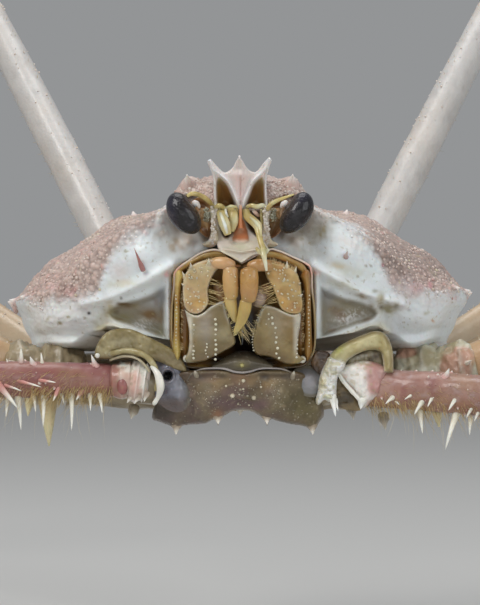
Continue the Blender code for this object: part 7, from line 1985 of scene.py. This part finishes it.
            # small thorns and warts
            rng = np.random.default_rng(900 + side * 7 + len(part))
            mm = {"merus": 60, "carpus": 26, "palm": 70}[part]
            i = rng.integers(8, int(P.shape[0] * (0.95 if part != "palm" else 0.55)), mm)
            j = rng.integers(0, P.shape[1], mm)
            for ii, jj in zip(i, j):
                base, n_ = P[ii, jj], N[ii, jj]
                spine(bag, base, base + unit(n_ + 0.3 * unit(b - a)) * rng.uniform(0.15, 0.5), rng.uniform(0.12, 0.22), A(0.56, 0.28, 0.24), A(0.80, 0.74, 0.66), sides=8, rings=5, sink=0.15)
            s = rng.uniform(0.06, 0.14, 160)
            i = rng.integers(6, P.shape[0] - 6, 160)
            j = rng.integers(0, P.shape[1], 160)
            bumps(bag, P[i, j], N[i, j], s, s, blend(np.broadcast_to(A(0.48, 0.24, 0.20), (160, 3)).copy(), A(0.70, 0.58, 0.52), rng.uniform(0, 1, 160) ** 2), DOME_SMALL)
            # golden bristles on the lower and front faces
            golden = A(0.60, 0.44, 0.20)
            fr_lo, fr_hi = (60, 190)
            if (front @ across) < 0:
                fr_lo, fr_hi = 170, 300
            limb_setae(setae, P, t, fr_lo, fr_hi, {"merus": 700 if side < 0 else 380, "carpus": 90, "palm": 200}[part], 1.5, 0.020, golden, 950 + side * 3 + len(part), way=A(0, -0.2, -0.5), flare=0.6)
            limb_setae(setae, P, t, 150, 210, {"merus": 160, "carpus": 30, "palm": 60}[part], 3.2, 0.022, A(0.66, 0.52, 0.26), 970 + side * 3 + len(part), way=A(0, -0.1, -0.2), flare=0.9)
            if part == "merus":
                low_face = (180, 255) if (front @ across) < 0 else (105, 180)
                limb_setae(setae, P, t, low_face[0], low_face[1], 420 if side < 0 else 200, 1.7, 0.026, A(0.62, 0.47, 0.22), 1010 + side, way=A(0, -0.1, -0.9), lo=0.02, hi=0.22, flare=0.5)
                limb_setae(setae, P, t, low_face[0], low_face[1], 260 if side < 0 else 130, 2.2, 0.022, A(0.66, 0.52, 0.28), 1020 + side, way=A(0, -0.1, -0.9), lo=0.22, hi=0.97, flare=0.5)
                limb_setae(setae, P, t, 165, 200, 26, 5.2, 0.024, A(0.72, 0.64, 0.46), 1030 + side, way=A(-0.2 * side, -0.1, -0.7), lo=0.02, hi=0.5, flare=0.8)
            pieces.append(("pincer_%s_%s" % (side_name, part), bag, GLOSSY))
        # moving finger
        bag = Bag()
        axis, up = limb_axes(shapes["palm"][0], shapes["palm"][1], unit(np.cross(A(0, 0, 1), shapes["palm"][1] - shapes["palm"][0])))
        across = unit(np.cross(A(0, 0, 1), shapes["palm"][1] - shapes["palm"][0]))
        reach = tip - knuckle
        q = np.linspace(0.03, 0.98, 70)
        r = np.interp(q, [0.03, 0.1, 0.35, 0.7, 0.98], [0.9, 1.35, 1.1, 0.8, 0.3])
        cc = knuckle + reach * q[:, None] + up * (1.75 + 0.9 * np.sin(np.pi * q * 0.8) - 1.0 * q ** 1.5)[:, None]
        ang = np.linspace(0, 2 * np.pi, 32, endpoint=False)
        P = cc[:, None] + up * (np.cos(ang)[None] * r[:, None])[..., None] + across * (np.sin(ang)[None] * r[:, None] * 0.8)[..., None]
        C = paint(P, np.broadcast_to(q[:, None] * 0.8 + 0.1, P.shape[:2]), np.broadcast_to(ang[None], P.shape[:2]))
        C = blend(C, A(0.80, 0.68, 0.58), 0.8 * smooth(0.3, 0.9, q)[:, None] * np.ones(P.shape[:2]))
        bag.grid(P, C, wrap=True, caps=True)
        for k in range(11):
            qq = 0.15 + 0.07 * k
            cen = knuckle + reach * qq + up * (1.75 + 0.9 * math.sin(math.pi * qq * 0.8) - 1.0 * qq ** 1.5)
            rr = float(np.interp(qq, [0.03, 0.1, 0.35, 0.7, 0.98], [0.9, 1.35, 1.1, 0.8, 0.3]))
            spine(bag, cen - up * rr * 0.9, cen - up * (rr + 0.3), 0.25, A(0.80, 0.72, 0.60), white, sides=8, rings=4, sink=0.2)
        limb_setae(setae, P, np.linspace(0, 1, 70), 0, 360, 120, 0.9, 0.025, A(0.60, 0.44, 0.20), 990 + side)
        pieces.append(("pincer_%s_finger" % side_name, bag, GLOSSY))
        for centre_, r_ in ((elbow, 1.75), (wrist, 1.6), (knuckle + A(0, 0, 0) + up * 0.6, 1.7)):
            th = np.linspace(0.05, np.pi - 0.05, 18)[:, None]
            ph = np.linspace(0, 2 * np.pi, 24, endpoint=False)[None]
            qv = np.stack([np.sin(th) * np.cos(ph), np.sin(th) * np.sin(ph), np.cos(th) + 0 * ph], -1) * r_
            joints.grid(centre_ + qv, blend(np.broadcast_to(A(0.66, 0.46, 0.38), qv.shape).copy(), A(0.78, 0.66, 0.56), smooth(-0.5, 0.5, noise(centre_ + qv, 0.8, 5))), wrap=True, caps=True)
    return pieces, joints, setae


# ------------------------------------------------------------------ put together
shell = build_carapace()
for k, (base, tip, r) in enumerate(shell_spines()):
    spine(shell, base, tip, r, A(0.66, 0.46, 0.42), A(0.86, 0.78, 0.74), sides=12, rings=9, sink=0.35)
for s, bx, by, tx, ty, c0 in ((-1, 141.0, 265.0, 134.0, 247.6, A(0.44, 0.21, 0.20)), (1, 345.5, 257.5, 347.6, 250.8, A(0.46, 0.24, 0.24))):
    spine(shell, at(bx, by, 1.2 if s < 0 else 2.0), at(tx, ty, -0.9 if s < 0 else -1.2), 0.21 if s < 0 else 0.30, c0, A(0.42, 0.20, 0.19) if s < 0 else A(0.60, 0.50, 0.46), sides=16, rings=14, sink=0.8, power=0.8)
shell.build("carapace_shell", PORCELAIN, ("carapace",), slot="shell")
build_granules().build("carapace_granules", GRANULAR, slot="shell")
build_rostrum().build("forehead_spines", PORCELAIN, slot="shell")
build_mounds().build("brow_mounds", GRANULAR, slot="shell")
eyes, stalks = build_eyes()
build_brow(stalks)
eyes.build("eyes", CORNEA, ("eye_left", "eye_right"), slot="cornea")
stalks.build("eyestalks", MEMBRANE, ("eyestalk_left", "eyestalk_right"), slot="yellow")
build_feelers().build("feelers", MEMBRANE, ("antenna_left", "antenna_right", "antennule_left", "antennule_right"), slot="yellow")
build_epistome().build("epistome_plate", GLOSSY, ("epistome",), slot="bone")
frame_bag, jaws, palps, bristles = build_mouth()
frame_bag.build("mouth_rim", AMBER, ("mouth_frame",), slot="olive")
jaws.build("jaw_plates", AMBER, ("maxilliped_left", "maxilliped_right"), slot="ochre")
palps.build("jaw_palps", AMBER, ("palp_left", "palp_right"), slot="orange")
bristles.build("mouth_bristles", HAIR, hair=True, slot="orange")
thorax, gran, thorax_paint = build_thorax()
thorax_shelf(thorax)
hips, skin = build_hips()
thorax.build("breastplate", MOTTLED, ("thorax",), slot="breast")
build_tail().build("tail_plates", MOTTLED, ("abdomen",), slot="breast")
gran.build("breast_granules", MOTTLED, slot="breast")
hips.build("hip_pieces", CRAGGY, slot="bone")
skin.build("hip_skin", MEMBRANE, slot="bone")

walk_pieces, walk_joints, walk_setae = build_walking_legs()
arm_pieces, arm_joints, arm_setae = build_pincers()
for name, bag, mat in walk_pieces + arm_pieces:
    bag.build(name + "_shell", mat, (name,), slot="leg" if name.startswith("leg") else "pink")
walk_joints.build("leg_joint_skin", MEMBRANE, slot="leg")
arm_joints.build("pincer_joint_skin", MEMBRANE, slot="pink")
walk_setae.build("leg_bristles", HAIR, hair=True, slot="leg")
arm_setae.build("pincer_bristles", HAIR, hair=True, slot="pink")


# ------------------------------------------------------------------ floor, light and camera
def stage():
    me = bpy.data.meshes.new("floor")
    n = 96
    ring = [(3.0 * math.cos(2 * math.pi * k / n), 3.0 * math.sin(2 * math.pi * k / n), 0.0) for k in range(n)]
    me.from_pydata(ring, [], [list(range(n))])
    floor = bpy.data.objects.new("floor", me)
    bpy.context.scene.collection.objects.link(floor)
    m = bpy.data.materials.new("floor")
    m.use_nodes = True
    s = m.node_tree.nodes["Principled BSDF"]
    s.inputs["Base Color"].default_value = (0.62, 0.62, 0.61, 1)
    s.inputs["Roughness"].default_value = 0.75
    me.materials.append(m)

    world = bpy.data.worlds.new("studio")
    bpy.context.scene.world = world
    world.use_nodes = True
    world.node_tree.nodes["Background"].inputs["Color"].default_value = (0.86, 0.88, 0.90, 1)
    world.node_tree.nodes["Background"].inputs["Strength"].default_value = 0.34

    def lamp(name, place, target, size, power, colour=(1, 1, 1)):
        data = bpy.data.lights.new(name, "AREA")
        data.shape = "RECTANGLE"
        data.size, data.size_y = size
        data.energy = power
        data.color = colour
        item = bpy.data.objects.new(name, data)
        bpy.context.scene.collection.objects.link(item)
        p = Vector((A(*place) * 0.001 + SHIFT).tolist())
        q = Vector((A(*target) * 0.001 + SHIFT).tolist())
        item.location = p
        item.rotation_euler = (q - p).to_track_quat("-Z", "Y").to_euler()

    lamp("key", (-230, -260, 300), (0, 10, 0), (0.20, 0.20), 0.95, (1.0, 0.98, 0.95))
    lamp("fill", (280, -240, 120), (0, 10, 0), (0.25, 0.25), 0.38, (0.95, 0.98, 1.0))
    lamp("top", (0, 60, 420), (0, 20, 0), (0.30, 0.30), 0.75)
    lamp("low", (0, -330, 28), (0, 0, -5), (0.30, 0.12), 0.10)

    cam = bpy.data.cameras.new("camera")
    cam.sensor_fit = "AUTO"
    cam.sensor_width = 36.0
    cam.lens = 36.0 * FOCAL / 605.0
    cam.clip_start = 0.005
    cam.clip_end = 20
    item = bpy.data.objects.new("camera", cam)
    item.location = Vector((A(0, -VIEW_BACK, 0) * 0.001 + SHIFT).tolist())
    item.rotation_euler = (math.pi / 2, 0, 0)
    bpy.context.scene.collection.objects.link(item)
    bpy.context.scene.camera = item
    bpy.context.scene.view_settings.view_transform = "Standard"


stage()
